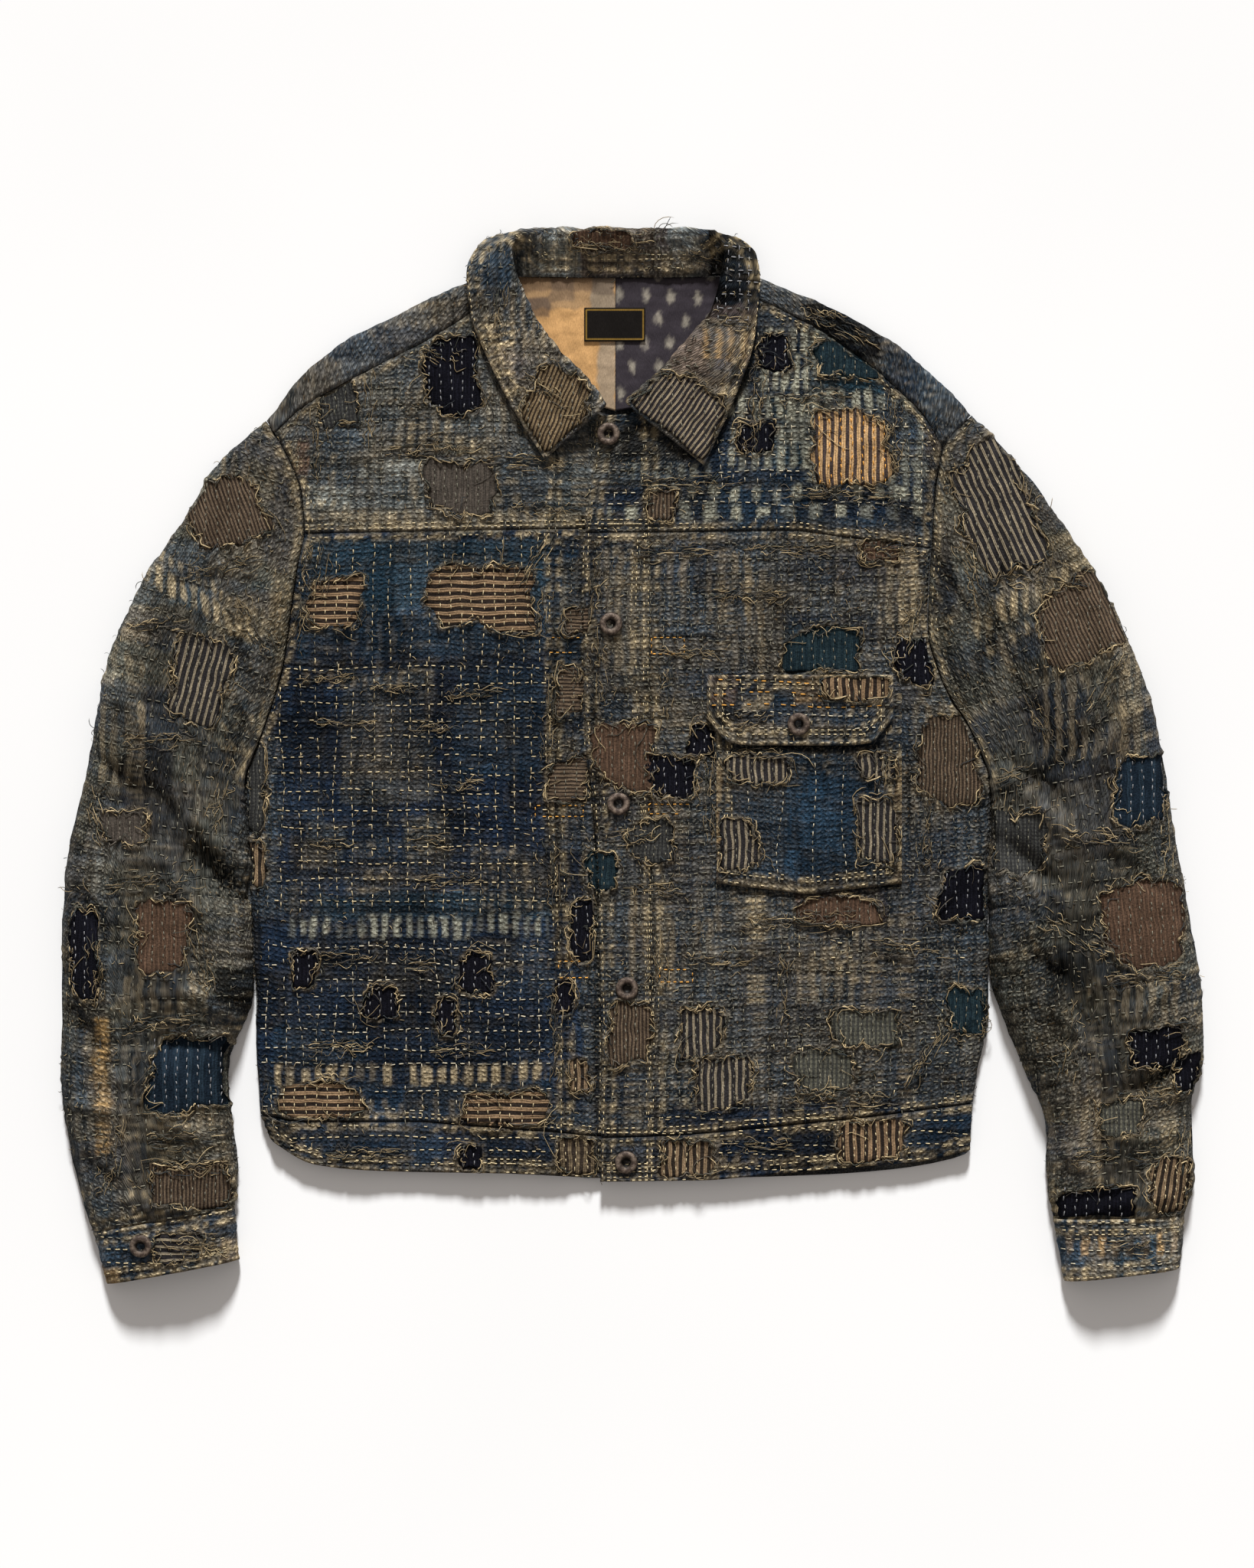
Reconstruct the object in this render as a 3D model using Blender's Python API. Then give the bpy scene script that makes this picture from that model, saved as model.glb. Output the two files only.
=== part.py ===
"""Patched boro jacket, buttoned and laid flat on its back.

X runs across the jacket, Y from hem to collar and Z up from the surface it lies on.
Every cloth piece is a wall of quilted cloth through a grid of points. A grid is worked
out from the seam tables below, in millimetres, and neighbours stop SEAM apart.
"Left" and "right" are as the jacket is seen from above, with the collar away from the viewer.
"""
import math
from collections import namedtuple

import bpy
import numpy as np
from mathutils import Vector

MM = 0.001

# Driving sizes, mm
CLOTH = 2.8            # quilted wall of the shell
SEAM = 0.3             # between two pieces at a seam, and between a piece and what it lies on
LAY = 3.6              # air between front and back, laid on each other
TOP = 2 * CLOTH + LAY  # top face of the fronts above the surface
FOLD = TOP / 2         # radius of the folds at the sides and shoulders
LINING = 1.0           # thin lining cloth
TRIM = 2.0             # pocket and flap
PATCH = 1.0            # sewn-on patches
UNDERLAP = 30.0        # width of the button stand hidden under the front edge
UNDERLAP_TOP = SEAM + 2 * CLOTH  # top face of the button stand, lying on the back
PLEAT_STEP = 1.3       # how far a stitched pleat stands above the front
PLEAT_RUN = 3.0        # width of the pleat's slope
DIP_END = 3.0          # how far inside the front edge the button stand has come down to its level
HEM_SAG = 25.0         # how far the back hem bows down between the sides
TURN_STEP = 0.5        # keeps the back yoke's unused points across the neck apart
CENTRE_Y = 0.24        # middle of the laid jacket in the tables' Y

Seam = namedtuple("Seam", "y x")
Point = namedtuple("Point", "x y")
Strip = namedtuple("Strip", "seam_x seam_y edge_x edge_y")
Rib = namedtuple("Rib", "outer_x outer_y inner_x inner_y height outer_round inner_round sag")
Collar = namedtuple("Collar", "base_x base_y base_z fold_x fold_y fold_z edge_x edge_y edge_z")
Fold = namedtuple("Fold", "x0 y0 x1 y1 width height")
Cover = namedtuple("Cover", "name panel x0 x1 y0 y1 colour")

# Side seam from the waistband up to the underarm, then the armhole up to the yoke seam
SIDE = {
    "left": [Seam(-262, -272), Seam(-231, -275), Seam(-180, -276), Seam(-140, -277),
             Seam(-92, -279.5), Seam(-42, -283), Seam(-16, -284), Seam(16, -271),
             Seam(66, -255.4), Seam(117, -248), Seam(138, -245), Seam(163, -239.7)],
    "right": [Seam(-253.5, 249.5), Seam(-231, 252.6), Seam(-180, 261.5), Seam(-140, 261),
              Seam(-92, 260), Seam(-42, 261.5), Seam(-16, 262), Seam(16, 249),
              Seam(56, 226), Seam(96, 216), Seam(125, 217), Seam(152, 218.5)],
}
UNDERARM_ROW = 6
# Armhole above the yoke seam, up to the end of the shoulder strip
ARMHOLE_TOP = {
    "left": [Point(-241.5, 191), Point(-250, 215), Point(-262, 237)],
    "right": [Point(220, 178), Point(222.5, 202), Point(227, 226)],
}
# Shoulder strip: its front seam and the folded shoulder edge, armhole to neck
SHOULDER = {
    "left": [Strip(-262, 237, -268, 246), Strip(-242, 255, -250, 271),
             Strip(-215, 271, -229, 291.5), Strip(-185, 287, -203, 309),
             Strip(-155, 302, -172, 324), Strip(-130, 317, -138, 340),
             Strip(-108, 331, -104, 351)],
    "right": [Strip(227, 226, 248, 250), Strip(214, 249, 236, 264),
              Strip(196, 267, 216, 283), Strip(176, 285, 192, 303),
              Strip(151, 303, 160, 322.5), Strip(123, 320, 124, 338),
              Strip(91, 335, 87, 351)],
}
# Front neckline from the shoulder strip to the front edge, under the collar
NECKLINE = {
    "left": [Point(-96, 309), Point(-79, 287), Point(-58, 268), Point(-40, 256)],
    "right": [Point(82, 310), Point(67, 287), Point(45, 266), Point(24, 254)],
}
# Edge of the front that lies on top, hem to neck
FRONT_EDGE = [Seam(-309, -24), Seam(-220, -22), Seam(-91, -25), Seam(-29, -29),
              Seam(13, -34), Seam(94, -36), Seam(165, -34), Seam(222, -27), Seam(249, -24)]
# Pleat line beside the placket, hem to yoke
PLEAT = {
    "left": [Seam(-309, -49), Seam(-180, -49), Seam(0, -57), Seam(165, -58), Seam(249, -54)],
    "right": [Seam(-309, 17), Seam(-180, 16), Seam(0, 14), Seam(165, 15), Seam(249, 12)],
}
YOKE_SEAM = {
    "left": [Point(-240, 163), Point(-26, 167), Point(12, 167)],
    "right": [Point(-40, 163.5), Point(120, 165), Point(218.5, 152)],
}
WAIST_SEAM = {
    "left": [Point(-272, -262), Point(-246, -267), Point(-160, -267), Point(-62, -274),
             Point(-22, -278), Point(12, -278)],
    "right": [Point(-24, -278.5), Point(34, -277), Point(106, -270.5), Point(169, -264),
              Point(249.5, -253.5)],
}
HEM = {
    "left": [Point(-266, -279), Point(-252, -291), Point(-224, -301.5), Point(-160, -304),
             Point(-86, -305), Point(-22, -309), Point(12, -308)],
    "right": [Point(-24, -311), Point(57, -310), Point(148, -301.5), Point(210, -296.5),
              Point(247, -288)],
}
# Shares of a front's width, from its side fold to its pleat, where the grid has columns
FRONT_SHARES = [0.14, 0.32, 0.5, 0.68, 0.86]
BACK_SHARES = [0.1, 0.22, 0.36, 0.5, 0.64, 0.78, 0.9]
ARC = [0, 30, 60, 90]  # degrees around a folded edge

# Sleeves: ribs from the armhole to the cuff seam. The inner ends follow the side seam first.
# A rib sags towards the cuff in its middle, by half its last column.
SLEEVE = {
    "left": [Rib(-268, 246, -284, -16, TOP, FOLD, FOLD, 0),
             Rib(-300, 217, -283, -42, 12, 10, 8, 38),
             Rib(-332, 168, -281.3, -67, 17, 20, 16, 45),
             Rib(-361, 121, -279.5, -92, 22, 28, 26, 48),
             Rib(-382, 75, -278.2, -116, 26, 36, 34, 50),
             Rib(-394, 18, -277, -140, 29, 42, 40, 46),
             Rib(-402, -24, -276.5, -160, 30, 46, 44, 36),
             Rib(-413, -70, -278, -180, 31, 48, 46, 25),
             Rib(-417, -115, -287, -200, 31, 48, 44, 14),
             Rib(-417.5, -165, -295, -222, 30, 46, 42, 6),
             Rib(-418, -212, -294.5, -246, 29, 44, 40, 0),
             Rib(-416.5, -252, -292, -272, 27, 42, 38, 0),
             Rib(-409, -298, -289, -300, 25, 38, 34, 0),
             Rib(-395, -347.5, -291.5, -329, 22, 30, 28, 0)],
    "right": [Rib(248, 250, 262, -16, TOP, FOLD, FOLD, 0),
              Rib(285, 211, 261.5, -42, 12, 10, 8, 38),
              Rib(318, 166, 260.8, -67, 17, 20, 16, 45),
              Rib(347, 118, 260, -92, 22, 28, 26, 48),
              Rib(370, 65, 260.5, -116, 26, 36, 34, 50),
              Rib(386, 10, 261, -140, 29, 42, 40, 46),
              Rib(394, -40, 262, -163, 30, 46, 44, 36),
              Rib(403, -88, 272, -194, 31, 48, 46, 25),
              Rib(410, -130, 287, -228, 31, 48, 44, 14),
              Rib(417, -178, 298, -252, 30, 46, 42, 6),
              Rib(418, -215, 304, -274, 29, 44, 40, 0),
              Rib(409, -255, 303, -296, 27, 42, 38, 0),
              Rib(411, -305, 305, -317, 25, 38, 34, 0),
              Rib(404.5, -335.5, 308, -338, 22, 30, 28, 0)],
}
CUFF = {
    "left": [Rib(-395, -347.5, -291.5, -329, 22, 30, 28, 0),
             Rib(-390, -367, -289.5, -348.5, 21, 28, 26, 0),
             Rib(-384.5, -386, -287, -368, 20, 26, 24, 0)],
    "right": [Rib(404.5, -335.5, 308, -338, 22, 30, 28, 0),
              Rib(403.5, -355, 311, -359.5, 21, 28, 26, 0),
              Rib(400, -374.5, 316, -384, 20, 26, 24, 0)],
}
CROWN = 2.0            # extra height along the middle of a sleeve
ARMHOLE_GAP = 0.4      # extra room at the armhole, where the sleeve starts to rise

# The collar, front end to front end around the neck. Base: neck seam. Fold: roll line.
COLLAR = [
    Collar(-29.7, 253.9, 7.8, -21, 256, 13, -64, 217, 12.2),
    Collar(-49.4, 263.6, 7.8, -42, 281, 14, -85, 250, 12.2),
    Collar(-69.3, 279.7, 7.8, -63, 304, 15, -105, 289, 12.2),
    Collar(-89, 302, 7.8, -77.5, 327, 17, -118, 323, 12.4),
    Collar(-102.8, 324.4, 7.8, -86, 350, 20, -121, 351, 13.5),
    Collar(-102, 346, 6.6, -90, 370, 22, -113, 371, 11),
    Collar(-84, 352.3, 5.4, -80, 381.5, 19, -95, 382, 5),
    Collar(-60, 351.5, 4.8, -60, 383, 14, -64, 358, 1.6),
    Collar(-12, 351, 4.8, -12, 382.5, 12.5, -12, 358, 1.6),
    Collar(38, 351.5, 4.8, 38, 383, 14, 42, 358, 1.6),
    Collar(66, 352.3, 5.4, 58, 381, 19, 74, 380, 5),
    Collar(85.5, 346, 6.6, 69, 368, 22, 90, 367, 11),
    Collar(86.3, 325.8, 7.8, 66, 350, 20, 93, 349, 13.5),
    Collar(75, 301.4, 7.8, 60, 327, 17, 91, 322, 12.4),
    Collar(57.2, 279.2, 7.8, 46, 307, 15, 88, 300, 12.2),
    Collar(34.4, 261.3, 7.8, 22, 281, 14, 75, 262, 12.2),
    Collar(8, 253.6, 7.8, -3, 258, 13, 52.5, 212.5, 12.2),
]
COLLAR_ROLL = 2.3      # radius of the roll line
COLLAR_WALL = [2.8, 2.4, 1.4, 1.3, 1.3, 1.3, 1.4, 2, 2.8]  # thickness, leaf edge to neck seam

# The largest folds: soft ridges (height above 0) and troughs (below 0) along a line
FOLDS = {
    "front": [Fold(250, -190, 150, -262, 13, 2.4), Fold(248, -25, 224, -150, 11, 1.8),
              Fold(-100, 120, -96, -200, 16, 1.2), Fold(-240, -20, -200, -200, 18, 1.4)],
    "sleeve_left": [Fold(-340, -50, -272, -118, 10, -9), Fold(-352, -4, -278, -72, 16, 3),
                    Fold(-395, -70, -330, -160, 16, -4), Fold(-360, -215, -300, -196, 12, -5),
                    Fold(-400, -262, -330, -256, 12, -3), Fold(-300, 190, -290, 60, 14, 2)],
    "sleeve_right": [Fold(268, 10, 352, -40, 10, -6), Fold(262, -60, 330, -118, 12, -8),
                     Fold(270, -112, 350, -150, 12, 3), Fold(296, 150, 345, -10, 14, 3),
                     Fold(285, -190, 365, -205, 12, -5), Fold(310, -262, 395, -250, 12, -3)],
}

# Pocket on the right front, in plan
POCKET_LEFT, POCKET_RIGHT = 61.5, 197.0
POCKET_TOP, POCKET_CORNER, POCKET_POINT = 46.0, -93.0, -100.5
FLAP_LEFT, FLAP_RIGHT = 54.5, 190.5
FLAP_TOP, FLAP_CORNER, FLAP_BOTTOM = 59.5, 27.5, 8.0
FLAP_CUT = 19.0        # how far in each lower corner of the flap is cut
POCKET_PUFF = 1.2

# Neck lining: lower edge of what shows, left half then right half
LINING_LOWER = {
    "left": [Point(-92, 321), Point(-72, 296), Point(-48, 273), Point(-28, 258), Point(-12, 253)],
    "right": [Point(-12, 253), Point(6, 257), Point(30, 275), Point(52, 298), Point(74, 326)],
}
LINING_TOP = 348.4
LINING_SEAM_X = -12.3
LABEL = (-35.3, 9.5, 304.0, 328.7)  # left, right, bottom, top

BUTTON_RADIUS = 8.3
BUTTONS = {
    "button_1": Point(-17.4, 235.8), "button_2": Point(-15.7, 96.9),
    "button_3": Point(-10.1, -34.7), "button_4": Point(-3.9, -169.7),
    "button_5": Point(-4.5, -296.8), "button_flap": Point(121.5, 23.5),
    "button_cuff": Point(-357.8, -356.5),
}
# Half section of a doughnut tack button: radius share and height
BUTTON_SECTION = [(0.0, 0.0), (0.86, 0.0), (1.0, 0.8), (0.94, 2.2), (0.72, 3.0), (0.42, 2.6),
                  (0.28, 1.5), (0.0, 1.4)]
BUTTON_SIDES = 14

# Sewn-on patches: each covers the whole cells of its panel that lie in its place
COVERS = [
    Cover("patch_yoke_left_navy", "front_yoke_left", -152, -109, 253, 305, "navy"),
    Cover("patch_yoke_left_brown", "front_yoke_left", -150, -103, 176, 216, "brown"),
    Cover("patch_yoke_right_stripe", "front_yoke_right", 132, 188, 197, 251, "stripe"),
    Cover("patch_front_left_stripe_a", "front_left", -236, -200, 96, 130, "stripe"),
    Cover("patch_front_left_stripe_b", "front_left", -145, -73, 93, 139, "stripe"),
    Cover("patch_front_left_hem_a", "front_left", -259, -203, -265, -239, "stripe"),
    Cover("patch_front_left_hem_b", "front_left", -125, -66, -271, -245, "stripe"),
    Cover("patch_front_right_cord", "front_right", 210, 258, -38, 25, "brown"),
    Cover("patch_front_right_stripe", "front_right", 36, 86, -258, -183, "stripe"),
    Cover("patch_front_right_navy", "front_right", 225, 261, -119, -76, "navy"),
    Cover("patch_sleeve_left_cord", "sleeve_left_upper", -324, -267, 155, 200, "brown"),
    Cover("patch_sleeve_left_stripe", "sleeve_left_upper", -336, -294, 27, 86, "stripe"),
    Cover("patch_sleeve_left_brown", "sleeve_left_upper", -361, -320, -154, -102, "brown"),
    Cover("patch_sleeve_left_blue", "sleeve_left_upper", -352, -294, -258, -204, "blue"),
    Cover("patch_sleeve_right_stripe", "sleeve_right_upper", 240, 290, 130, 230, "stripe"),
    Cover("patch_sleeve_right_cord", "sleeve_right_upper", 297, 353, 70, 128, "brown"),
    Cover("patch_sleeve_right_blue", "sleeve_right_upper", 348, 390, -52, 3, "blue"),
    Cover("patch_sleeve_right_brown", "sleeve_right_upper", 340, 395, -151, -92, "brown"),
    Cover("patch_sleeve_right_navy", "sleeve_right_upper", 361, 399, -227, -197, "navy"),
]

COLOURS = {  # red, green, blue, roughness, metallic
    "indigo": (0.020, 0.042, 0.065, 0.92, 0.0), "grey": (0.060, 0.058, 0.046, 0.95, 0.0),
    "navy": (0.010, 0.010, 0.016, 0.9, 0.0), "brown": (0.085, 0.055, 0.038, 0.95, 0.0),
    "stripe": (0.30, 0.19, 0.11, 0.9, 0.0), "blue": (0.018, 0.055, 0.085, 0.9, 0.0),
    "tan": (0.42, 0.25, 0.11, 0.85, 0.0), "slate": (0.055, 0.045, 0.05, 0.85, 0.0),
    "label": (0.012, 0.010, 0.009, 0.7, 0.0), "bronze": (0.07, 0.045, 0.035, 0.5, 0.85),
}


def clear_scene():
    """Remove whatever the file opened with."""
    for item in list(bpy.data.objects):
        bpy.data.objects.remove(item, do_unlink=True)


def material(colour):
    """The Principled material of one colour name, made once."""
    name = "cloth_" + colour if colour != "bronze" else "bronze"
    found = bpy.data.materials.get(name)
    if found:
        return found
    red, green, blue, roughness, metallic = COLOURS[colour]
    made = bpy.data.materials.new(name)
    made.use_nodes = True
    shader = made.node_tree.nodes["Principled BSDF"]
    shader.inputs["Base Color"].default_value = (red, green, blue, 1.0)
    shader.inputs["Roughness"].default_value = roughness
    shader.inputs["Metallic"].default_value = metallic
    made.diffuse_color = (red, green, blue, 1.0)
    return made


def add_object(name, vertices, faces, colour):
    """Put vertices in table millimetres into a named object in metres."""
    mesh = bpy.data.meshes.new(name)
    placed = (np.asarray(vertices, float) - (0.0, CENTRE_Y, 0.0)) * MM
    mesh.from_pydata(placed.tolist(), [], faces)
    mesh.validate()
    mesh.materials.append(material(colour))
    made = bpy.data.objects.new(name, mesh)
    bpy.context.scene.collection.objects.link(made)
    return made


def unit(vectors):
    """Vectors scaled to length one."""
    return vectors / np.linalg.norm(vectors, axis=-1, keepdims=True)


def cells_of(grid, closed=False):
    """The four corners of every cell: a, b along the columns, c beyond them, d below a."""
    right = np.roll(grid, -1, axis=1) if closed else grid[:, 1:]
    left = grid if closed else grid[:, :-1]
    return left[:-1], right[:-1], right[1:], left[1:]


def splits_of(grid, closed=False):
    """For every cell, whether its flatter split into two triangles runs from b to d."""
    a, b, c, d = cells_of(grid, closed)
    bend_ac = (unit(np.cross(b - a, c - a)) * unit(np.cross(c - a, d - a))).sum(axis=-1)
    bend_bd = (unit(np.cross(b - a, d - a)) * unit(np.cross(c - b, d - b))).sum(axis=-1)
    return bend_bd > bend_ac + 1e-4


def normals_of(grid, closed=False):
    """Unit normal at each point, from the cells around it, level where a fold ends."""
    a, b, c, d = cells_of(grid, closed)
    split = splits_of(grid, closed)[..., None]
    total = np.zeros_like(grid)
    after = np.roll(np.arange(grid.shape[1]), -1)[:a.shape[1]]
    before = np.arange(a.shape[1])
    first = np.where(split, np.cross(b - a, d - a), np.cross(b - a, c - a))
    second = np.where(split, np.cross(c - b, d - b), np.cross(c - a, d - a))
    for rows, columns, amount in (
            (slice(None, -1), before, first + np.where(split, 0, second)),
            (slice(None, -1), after, first + np.where(split, second, 0)),
            (slice(1, None), after, second + np.where(split, 0, first)),
            (slice(1, None), before, second + np.where(split, first, 0))):
        np.add.at(total[rows], (slice(None), columns), amount)
    if not closed:
        for column in (0, -1):
            at_fold = np.abs(grid[:, column, 2] - FOLD) < SEAM
            total[:, column, 2] = np.where(at_fold, 0, total[:, column, 2])
    return unit(total)


def facing(grid, up):
    """The grid with its columns turned, if need be, so that its normals point up (or down)."""
    if (normals_of(grid)[..., 2].mean() > 0) == up:
        return grid
    return grid[:, ::-1]


def wall(outer, inner, split, closed=False, keep=None):
    """Points and faces of a closed wall between two grids of the same size."""
    rows, columns = outer.shape[:2]
    count = rows * columns
    triangles = []
    for row in range(rows - 1):
        for column in range(columns if closed else columns - 1):
            if keep is not None and not keep[row][column]:
                continue
            a = row * columns + column
            b = row * columns + (column + 1) % columns
            c, d = b + columns, a + columns
            if split[row][column]:
                triangles += [(a, b, d), (b, c, d)]
            else:
                triangles += [(a, b, c), (a, c, d)]
    edges = {(t[i], t[(i + 1) % 3]) for t in triangles for i in range(3)}
    faces = list(triangles) + [(c + count, b + count, a + count) for a, b, c in triangles]
    for i, j in sorted(edge for edge in edges if (edge[1], edge[0]) not in edges):
        faces += [(j, i, i + count), (j, i + count, j + count)]
    points = np.vstack([outer.reshape(-1, 3), inner.reshape(-1, 3)])
    used = sorted({index for face in faces for index in face})
    number = {index: place for place, index in enumerate(used)}
    return points[used], [tuple(number[index] for index in face) for face in faces]


def triangle_normals(grid, split, closed):
    """Both triangles' normals of every cell, as long as twice their areas."""
    a, b, c, d = cells_of(grid, closed)
    split = split[..., None]
    return (np.where(split, np.cross(b - a, d - a), np.cross(b - a, c - a)),
            np.where(split, np.cross(c - b, d - b), np.cross(c - a, d - a)))


def thinned(outer, thickness, closed=False):
    """The wall's thickness at each point, pressed thinner where a tight fold would cross it.

    While an inner triangle is under a third of its outer one, its cell's corners thin by an
    eighth.
    """
    amount = np.zeros(outer.shape[:2]) + thickness
    normals, split = normals_of(outer, closed), splits_of(outer, closed)
    outside = triangle_normals(outer, split, closed)
    for _ in range(24):
        inside = triangle_normals(outer - normals * amount[..., None], split, closed)
        rows, columns = np.nonzero(np.any([(over * under).sum(axis=-1) < (over**2).sum(axis=-1) / 3
                                           for over, under in zip(outside, inside)], axis=0))
        after = (columns + 1) % outer.shape[1]
        corners = {(row + step, column) for step in (0, 1)
                   for row, pair in zip(rows, zip(columns, after)) for column in pair}
        for corner in corners:
            amount[corner] *= 7 / 8
    return amount[..., None]


def shell(name, outer, thickness, colour, closed=False, keep=None):
    """A wall of cloth: the outer grid, and the same grid moved in by its thickness."""
    inner = outer - normals_of(outer, closed) * thinned(outer, thickness, closed)
    points, faces = wall(outer, inner, splits_of(outer, closed), closed, keep)
    return add_object(name, points, faces, colour)


def along(table, value, key, result):
    """Read a table of named columns: linear between its rows, level past its ends."""
    rows = sorted(table, key=lambda row: getattr(row, key))
    return np.interp(value, [getattr(row, key) for row in rows],
                     [getattr(row, result) for row in rows])


def fold_height(x, y, folds):
    """Sum of the ridges and troughs: each is a bell across its line, tapered to its ends."""
    total = np.zeros_like(np.asarray(x, float))
    for fold in folds:
        line = np.array([fold.x1 - fold.x0, fold.y1 - fold.y0])
        length = np.hypot(*line)
        dx, dy = x - fold.x0, y - fold.y0
        share = (dx * line[0] + dy * line[1]) / length**2
        off = (dx * line[1] - dy * line[0]) / length
        taper = np.sin(np.pi * np.clip(share, 0, 1)) ** 0.7
        total += fold.height * np.exp(-((off / fold.width) ** 2)) * taper
    return total


def shift_seam(points, distance):
    """A line of plan points moved sideways by a distance, to the left of its direction."""
    points = np.asarray(points, float)
    heading = unit(np.diff(points, axis=0))
    left = np.stack([-heading[:, 1], heading[:, 0]], axis=1)
    first, last = left[:1], left[-1:]
    before, after = np.vstack([first, left]), np.vstack([left, last])
    mitre = before + after
    mitre /= (mitre * after).sum(axis=1, keepdims=True)
    return points + mitre * distance


def armhole(side):
    """Armhole in plan, shoulder edge to underarm, as the sleeve and the body share it."""
    top = SHOULDER[side][0]
    upper = [(top.edge_x, top.edge_y)] + [tuple(point) for point in ARMHOLE_TOP[side][::-1]]
    lower = [(row.x, row.y) for row in SIDE[side][UNDERARM_ROW:][::-1]]
    return np.array(upper + lower)


def body_edge(side):
    """Side seam and armhole in plan, waist to shoulder edge, moved in by half a seam."""
    line = [(row.x, row.y) for row in SIDE[side][:UNDERARM_ROW]] + armhole(side)[::-1].tolist()
    inward = -SEAM / 2 if side == "left" else SEAM / 2
    return shift_seam(line, inward)


def front_height(x, y, side):
    """Top face of a front: level, plus its folds, its pleat, and the dip to the underlap."""
    level = TOP + fold_height(x, y, FOLDS["front"])
    pleat = along(PLEAT[side], y, "y", "x")
    if side == "right":
        rise = np.clip((pleat - x) / PLEAT_RUN + 0.5, 0, 1)
        return level + PLEAT_STEP * rise
    edge = along(FRONT_EDGE, y, "y", "x")
    drop = np.clip((x - pleat) / PLEAT_RUN + 0.5, 0, 1)
    under = np.clip((x - pleat) / (edge - DIP_END - pleat), 0, 1)
    return level - PLEAT_STEP * drop - (level - PLEAT_STEP - UNDERLAP_TOP) * under


def front_columns(side, y, edge_x, span=1.0):
    """Plan X of each column from the side fold to the front edge, at one height."""
    inward = 1 if side == "left" else -1
    arc = [edge_x + inward * FOLD * (1 - math.cos(math.radians(turn))) for turn in ARC]
    pleat = float(along(PLEAT[side], y, "y", "x"))
    front = float(along(FRONT_EDGE, y, "y", "x"))
    first, last = arc[-1], pleat - inward * PLEAT_RUN
    middle = [first + (last - first) * share for share in FRONT_SHARES]
    slope = [pleat - inward * PLEAT_RUN / 2, pleat + inward * PLEAT_RUN / 2]
    if side == "left":
        tail = [front - DIP_END, front + UNDERLAP * span]
    else:
        tail = [pleat * 0.45 + front * 0.55, front]
    return np.array(arc + middle + slope + tail)


def front_panel(side):
    """Main front, waist seam to yoke seam, with its rolled side below the underarm."""
    edge = body_edge(side)[:len(SIDE[side])]
    inward = 1 if side == "left" else -1
    rows = []
    for number, (edge_x, edge_y) in enumerate(edge):
        x = front_columns(side, edge_y, edge_x)
        y = np.full(len(x), edge_y)
        if number == 0:
            y = along(WAIST_SEAM[side], x, "x", "y") + SEAM / 2
        if number == len(edge) - 1:
            y = along(YOKE_SEAM[side], x, "x", "y") - SEAM / 2
        z = front_height(x, y, side)
        if number <= UNDERARM_ROW:
            turn = np.radians(ARC)
            z[:len(ARC)] = FOLD + SEAM / 2 + (z[len(ARC) - 1] - FOLD - SEAM / 2) * np.sin(turn)
        else:
            x[:len(ARC)] = edge_x + inward * FOLD * np.linspace(0, 1, len(ARC))
        rows.append(np.stack([x, y, z], axis=1))
    return facing(np.array(rows), up=True)


def yoke_edge(side):
    """Top edge of a front yoke in plan: along the shoulder strip, then down the neckline."""
    strip = [(row.seam_x, row.seam_y) for row in SHOULDER[side]]
    neck = [tuple(point) for point in NECKLINE[side]]
    end = (FRONT_EDGE[-1].x, FRONT_EDGE[-1].y)
    if side == "left":
        end = (end[0] + UNDERLAP / 2, end[1] - DIP_END)
    points = np.array(strip + neck + [end])
    inward = -SEAM / 2 if side == "left" else SEAM / 2
    return shift_seam(points, inward)


def front_yoke(side):
    """Front yoke: a fan of columns from the yoke seam to the shoulder strip and neckline."""
    upper = yoke_edge(side)
    start = len(SIDE[side]) - 1
    armhole_edge = body_edge(side)[start:-1]
    edge_x, edge_y = armhole_edge[0]
    x = front_columns(side, edge_y, edge_x, span=0.9)
    x[:len(ARC)] = np.linspace(x[0], x[len(ARC) - 1], len(ARC))
    x = x[[0] + list(range(2, len(x)))]
    lower = np.stack([x, along(YOKE_SEAM[side], x, "x", "y") + SEAM / 2], axis=1)
    rows = []
    for share in np.linspace(0, 1, len(armhole_edge)):
        plan = lower + (upper - lower) * share
        number = round(share * (len(armhole_edge) - 1))
        plan[0] = armhole_edge[number]
        rows.append(np.column_stack([plan, front_height(plan[:, 0], plan[:, 1], side)]))
    return facing(np.array(rows), up=True)


def waistband(side):
    """Front waistband: from the waist seam to the hem, rolled at the side as the front is."""
    edge_x, edge_y = body_edge(side)[0]
    upper_x = front_columns(side, edge_y, edge_x)
    hem_start = HEM[side][0] if side == "left" else HEM[side][-1]
    lower_x = front_columns(side, hem_start.y, hem_start.x)
    rows = []
    for share in (0.0, 0.5, 1.0):
        x = upper_x + (lower_x - upper_x) * share
        top = along(WAIST_SEAM[side], x, "x", "y") - 2 * SEAM
        y = top + (along(HEM[side], x, "x", "y") - top) * share
        z = front_height(x, y, side)
        turn = np.radians(ARC)
        z[:len(ARC)] = FOLD + SEAM / 2 + (z[len(ARC) - 1] - FOLD - SEAM / 2) * np.sin(turn)
        rows.append(np.stack([x, y, z], axis=1))
    return facing(np.array(rows), up=True)


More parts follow.
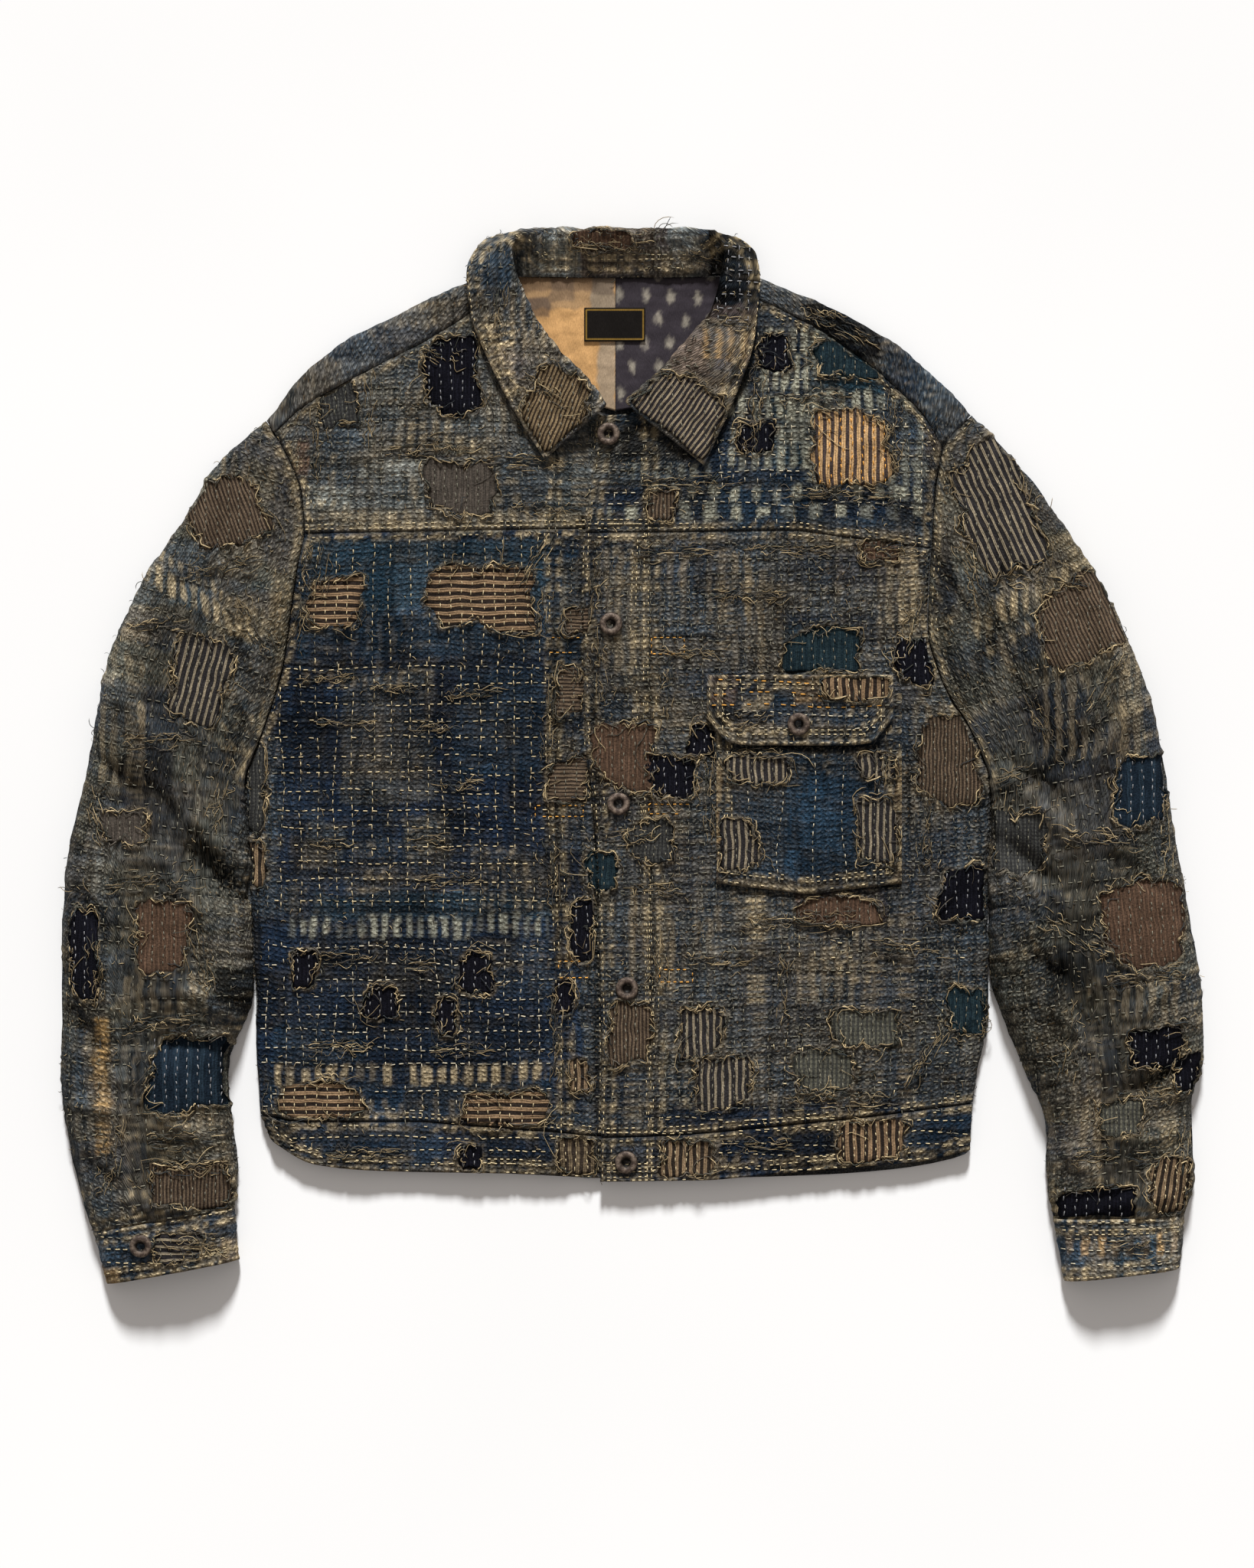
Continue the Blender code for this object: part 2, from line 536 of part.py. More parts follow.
def across_back(left_x, right_x, rolled):
    """Columns of a back piece: a rolled side, shares of the width, the other rolled side."""
    turn = np.radians(ARC)
    offset = FOLD * (1 - np.cos(turn)) if rolled else np.linspace(0, FOLD, len(ARC))
    rise = FOLD * (1 - np.sin(turn)) - SEAM / 2 * np.cos(turn) if rolled else np.zeros(len(ARC))
    middle = left_x + FOLD + (right_x - left_x - 2 * FOLD) * np.array(BACK_SHARES)
    x = np.concatenate([left_x + offset, middle, (right_x - offset)[::-1]])
    z = np.concatenate([rise, np.zeros(len(middle)), rise[::-1]])
    return x, z


def back_panel():
    """Back below its yoke: flat on the surface, its sides rolled up to the side seams."""
    left, right = body_edge("left"), body_edge("right")
    rows = []
    for number in range(len(SIDE["left"])):
        x, z = across_back(left[number][0], right[number][0], number <= UNDERARM_ROW)
        share = (x - x[0]) / (x[-1] - x[0])
        y = left[number][1] + (right[number][1] - left[number][1]) * share
        if number == 0:
            y += SEAM / 2
        if number == len(SIDE["left"]) - 1:
            y -= SEAM / 2
        rows.append(np.stack([x, y, z], axis=1))
    return facing(np.array(rows), up=False)


def back_waistband():
    """Back waistband: flat, its ends rolled up to the front waistbands."""
    left, right = body_edge("left")[0], body_edge("right")[0]
    upper_x, rise = across_back(left[0], right[0], True)
    lower_x, _ = across_back(HEM["left"][0].x, HEM["right"][-1].x, True)
    share = (upper_x - upper_x[0]) / (upper_x[-1] - upper_x[0])
    top = left[1] + (right[1] - left[1]) * share - 2 * SEAM
    low_left, low_right = HEM["left"][0].y, HEM["right"][-1].y
    sag = HEM_SAG * np.sqrt(np.clip(1 - (2 * share - 1) ** 2, 0, 1))
    low = low_left + (low_right - low_left) * share - sag
    rows = []
    for step in (0.0, 0.5, 1.0):
        x = upper_x + (lower_x - upper_x) * step
        rows.append(np.stack([x, top + (low - top) * step, rise], axis=1))
    return facing(np.array(rows), up=False)


def strip_columns(side):
    """A shoulder strip's columns, armhole to neck: back edge, fold around, front seam."""
    armhole_shift = body_edge(side)
    seam = np.array([(row.seam_x, row.seam_y) for row in SHOULDER[side]], float)
    edge = np.array([(row.edge_x, row.edge_y) for row in SHOULDER[side]], float)
    outward = SEAM / 2 if side == "left" else -SEAM / 2
    seam = shift_seam(seam, outward)
    seam[0] = armhole_shift[-2] + (seam[0] - armhole_shift[-2]) * 0.6
    edge[0] = armhole_shift[-1]
    inward = unit(seam - edge)
    columns = []
    for seam_point, edge_point, heading in zip(seam, edge, inward):
        around = []
        for turn in (-90, -50, -20, 20, 50, 90):
            plan = edge_point + heading * FOLD * (1 - math.cos(math.radians(turn)))
            around.append((*plan, FOLD + FOLD * math.sin(math.radians(turn))))
        around.append((*seam_point, TOP))
        columns.append(around)
    return np.array(columns)


def back_yoke():
    """Back yoke: flat from its seam to the shoulders, where it folds over to the front."""
    left, right = strip_columns("left"), strip_columns("right")[::-1]
    neck_x = np.linspace(left[-1][0][0], right[0][0][0], 6)[1:-1]
    neck = np.zeros((len(neck_x), left.shape[1], 3))
    neck[:, :, 0] = neck_x[:, None]
    neck[:, :, 1] = LINING_TOP
    columns = np.concatenate([left, neck, right])
    count = len(columns)
    start = len(SIDE["left"]) - 1
    left_edge, right_edge = body_edge("left")[start:-1], body_edge("right")[start:-1]
    bottom = len(left_edge)
    share = np.linspace(0, 1, count)
    low_x = left_edge[0][0] + (right_edge[0][0] - left_edge[0][0]) * share
    low_y = left_edge[0][1] + (right_edge[0][1] - left_edge[0][1]) * share + SEAM / 2
    rows = []
    for number in range(bottom):
        step = number / (bottom - 0.4)
        x = low_x + (columns[:, 0, 0] - low_x) * step
        y = low_y + (columns[:, 0, 1] - low_y) * step
        if number:
            x[0], y[0] = left_edge[number]
            x[-1], y[-1] = right_edge[number]
        rows.append(np.stack([x, y, np.zeros(count)], axis=1))
    grid = np.array(rows + [columns[:, level] for level in range(columns.shape[1])])
    keep = np.ones((grid.shape[0] - 1, count - 1), bool)
    keep[bottom:, len(left) - 1:count - len(right)] = False
    for level in range(bottom + 1, grid.shape[0]):
        lift = (level - bottom) * TURN_STEP
        grid[level, len(left):count - len(right), 1] += lift
    return grid, keep


def spread(width, shares, outer_round, inner_round):
    """Distances from the outer end for each column: round end, shares between, round end."""
    turn = 1 - np.cos(np.radians(ARC))
    middle = outer_round + (width - outer_round - inner_round) * shares
    return np.concatenate([outer_round * turn, middle, (width - inner_round * turn)[::-1]])


def arm_grid(side, ribs, upper, folds=()):
    """A sleeve's upper or under panel: each rib is a round end, a level crown, a round end.

    The first rib is the armhole. The others sag towards the cuff and straighten below.
    The under panel is flat on the surface between its round ends.
    """
    away = SEAM / 2 + ARMHOLE_GAP
    line = shift_seam(armhole(side), -away if side == "left" else away)
    steps = np.concatenate([[0], np.cumsum(np.linalg.norm(np.diff(line, axis=0), axis=1))])
    shares = (steps[1:-1] - FOLD) / (steps[-1] - 2 * FOLD)
    rows = []
    for number, rib in enumerate(ribs):
        outer_round = rib.outer_round if upper else FOLD
        inner_round = rib.inner_round if upper else FOLD
        start, end = np.array([rib.outer_x, rib.outer_y]), np.array([rib.inner_x, rib.inner_y])
        at_armhole = ribs is SLEEVE[side] and number == 0
        width = steps[-1] if at_armhole else float(np.linalg.norm(end - start))
        distance = spread(width, shares, outer_round, inner_round)
        share = distance / width
        if at_armhole:
            plan = np.stack([np.interp(distance, steps, line[:, axis]) for axis in (0, 1)], axis=1)
        else:
            heading = (end - start) / width
            down = np.array([heading[1], -heading[0]]) * (1 if side == "left" else -1)
            sag = rib.sag * 2 * share * (1 - share)
            plan = start + (end - start) * share[:, None] + down * sag[:, None]
        out = np.sqrt(1 - (1 - np.clip(distance / outer_round, 0, 1)) ** 2)
        into = np.sqrt(1 - (1 - np.clip((width - distance) / inner_round, 0, 1)) ** 2)
        round_off = out * into
        if upper:
            crown = 0 if at_armhole else CROWN * (1 - (2 * share - 1) ** 2)
            lift = 0 if at_armhole else fold_height(plan[:, 0], plan[:, 1], folds) * round_off
            z = FOLD + SEAM / 2 + (rib.height + crown - FOLD - SEAM / 2) * round_off + lift
        else:
            z = (FOLD - SEAM / 2) * (1 - round_off)
        rows.append(np.column_stack([plan, z]))
    return np.array(rows)


def inset_ends(grid, top, bottom):
    """Move the first and last rows towards their neighbours, to open a seam there."""
    grid = grid.copy()
    if top:
        grid[0] += unit(grid[1] - grid[0]) * top
    if bottom:
        grid[-1] += unit(grid[-2] - grid[-1]) * bottom
    return grid


def clear_side(grid, side):
    """Move a sleeve grid below its armhole away from the body by a seam."""
    grid = grid.copy()
    grid[1:, :, 0] += -SEAM if side == "left" else SEAM
    return grid


def sleeve(side, upper):
    """One sleeve panel, armhole to cuff seam."""
    grid = arm_grid(side, SLEEVE[side], upper, FOLDS["sleeve_" + side])
    grid = inset_ends(clear_side(grid, side), 0, SEAM / 2)
    return facing(grid, up=upper)


def cuff(side):
    """A cuff: the upper and under halves of each rib joined into one ring."""
    over = arm_grid(side, CUFF[side], True)
    under = arm_grid(side, CUFF[side], False)
    ring = np.concatenate([over, under[:, ::-1][:, 1:-1]], axis=1)
    ring = inset_ends(clear_side(ring, side), SEAM / 2, 0)
    outward = normals_of(ring, closed=True)[:, len(ARC) + 3, 2].mean()
    return ring if outward > 0 else ring[:, ::-1]


def collar():
    """The collar: each row goes from the neck seam up the stand, over the roll and down."""
    rows = []
    for row in COLLAR:
        base = np.array([row.base_x, row.base_y, row.base_z])
        fold = np.array([row.fold_x, row.fold_y, row.fold_z])
        edge = np.array([row.edge_x, row.edge_y, row.edge_z])
        beyond = unit(fold - (base + edge) / 2)
        apart = unit(np.cross(beyond, np.cross(edge - base, beyond)))
        stand, fall = fold - apart * COLLAR_ROLL, fold + apart * COLLAR_ROLL
        back = beyond * COLLAR_ROLL
        rows.append([base, (base * 0.55 + (stand - back) * 0.45), stand - back,
                     fold - apart * COLLAR_ROLL * 0.8 + back * 0.4, fold + back,
                     fold + apart * COLLAR_ROLL * 0.8 + back * 0.4, fall - back,
                     (edge * 0.5 + (fall - back) * 0.5), edge])
    middle = np.array(rows)
    outward = normals_of(middle)
    if outward[len(COLLAR) // 2, 2, 2] < 0:
        middle = middle[:, ::-1]
        outward = normals_of(middle)
    return middle + outward * CLOTH / 2


def flat_piece(left, right, lower, upper, level, puff=0.0, columns=7, rows=5):
    """A small piece on a front: columns between two sides, rows between two edge functions."""
    across = np.linspace(0, 1, columns)
    x = left + (right - left) * across
    grid = []
    for share in np.linspace(0, 1, rows):
        y = lower(across) + (upper(across) - lower(across)) * share
        z = level + puff * np.sin(np.pi * across) * np.sin(np.pi * share)
        grid.append(np.stack([x, y, z + np.zeros(columns)], axis=1))
    return facing(np.array(grid), up=True)


def pocket():
    """Patch pocket with a shallow point, its upper edge under the flap."""
    def lower(share):
        return POCKET_CORNER + (POCKET_POINT - POCKET_CORNER) * (1 - np.abs(2 * share - 1))

    def upper(share):
        return POCKET_TOP + 0 * share

    return flat_piece(POCKET_LEFT, POCKET_RIGHT, lower, upper, TOP + SEAM + TRIM, POCKET_PUFF)


def pocket_flap():
    """Flap with cut lower corners, lying on the pocket."""
    cut = FLAP_CUT / (FLAP_RIGHT - FLAP_LEFT)

    def lower(share):
        near = np.minimum(share, 1 - share)
        return FLAP_BOTTOM + (FLAP_CORNER - FLAP_BOTTOM) * np.clip(1 - near / cut, 0, 1)

    def upper(share):
        return FLAP_TOP + 0 * share

    level = TOP + 2 * (SEAM + TRIM) + POCKET_PUFF * 0.8
    return flat_piece(FLAP_LEFT, FLAP_RIGHT, lower, upper, level, 0.5, columns=9, rows=4)


def neck_lining(side):
    """Half of the back neck lining, as far as it shows, on the back yoke."""
    left = LINING_LOWER[side][0].x
    right = LINING_LOWER[side][-1].x
    if side == "left":
        right = LINING_SEAM_X - SEAM / 2
    else:
        left = LINING_SEAM_X + SEAM / 2

    def lower(share):
        return along(LINING_LOWER[side], left + (right - left) * share, "x", "y")

    def upper(share):
        return LINING_TOP + 0 * share

    return flat_piece(left, right, lower, upper, CLOTH + SEAM + LINING, 0.0, 6, 3)


def neck_label():
    """Plain woven label on the lining."""
    left, right, bottom, top = LABEL
    level = CLOTH + 2 * (SEAM + LINING)
    return flat_piece(left, right, lambda share: bottom + 0 * share,
                      lambda share: top + 0 * share, level, 0.0, 3, 3)


def add_button(name, place, normal):
    """A turned doughnut button, standing on the cloth along its normal."""
    section = [(share * BUTTON_RADIUS * MM, height * MM) for share, height in BUTTON_SECTION]
    vertices, faces = [(0, 0, section[0][1]), (0, 0, section[-1][1])], []
    rings = section[1:-1]
    for radius, height in rings:
        for side in range(BUTTON_SIDES):
            angle = 2 * math.pi * side / BUTTON_SIDES
            vertices.append((radius * math.cos(angle), radius * math.sin(angle), height))
    for side in range(BUTTON_SIDES):
        after = (side + 1) % BUTTON_SIDES
        faces.append((0, 2 + after, 2 + side))
        for ring in range(len(rings) - 1):
            a = 2 + ring * BUTTON_SIDES
            b = a + BUTTON_SIDES
            faces.append((a + side, a + after, b + after, b + side))
        last = 2 + (len(rings) - 1) * BUTTON_SIDES
        faces.append((1, last + side, last + after))
    mesh = bpy.data.meshes.new(name)
    mesh.from_pydata(vertices, [], faces)
    mesh.materials.append(material("bronze"))
    mesh.shade_smooth()
    made = bpy.data.objects.new(name, mesh)
    made.location = Vector((place[0], place[1] - CENTRE_Y, place[2])) * MM
    made.rotation_mode = "QUATERNION"
    made.rotation_quaternion = Vector(normal).to_track_quat("Z", "Y")
    bpy.context.scene.collection.objects.link(made)


def block_for(cover, grid):
    """The cells of a panel that a patch covers: those nearest to its place, off the folds."""
    side = len(ARC) - 1
    a, b, c, d = cells_of(grid[:, side:-side])
    centre = (a + b + c + d) / 4
    middle = np.array([(cover.x0 + cover.x1) / 2, (cover.y0 + cover.y1) / 2])
    away = np.hypot(*np.moveaxis(centre[..., :2] - middle, -1, 0))
    row, column = np.unravel_index(away.argmin(), away.shape)
    wide = np.linalg.norm((b - a)[row, column])
    high = np.linalg.norm((d - a)[row, column])
    rows = min(max(1, round((cover.y1 - cover.y0) / high)), away.shape[0])
    columns = min(max(1, round((cover.x1 - cover.x0) / wide)), away.shape[1])
    row = int(np.clip(row - (rows - 1) // 2, 0, away.shape[0] - rows))
    column = int(np.clip(column - (columns - 1) // 2, 0, away.shape[1] - columns)) + side
    return row, row + rows, column, column + columns


def add_patch(cover, grid):
    """A patch over whole cells of a panel: the panel's own points, moved out."""
    row0, row1, column0, column1 = block_for(cover, grid)
    points = (slice(row0, row1 + 1), slice(column0, column1 + 1))
    normal = normals_of(grid)
    moved = (grid + normal * (SEAM + PATCH))[points]
    under = (grid + normal * SEAM)[points]
    split = splits_of(grid)[row0:row1, column0:column1]
    vertices, faces = wall(moved, under, split)
    add_object(cover.name, vertices, faces, cover.colour)


def cuff_seat(ring, place):
    """Point and normal of the cuff's top face nearest to a plan place."""
    normal = normals_of(ring, closed=True)
    flat, across = ring.reshape(-1, 3), normal.reshape(-1, 3)
    reach = np.hypot(flat[:, 0] - place.x, flat[:, 1] - place.y) + 1000 * (across[:, 2] < 0.3)
    nearest = int(reach.argmin())
    return flat[nearest], across[nearest]


def facing_masked(grid):
    """The back yoke's grid with its columns turned so that its flat part points down."""
    return grid if normals_of(grid)[1, :, 2].mean() < 0 else grid[:, ::-1]


def mask_for(grid, keep):
    """The kept cells in the same column order as facing_masked gives the grid."""
    return keep if normals_of(grid)[1, :, 2].mean() < 0 else keep[:, ::-1]


def main():
    """Build every piece of the jacket."""
    clear_scene()
    panels = {
        "front_left": (front_panel("left"), "indigo"),
        "front_right": (front_panel("right"), "grey"),
        "front_yoke_left": (front_yoke("left"), "grey"),
        "front_yoke_right": (front_yoke("right"), "indigo"),
        "waistband_left": (waistband("left"), "indigo"),
        "waistband_right": (waistband("right"), "indigo"),
        "waistband_back": (back_waistband(), "indigo"),
        "back_panel": (back_panel(), "grey"),
        "sleeve_left_upper": (sleeve("left", True), "grey"),
        "sleeve_left_under": (sleeve("left", False), "grey"),
        "sleeve_right_upper": (sleeve("right", True), "grey"),
        "sleeve_right_under": (sleeve("right", False), "grey"),
        "collar": (collar(), "brown"),
    }
    for name, (grid, colour) in panels.items():
        shell(name, grid, COLLAR_WALL if name == "collar" else CLOTH, colour)
    yoke, kept = back_yoke()
    shell("back_yoke", facing_masked(yoke), CLOTH, "grey", keep=mask_for(yoke, kept))
    rings = {side: cuff(side) for side in ("left", "right")}
    for side, ring in rings.items():
        shell("cuff_" + side, ring, CLOTH, "indigo", closed=True)
    shell("pocket", pocket(), TRIM, "blue")
    shell("pocket_flap", pocket_flap(), TRIM, "stripe")
    shell("lining_left", neck_lining("left"), LINING, "tan")
    shell("lining_right", neck_lining("right"), LINING, "slate")
    shell("neck_label", neck_label(), LINING, "label")
    for name, place in BUTTONS.items():
        if name == "button_cuff":
            seat, normal = cuff_seat(rings["left"], place)
            add_button(name, seat + normal * SEAM, normal)
            continue
        level = TOP + PLEAT_STEP + SEAM
        if name == "button_flap":
            level = TOP + 2 * (SEAM + TRIM) + POCKET_PUFF * 0.8 + 0.5 + SEAM
        add_button(name, (place.x, place.y, level), (0, 0, 1))
    for cover in COVERS:
        add_patch(cover, panels[cover.panel][0])


main()
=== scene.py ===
"""Looks of a patched boro work jacket, laid flat with its sleeves down."""

import math
from collections import namedtuple
from functools import cache

import bpy
import numpy as np
from bpy.props import FloatProperty, FloatVectorProperty, PointerProperty
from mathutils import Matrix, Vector
from mathutils.bvhtree import BVHTree


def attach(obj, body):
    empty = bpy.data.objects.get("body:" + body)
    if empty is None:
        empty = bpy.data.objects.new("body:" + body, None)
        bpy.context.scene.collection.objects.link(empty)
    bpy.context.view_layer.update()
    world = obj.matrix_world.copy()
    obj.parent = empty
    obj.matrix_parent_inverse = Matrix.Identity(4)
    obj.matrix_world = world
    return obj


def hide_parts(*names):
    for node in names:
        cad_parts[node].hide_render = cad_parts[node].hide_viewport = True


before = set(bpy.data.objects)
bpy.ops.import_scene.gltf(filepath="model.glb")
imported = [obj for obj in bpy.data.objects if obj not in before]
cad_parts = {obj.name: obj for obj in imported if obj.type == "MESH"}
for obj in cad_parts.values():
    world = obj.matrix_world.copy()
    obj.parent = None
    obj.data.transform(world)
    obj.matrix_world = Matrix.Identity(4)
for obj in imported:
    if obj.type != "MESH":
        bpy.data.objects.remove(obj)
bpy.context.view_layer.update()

bl_info = {
    "name": "Patched boro jacket",
    "version": (1, 0, 0),
    "blender": (4, 5, 0),
    "location": "3D View > Sidebar > Jacket",
    "description": "Dresses a laid-flat patched work jacket with cloth, patches and stitches",
    "category": "Object",
}

MM = 0.001


def by_zone(kind, *groups):
    """Records of one kind, from groups that each start with the zone of their rows."""
    return [kind(group[0], *row) for group in groups for row in group[1:]]


def fold_lines(**zones):
    """The folds of each zone, from their numbers."""
    return {zone: [Fold(*row) for row in listed] for zone, listed in zones.items()}


# Driving sizes, mm
CLOTH = 2.8            # quilted wall of the shell
SEAM = 0.3             # between two pieces at a seam, and between a piece and what it lies on
LAY = 3.6              # air between front and back, laid on each other
TOP = 2 * CLOTH + LAY  # top face of the fronts above the surface
FOLD = TOP / 2         # radius of the folds at the sides and shoulders
LINING = 1.0           # thin lining cloth
TRIM = 2.0             # pocket and flap
UNDERLAP = 30.0        # width of the button stand hidden under the front edge
UNDERLAP_TOP = SEAM + 2 * CLOTH  # top face of the button stand, lying on the back
PLEAT_STEP = 1.3       # how far a stitched pleat stands above the front
PLEAT_RUN = 3.0        # width of the pleat's slope
DIP_END = 3.0          # how far inside the front edge the button stand has come down to its level
UNDERARM_GAP = (-110, 10)  # where the back stands out past its side seam, in Y
UNDERARM_STEP = 1.3    # how far it stands out there
HEM_SAG = 25.0         # how far the back hem bows down between the sides
TURN_STEP = 0.5        # keeps the back yoke's unused points across the neck apart
CENTRE_Y = 0.24        # middle of the laid jacket in the tables' Y

Seam = namedtuple("Seam", "y x")
Point = namedtuple("Point", "x y")
Strip = namedtuple("Strip", "seam_x seam_y edge_x edge_y")
Rib = namedtuple("Rib", "outer_x outer_y inner_x inner_y height outer_round inner_round sag")
Collar = namedtuple("Collar", "base_x base_y base_z fold_x fold_y fold_z edge_x edge_y edge_z")
Fold = namedtuple("Fold", "x0 y0 x1 y1 width height")

# Side seam from the waistband up to the underarm, then the armhole up to the yoke seam
SIDE = {
    "left": [Seam(-262, -272), Seam(-231, -275), Seam(-180, -276), Seam(-140, -277),
             Seam(-92, -279.5), Seam(-42, -283), Seam(-16, -284), Seam(16, -271),
             Seam(66, -255.4), Seam(117, -248), Seam(138, -245), Seam(163, -239.7)],
    "right": [Seam(-253.5, 249.5), Seam(-231, 252.6), Seam(-180, 261.5), Seam(-140, 261),
              Seam(-92, 260), Seam(-42, 261.5), Seam(-16, 262), Seam(16, 249),
              Seam(56, 226), Seam(96, 216), Seam(125, 217), Seam(152, 218.5)],
}
UNDERARM_ROW = 6
# Armhole above the yoke seam, up to the end of the shoulder strip
ARMHOLE_TOP = {
    "left": [Point(-241.5, 191), Point(-250, 215), Point(-262, 237)],
    "right": [Point(220, 178), Point(222.5, 202), Point(227, 226)],
}
# Shoulder strip: its front seam and the folded shoulder edge, armhole to neck
SHOULDER = {
    "left": [Strip(-262, 237, -268, 246), Strip(-242, 255, -250, 271),
             Strip(-215, 271, -229, 291.5), Strip(-185, 287, -203, 309),
             Strip(-155, 302, -172, 324), Strip(-130, 317, -138, 340),
             Strip(-108, 331, -104, 351)],
    "right": [Strip(227, 226, 248, 250), Strip(214, 249, 236, 264),
              Strip(196, 267, 216, 283), Strip(176, 285, 192, 303),
              Strip(151, 303, 160, 322.5), Strip(123, 320, 124, 338),
              Strip(91, 335, 87, 351)],
}
# Front neckline from the shoulder strip to the front edge, under the collar
NECKLINE = {
    "left": [Point(-96, 309), Point(-79, 287), Point(-58, 268), Point(-40, 256)],
    "right": [Point(82, 310), Point(67, 287), Point(45, 266), Point(24, 254)],
}
# Edge of the front that lies on top, hem to neck
FRONT_EDGE = [Seam(-309, -24), Seam(-220, -22), Seam(-91, -25), Seam(-29, -29),
              Seam(13, -34), Seam(94, -36), Seam(165, -34), Seam(222, -27), Seam(249, -24)]
# Pleat line beside the placket, hem to yoke
PLEAT = {
    "left": [Seam(-309, -49), Seam(-180, -49), Seam(0, -57), Seam(165, -58), Seam(249, -54)],
    "right": [Seam(-309, 17), Seam(-180, 16), Seam(0, 14), Seam(165, 15), Seam(249, 12)],
}
YOKE_SEAM = {
    "left": [Point(-240, 163), Point(-26, 167), Point(12, 167)],
    "right": [Point(-40, 163.5), Point(120, 165), Point(218.5, 152)],
}
WAIST_SEAM = {
    "left": [Point(-272, -262), Point(-246, -267), Point(-160, -267), Point(-62, -274),
             Point(-22, -278), Point(12, -278)],
    "right": [Point(-24, -278.5), Point(34, -277), Point(106, -270.5), Point(169, -264),
              Point(249.5, -253.5)],
}
HEM = {
    "left": [Point(-266, -279), Point(-252, -291), Point(-224, -301.5), Point(-160, -304),
             Point(-86, -305), Point(-22, -309), Point(12, -308)],
    "right": [Point(-24, -311), Point(57, -310), Point(148, -301.5), Point(210, -296.5),
              Point(247, -288)],
}
# Shares of a front's width, from its side fold to its pleat, where the grid has columns
FRONT_SHARES = [0.14, 0.32, 0.5, 0.68, 0.86]
BACK_SHARES = [0.1, 0.22, 0.36, 0.5, 0.64, 0.78, 0.9]
ARC = [0, 30, 60, 90]  # degrees around a folded edge

# Sleeves: ribs from the armhole to the cuff seam. The inner ends follow the side seam first.
# A rib sags towards the cuff in its middle, by half its last column.
SLEEVE = {
    "left": [Rib(-268, 246, -284, -16, TOP, FOLD, FOLD, 0),
             Rib(-300, 217, -283, -42, 12, 10, 8, 38),
             Rib(-332, 168, -281.3, -67, 17, 20, 16, 45),
             Rib(-361, 121, -279.5, -92, 22, 28, 26, 48),
             Rib(-382, 75, -278.2, -116, 26, 36, 34, 50),
             Rib(-394, 18, -277, -140, 29, 42, 40, 46),
             Rib(-402, -24, -276.5, -160, 30, 46, 44, 36),
             Rib(-413, -70, -278, -180, 31, 48, 46, 25),
             Rib(-417, -115, -287, -200, 31, 48, 44, 14),
             Rib(-417.5, -165, -295, -222, 30, 46, 42, 6),
             Rib(-418, -212, -294.5, -246, 29, 44, 40, 0),
             Rib(-416.5, -252, -292, -272, 27, 42, 38, 0),
             Rib(-409, -298, -289, -300, 25, 38, 34, 0),
             Rib(-395, -347.5, -291.5, -329, 22, 30, 28, 0)],
    "right": [Rib(248, 250, 262, -16, TOP, FOLD, FOLD, 0),
              Rib(285, 211, 261.5, -42, 12, 10, 8, 38),
              Rib(318, 166, 260.8, -67, 17, 20, 16, 45),
              Rib(347, 118, 260, -92, 22, 28, 26, 48),
              Rib(370, 65, 260.5, -116, 26, 36, 34, 50),
              Rib(386, 10, 261, -140, 29, 42, 40, 46),
              Rib(394, -40, 262, -163, 30, 46, 44, 36),
              Rib(403, -88, 272, -194, 31, 48, 46, 25),
              Rib(410, -130, 287, -228, 31, 48, 44, 14),
              Rib(417, -178, 298, -252, 30, 46, 42, 6),
              Rib(418, -215, 304, -274, 29, 44, 40, 0),
              Rib(409, -255, 303, -296, 27, 42, 38, 0),
              Rib(411, -305, 305, -317, 25, 38, 34, 0),
              Rib(404.5, -335.5, 308, -338, 22, 30, 28, 0)],
}
CUFF = {
    "left": [Rib(-395, -347.5, -291.5, -329, 22, 30, 28, 0),
             Rib(-390, -367, -289.5, -348.5, 21, 28, 26, 0),
             Rib(-384.5, -386, -287, -368, 20, 26, 24, 0)],
    "right": [Rib(404.5, -335.5, 308, -338, 22, 30, 28, 0),
              Rib(403.5, -355, 311, -359.5, 21, 28, 26, 0),
              Rib(400, -374.5, 316, -384, 20, 26, 24, 0)],
}
CROWN = 2.0            # extra height along the middle of a sleeve
ARMHOLE_GAP = 0.4      # extra room at the armhole, where the sleeve starts to rise

# The collar, front end to front end around the neck. Base: neck seam. Fold: roll line.
COLLAR = [
    Collar(-29.7, 253.9, 7.8, -21, 256, 13, -64, 217, 12.2),
    Collar(-49.4, 263.6, 7.8, -42, 281, 14, -85, 250, 12.2),
    Collar(-69.3, 279.7, 7.8, -63, 304, 15, -105, 289, 12.2),
    Collar(-89, 302, 7.8, -77.5, 327, 17, -118, 323, 12.4),
    Collar(-102.8, 324.4, 7.8, -86, 350, 20, -121, 351, 13.5),
    Collar(-102, 346, 6.6, -90, 370, 22, -113, 371, 11),
    Collar(-84, 352.3, 5.4, -80, 381.5, 19, -95, 382, 5),
    Collar(-60, 351.5, 4.8, -60, 383, 14, -64, 358, 1.6),
    Collar(-12, 351, 4.8, -12, 382.5, 12.5, -12, 358, 1.6),
    Collar(38, 351.5, 4.8, 38, 383, 14, 42, 358, 1.6),
    Collar(66, 352.3, 5.4, 58, 381, 19, 74, 380, 5),
    Collar(85.5, 346, 6.6, 69, 368, 22, 90, 367, 11),
    Collar(86.3, 325.8, 7.8, 66, 350, 20, 93, 349, 13.5),
    Collar(75, 301.4, 7.8, 60, 327, 17, 91, 322, 12.4),
    Collar(57.2, 279.2, 7.8, 46, 307, 15, 88, 300, 12.2),
    Collar(34.4, 261.3, 7.8, 22, 281, 14, 75, 262, 12.2),
    Collar(8, 253.6, 7.8, -3, 258, 13, 52.5, 212.5, 12.2),
]
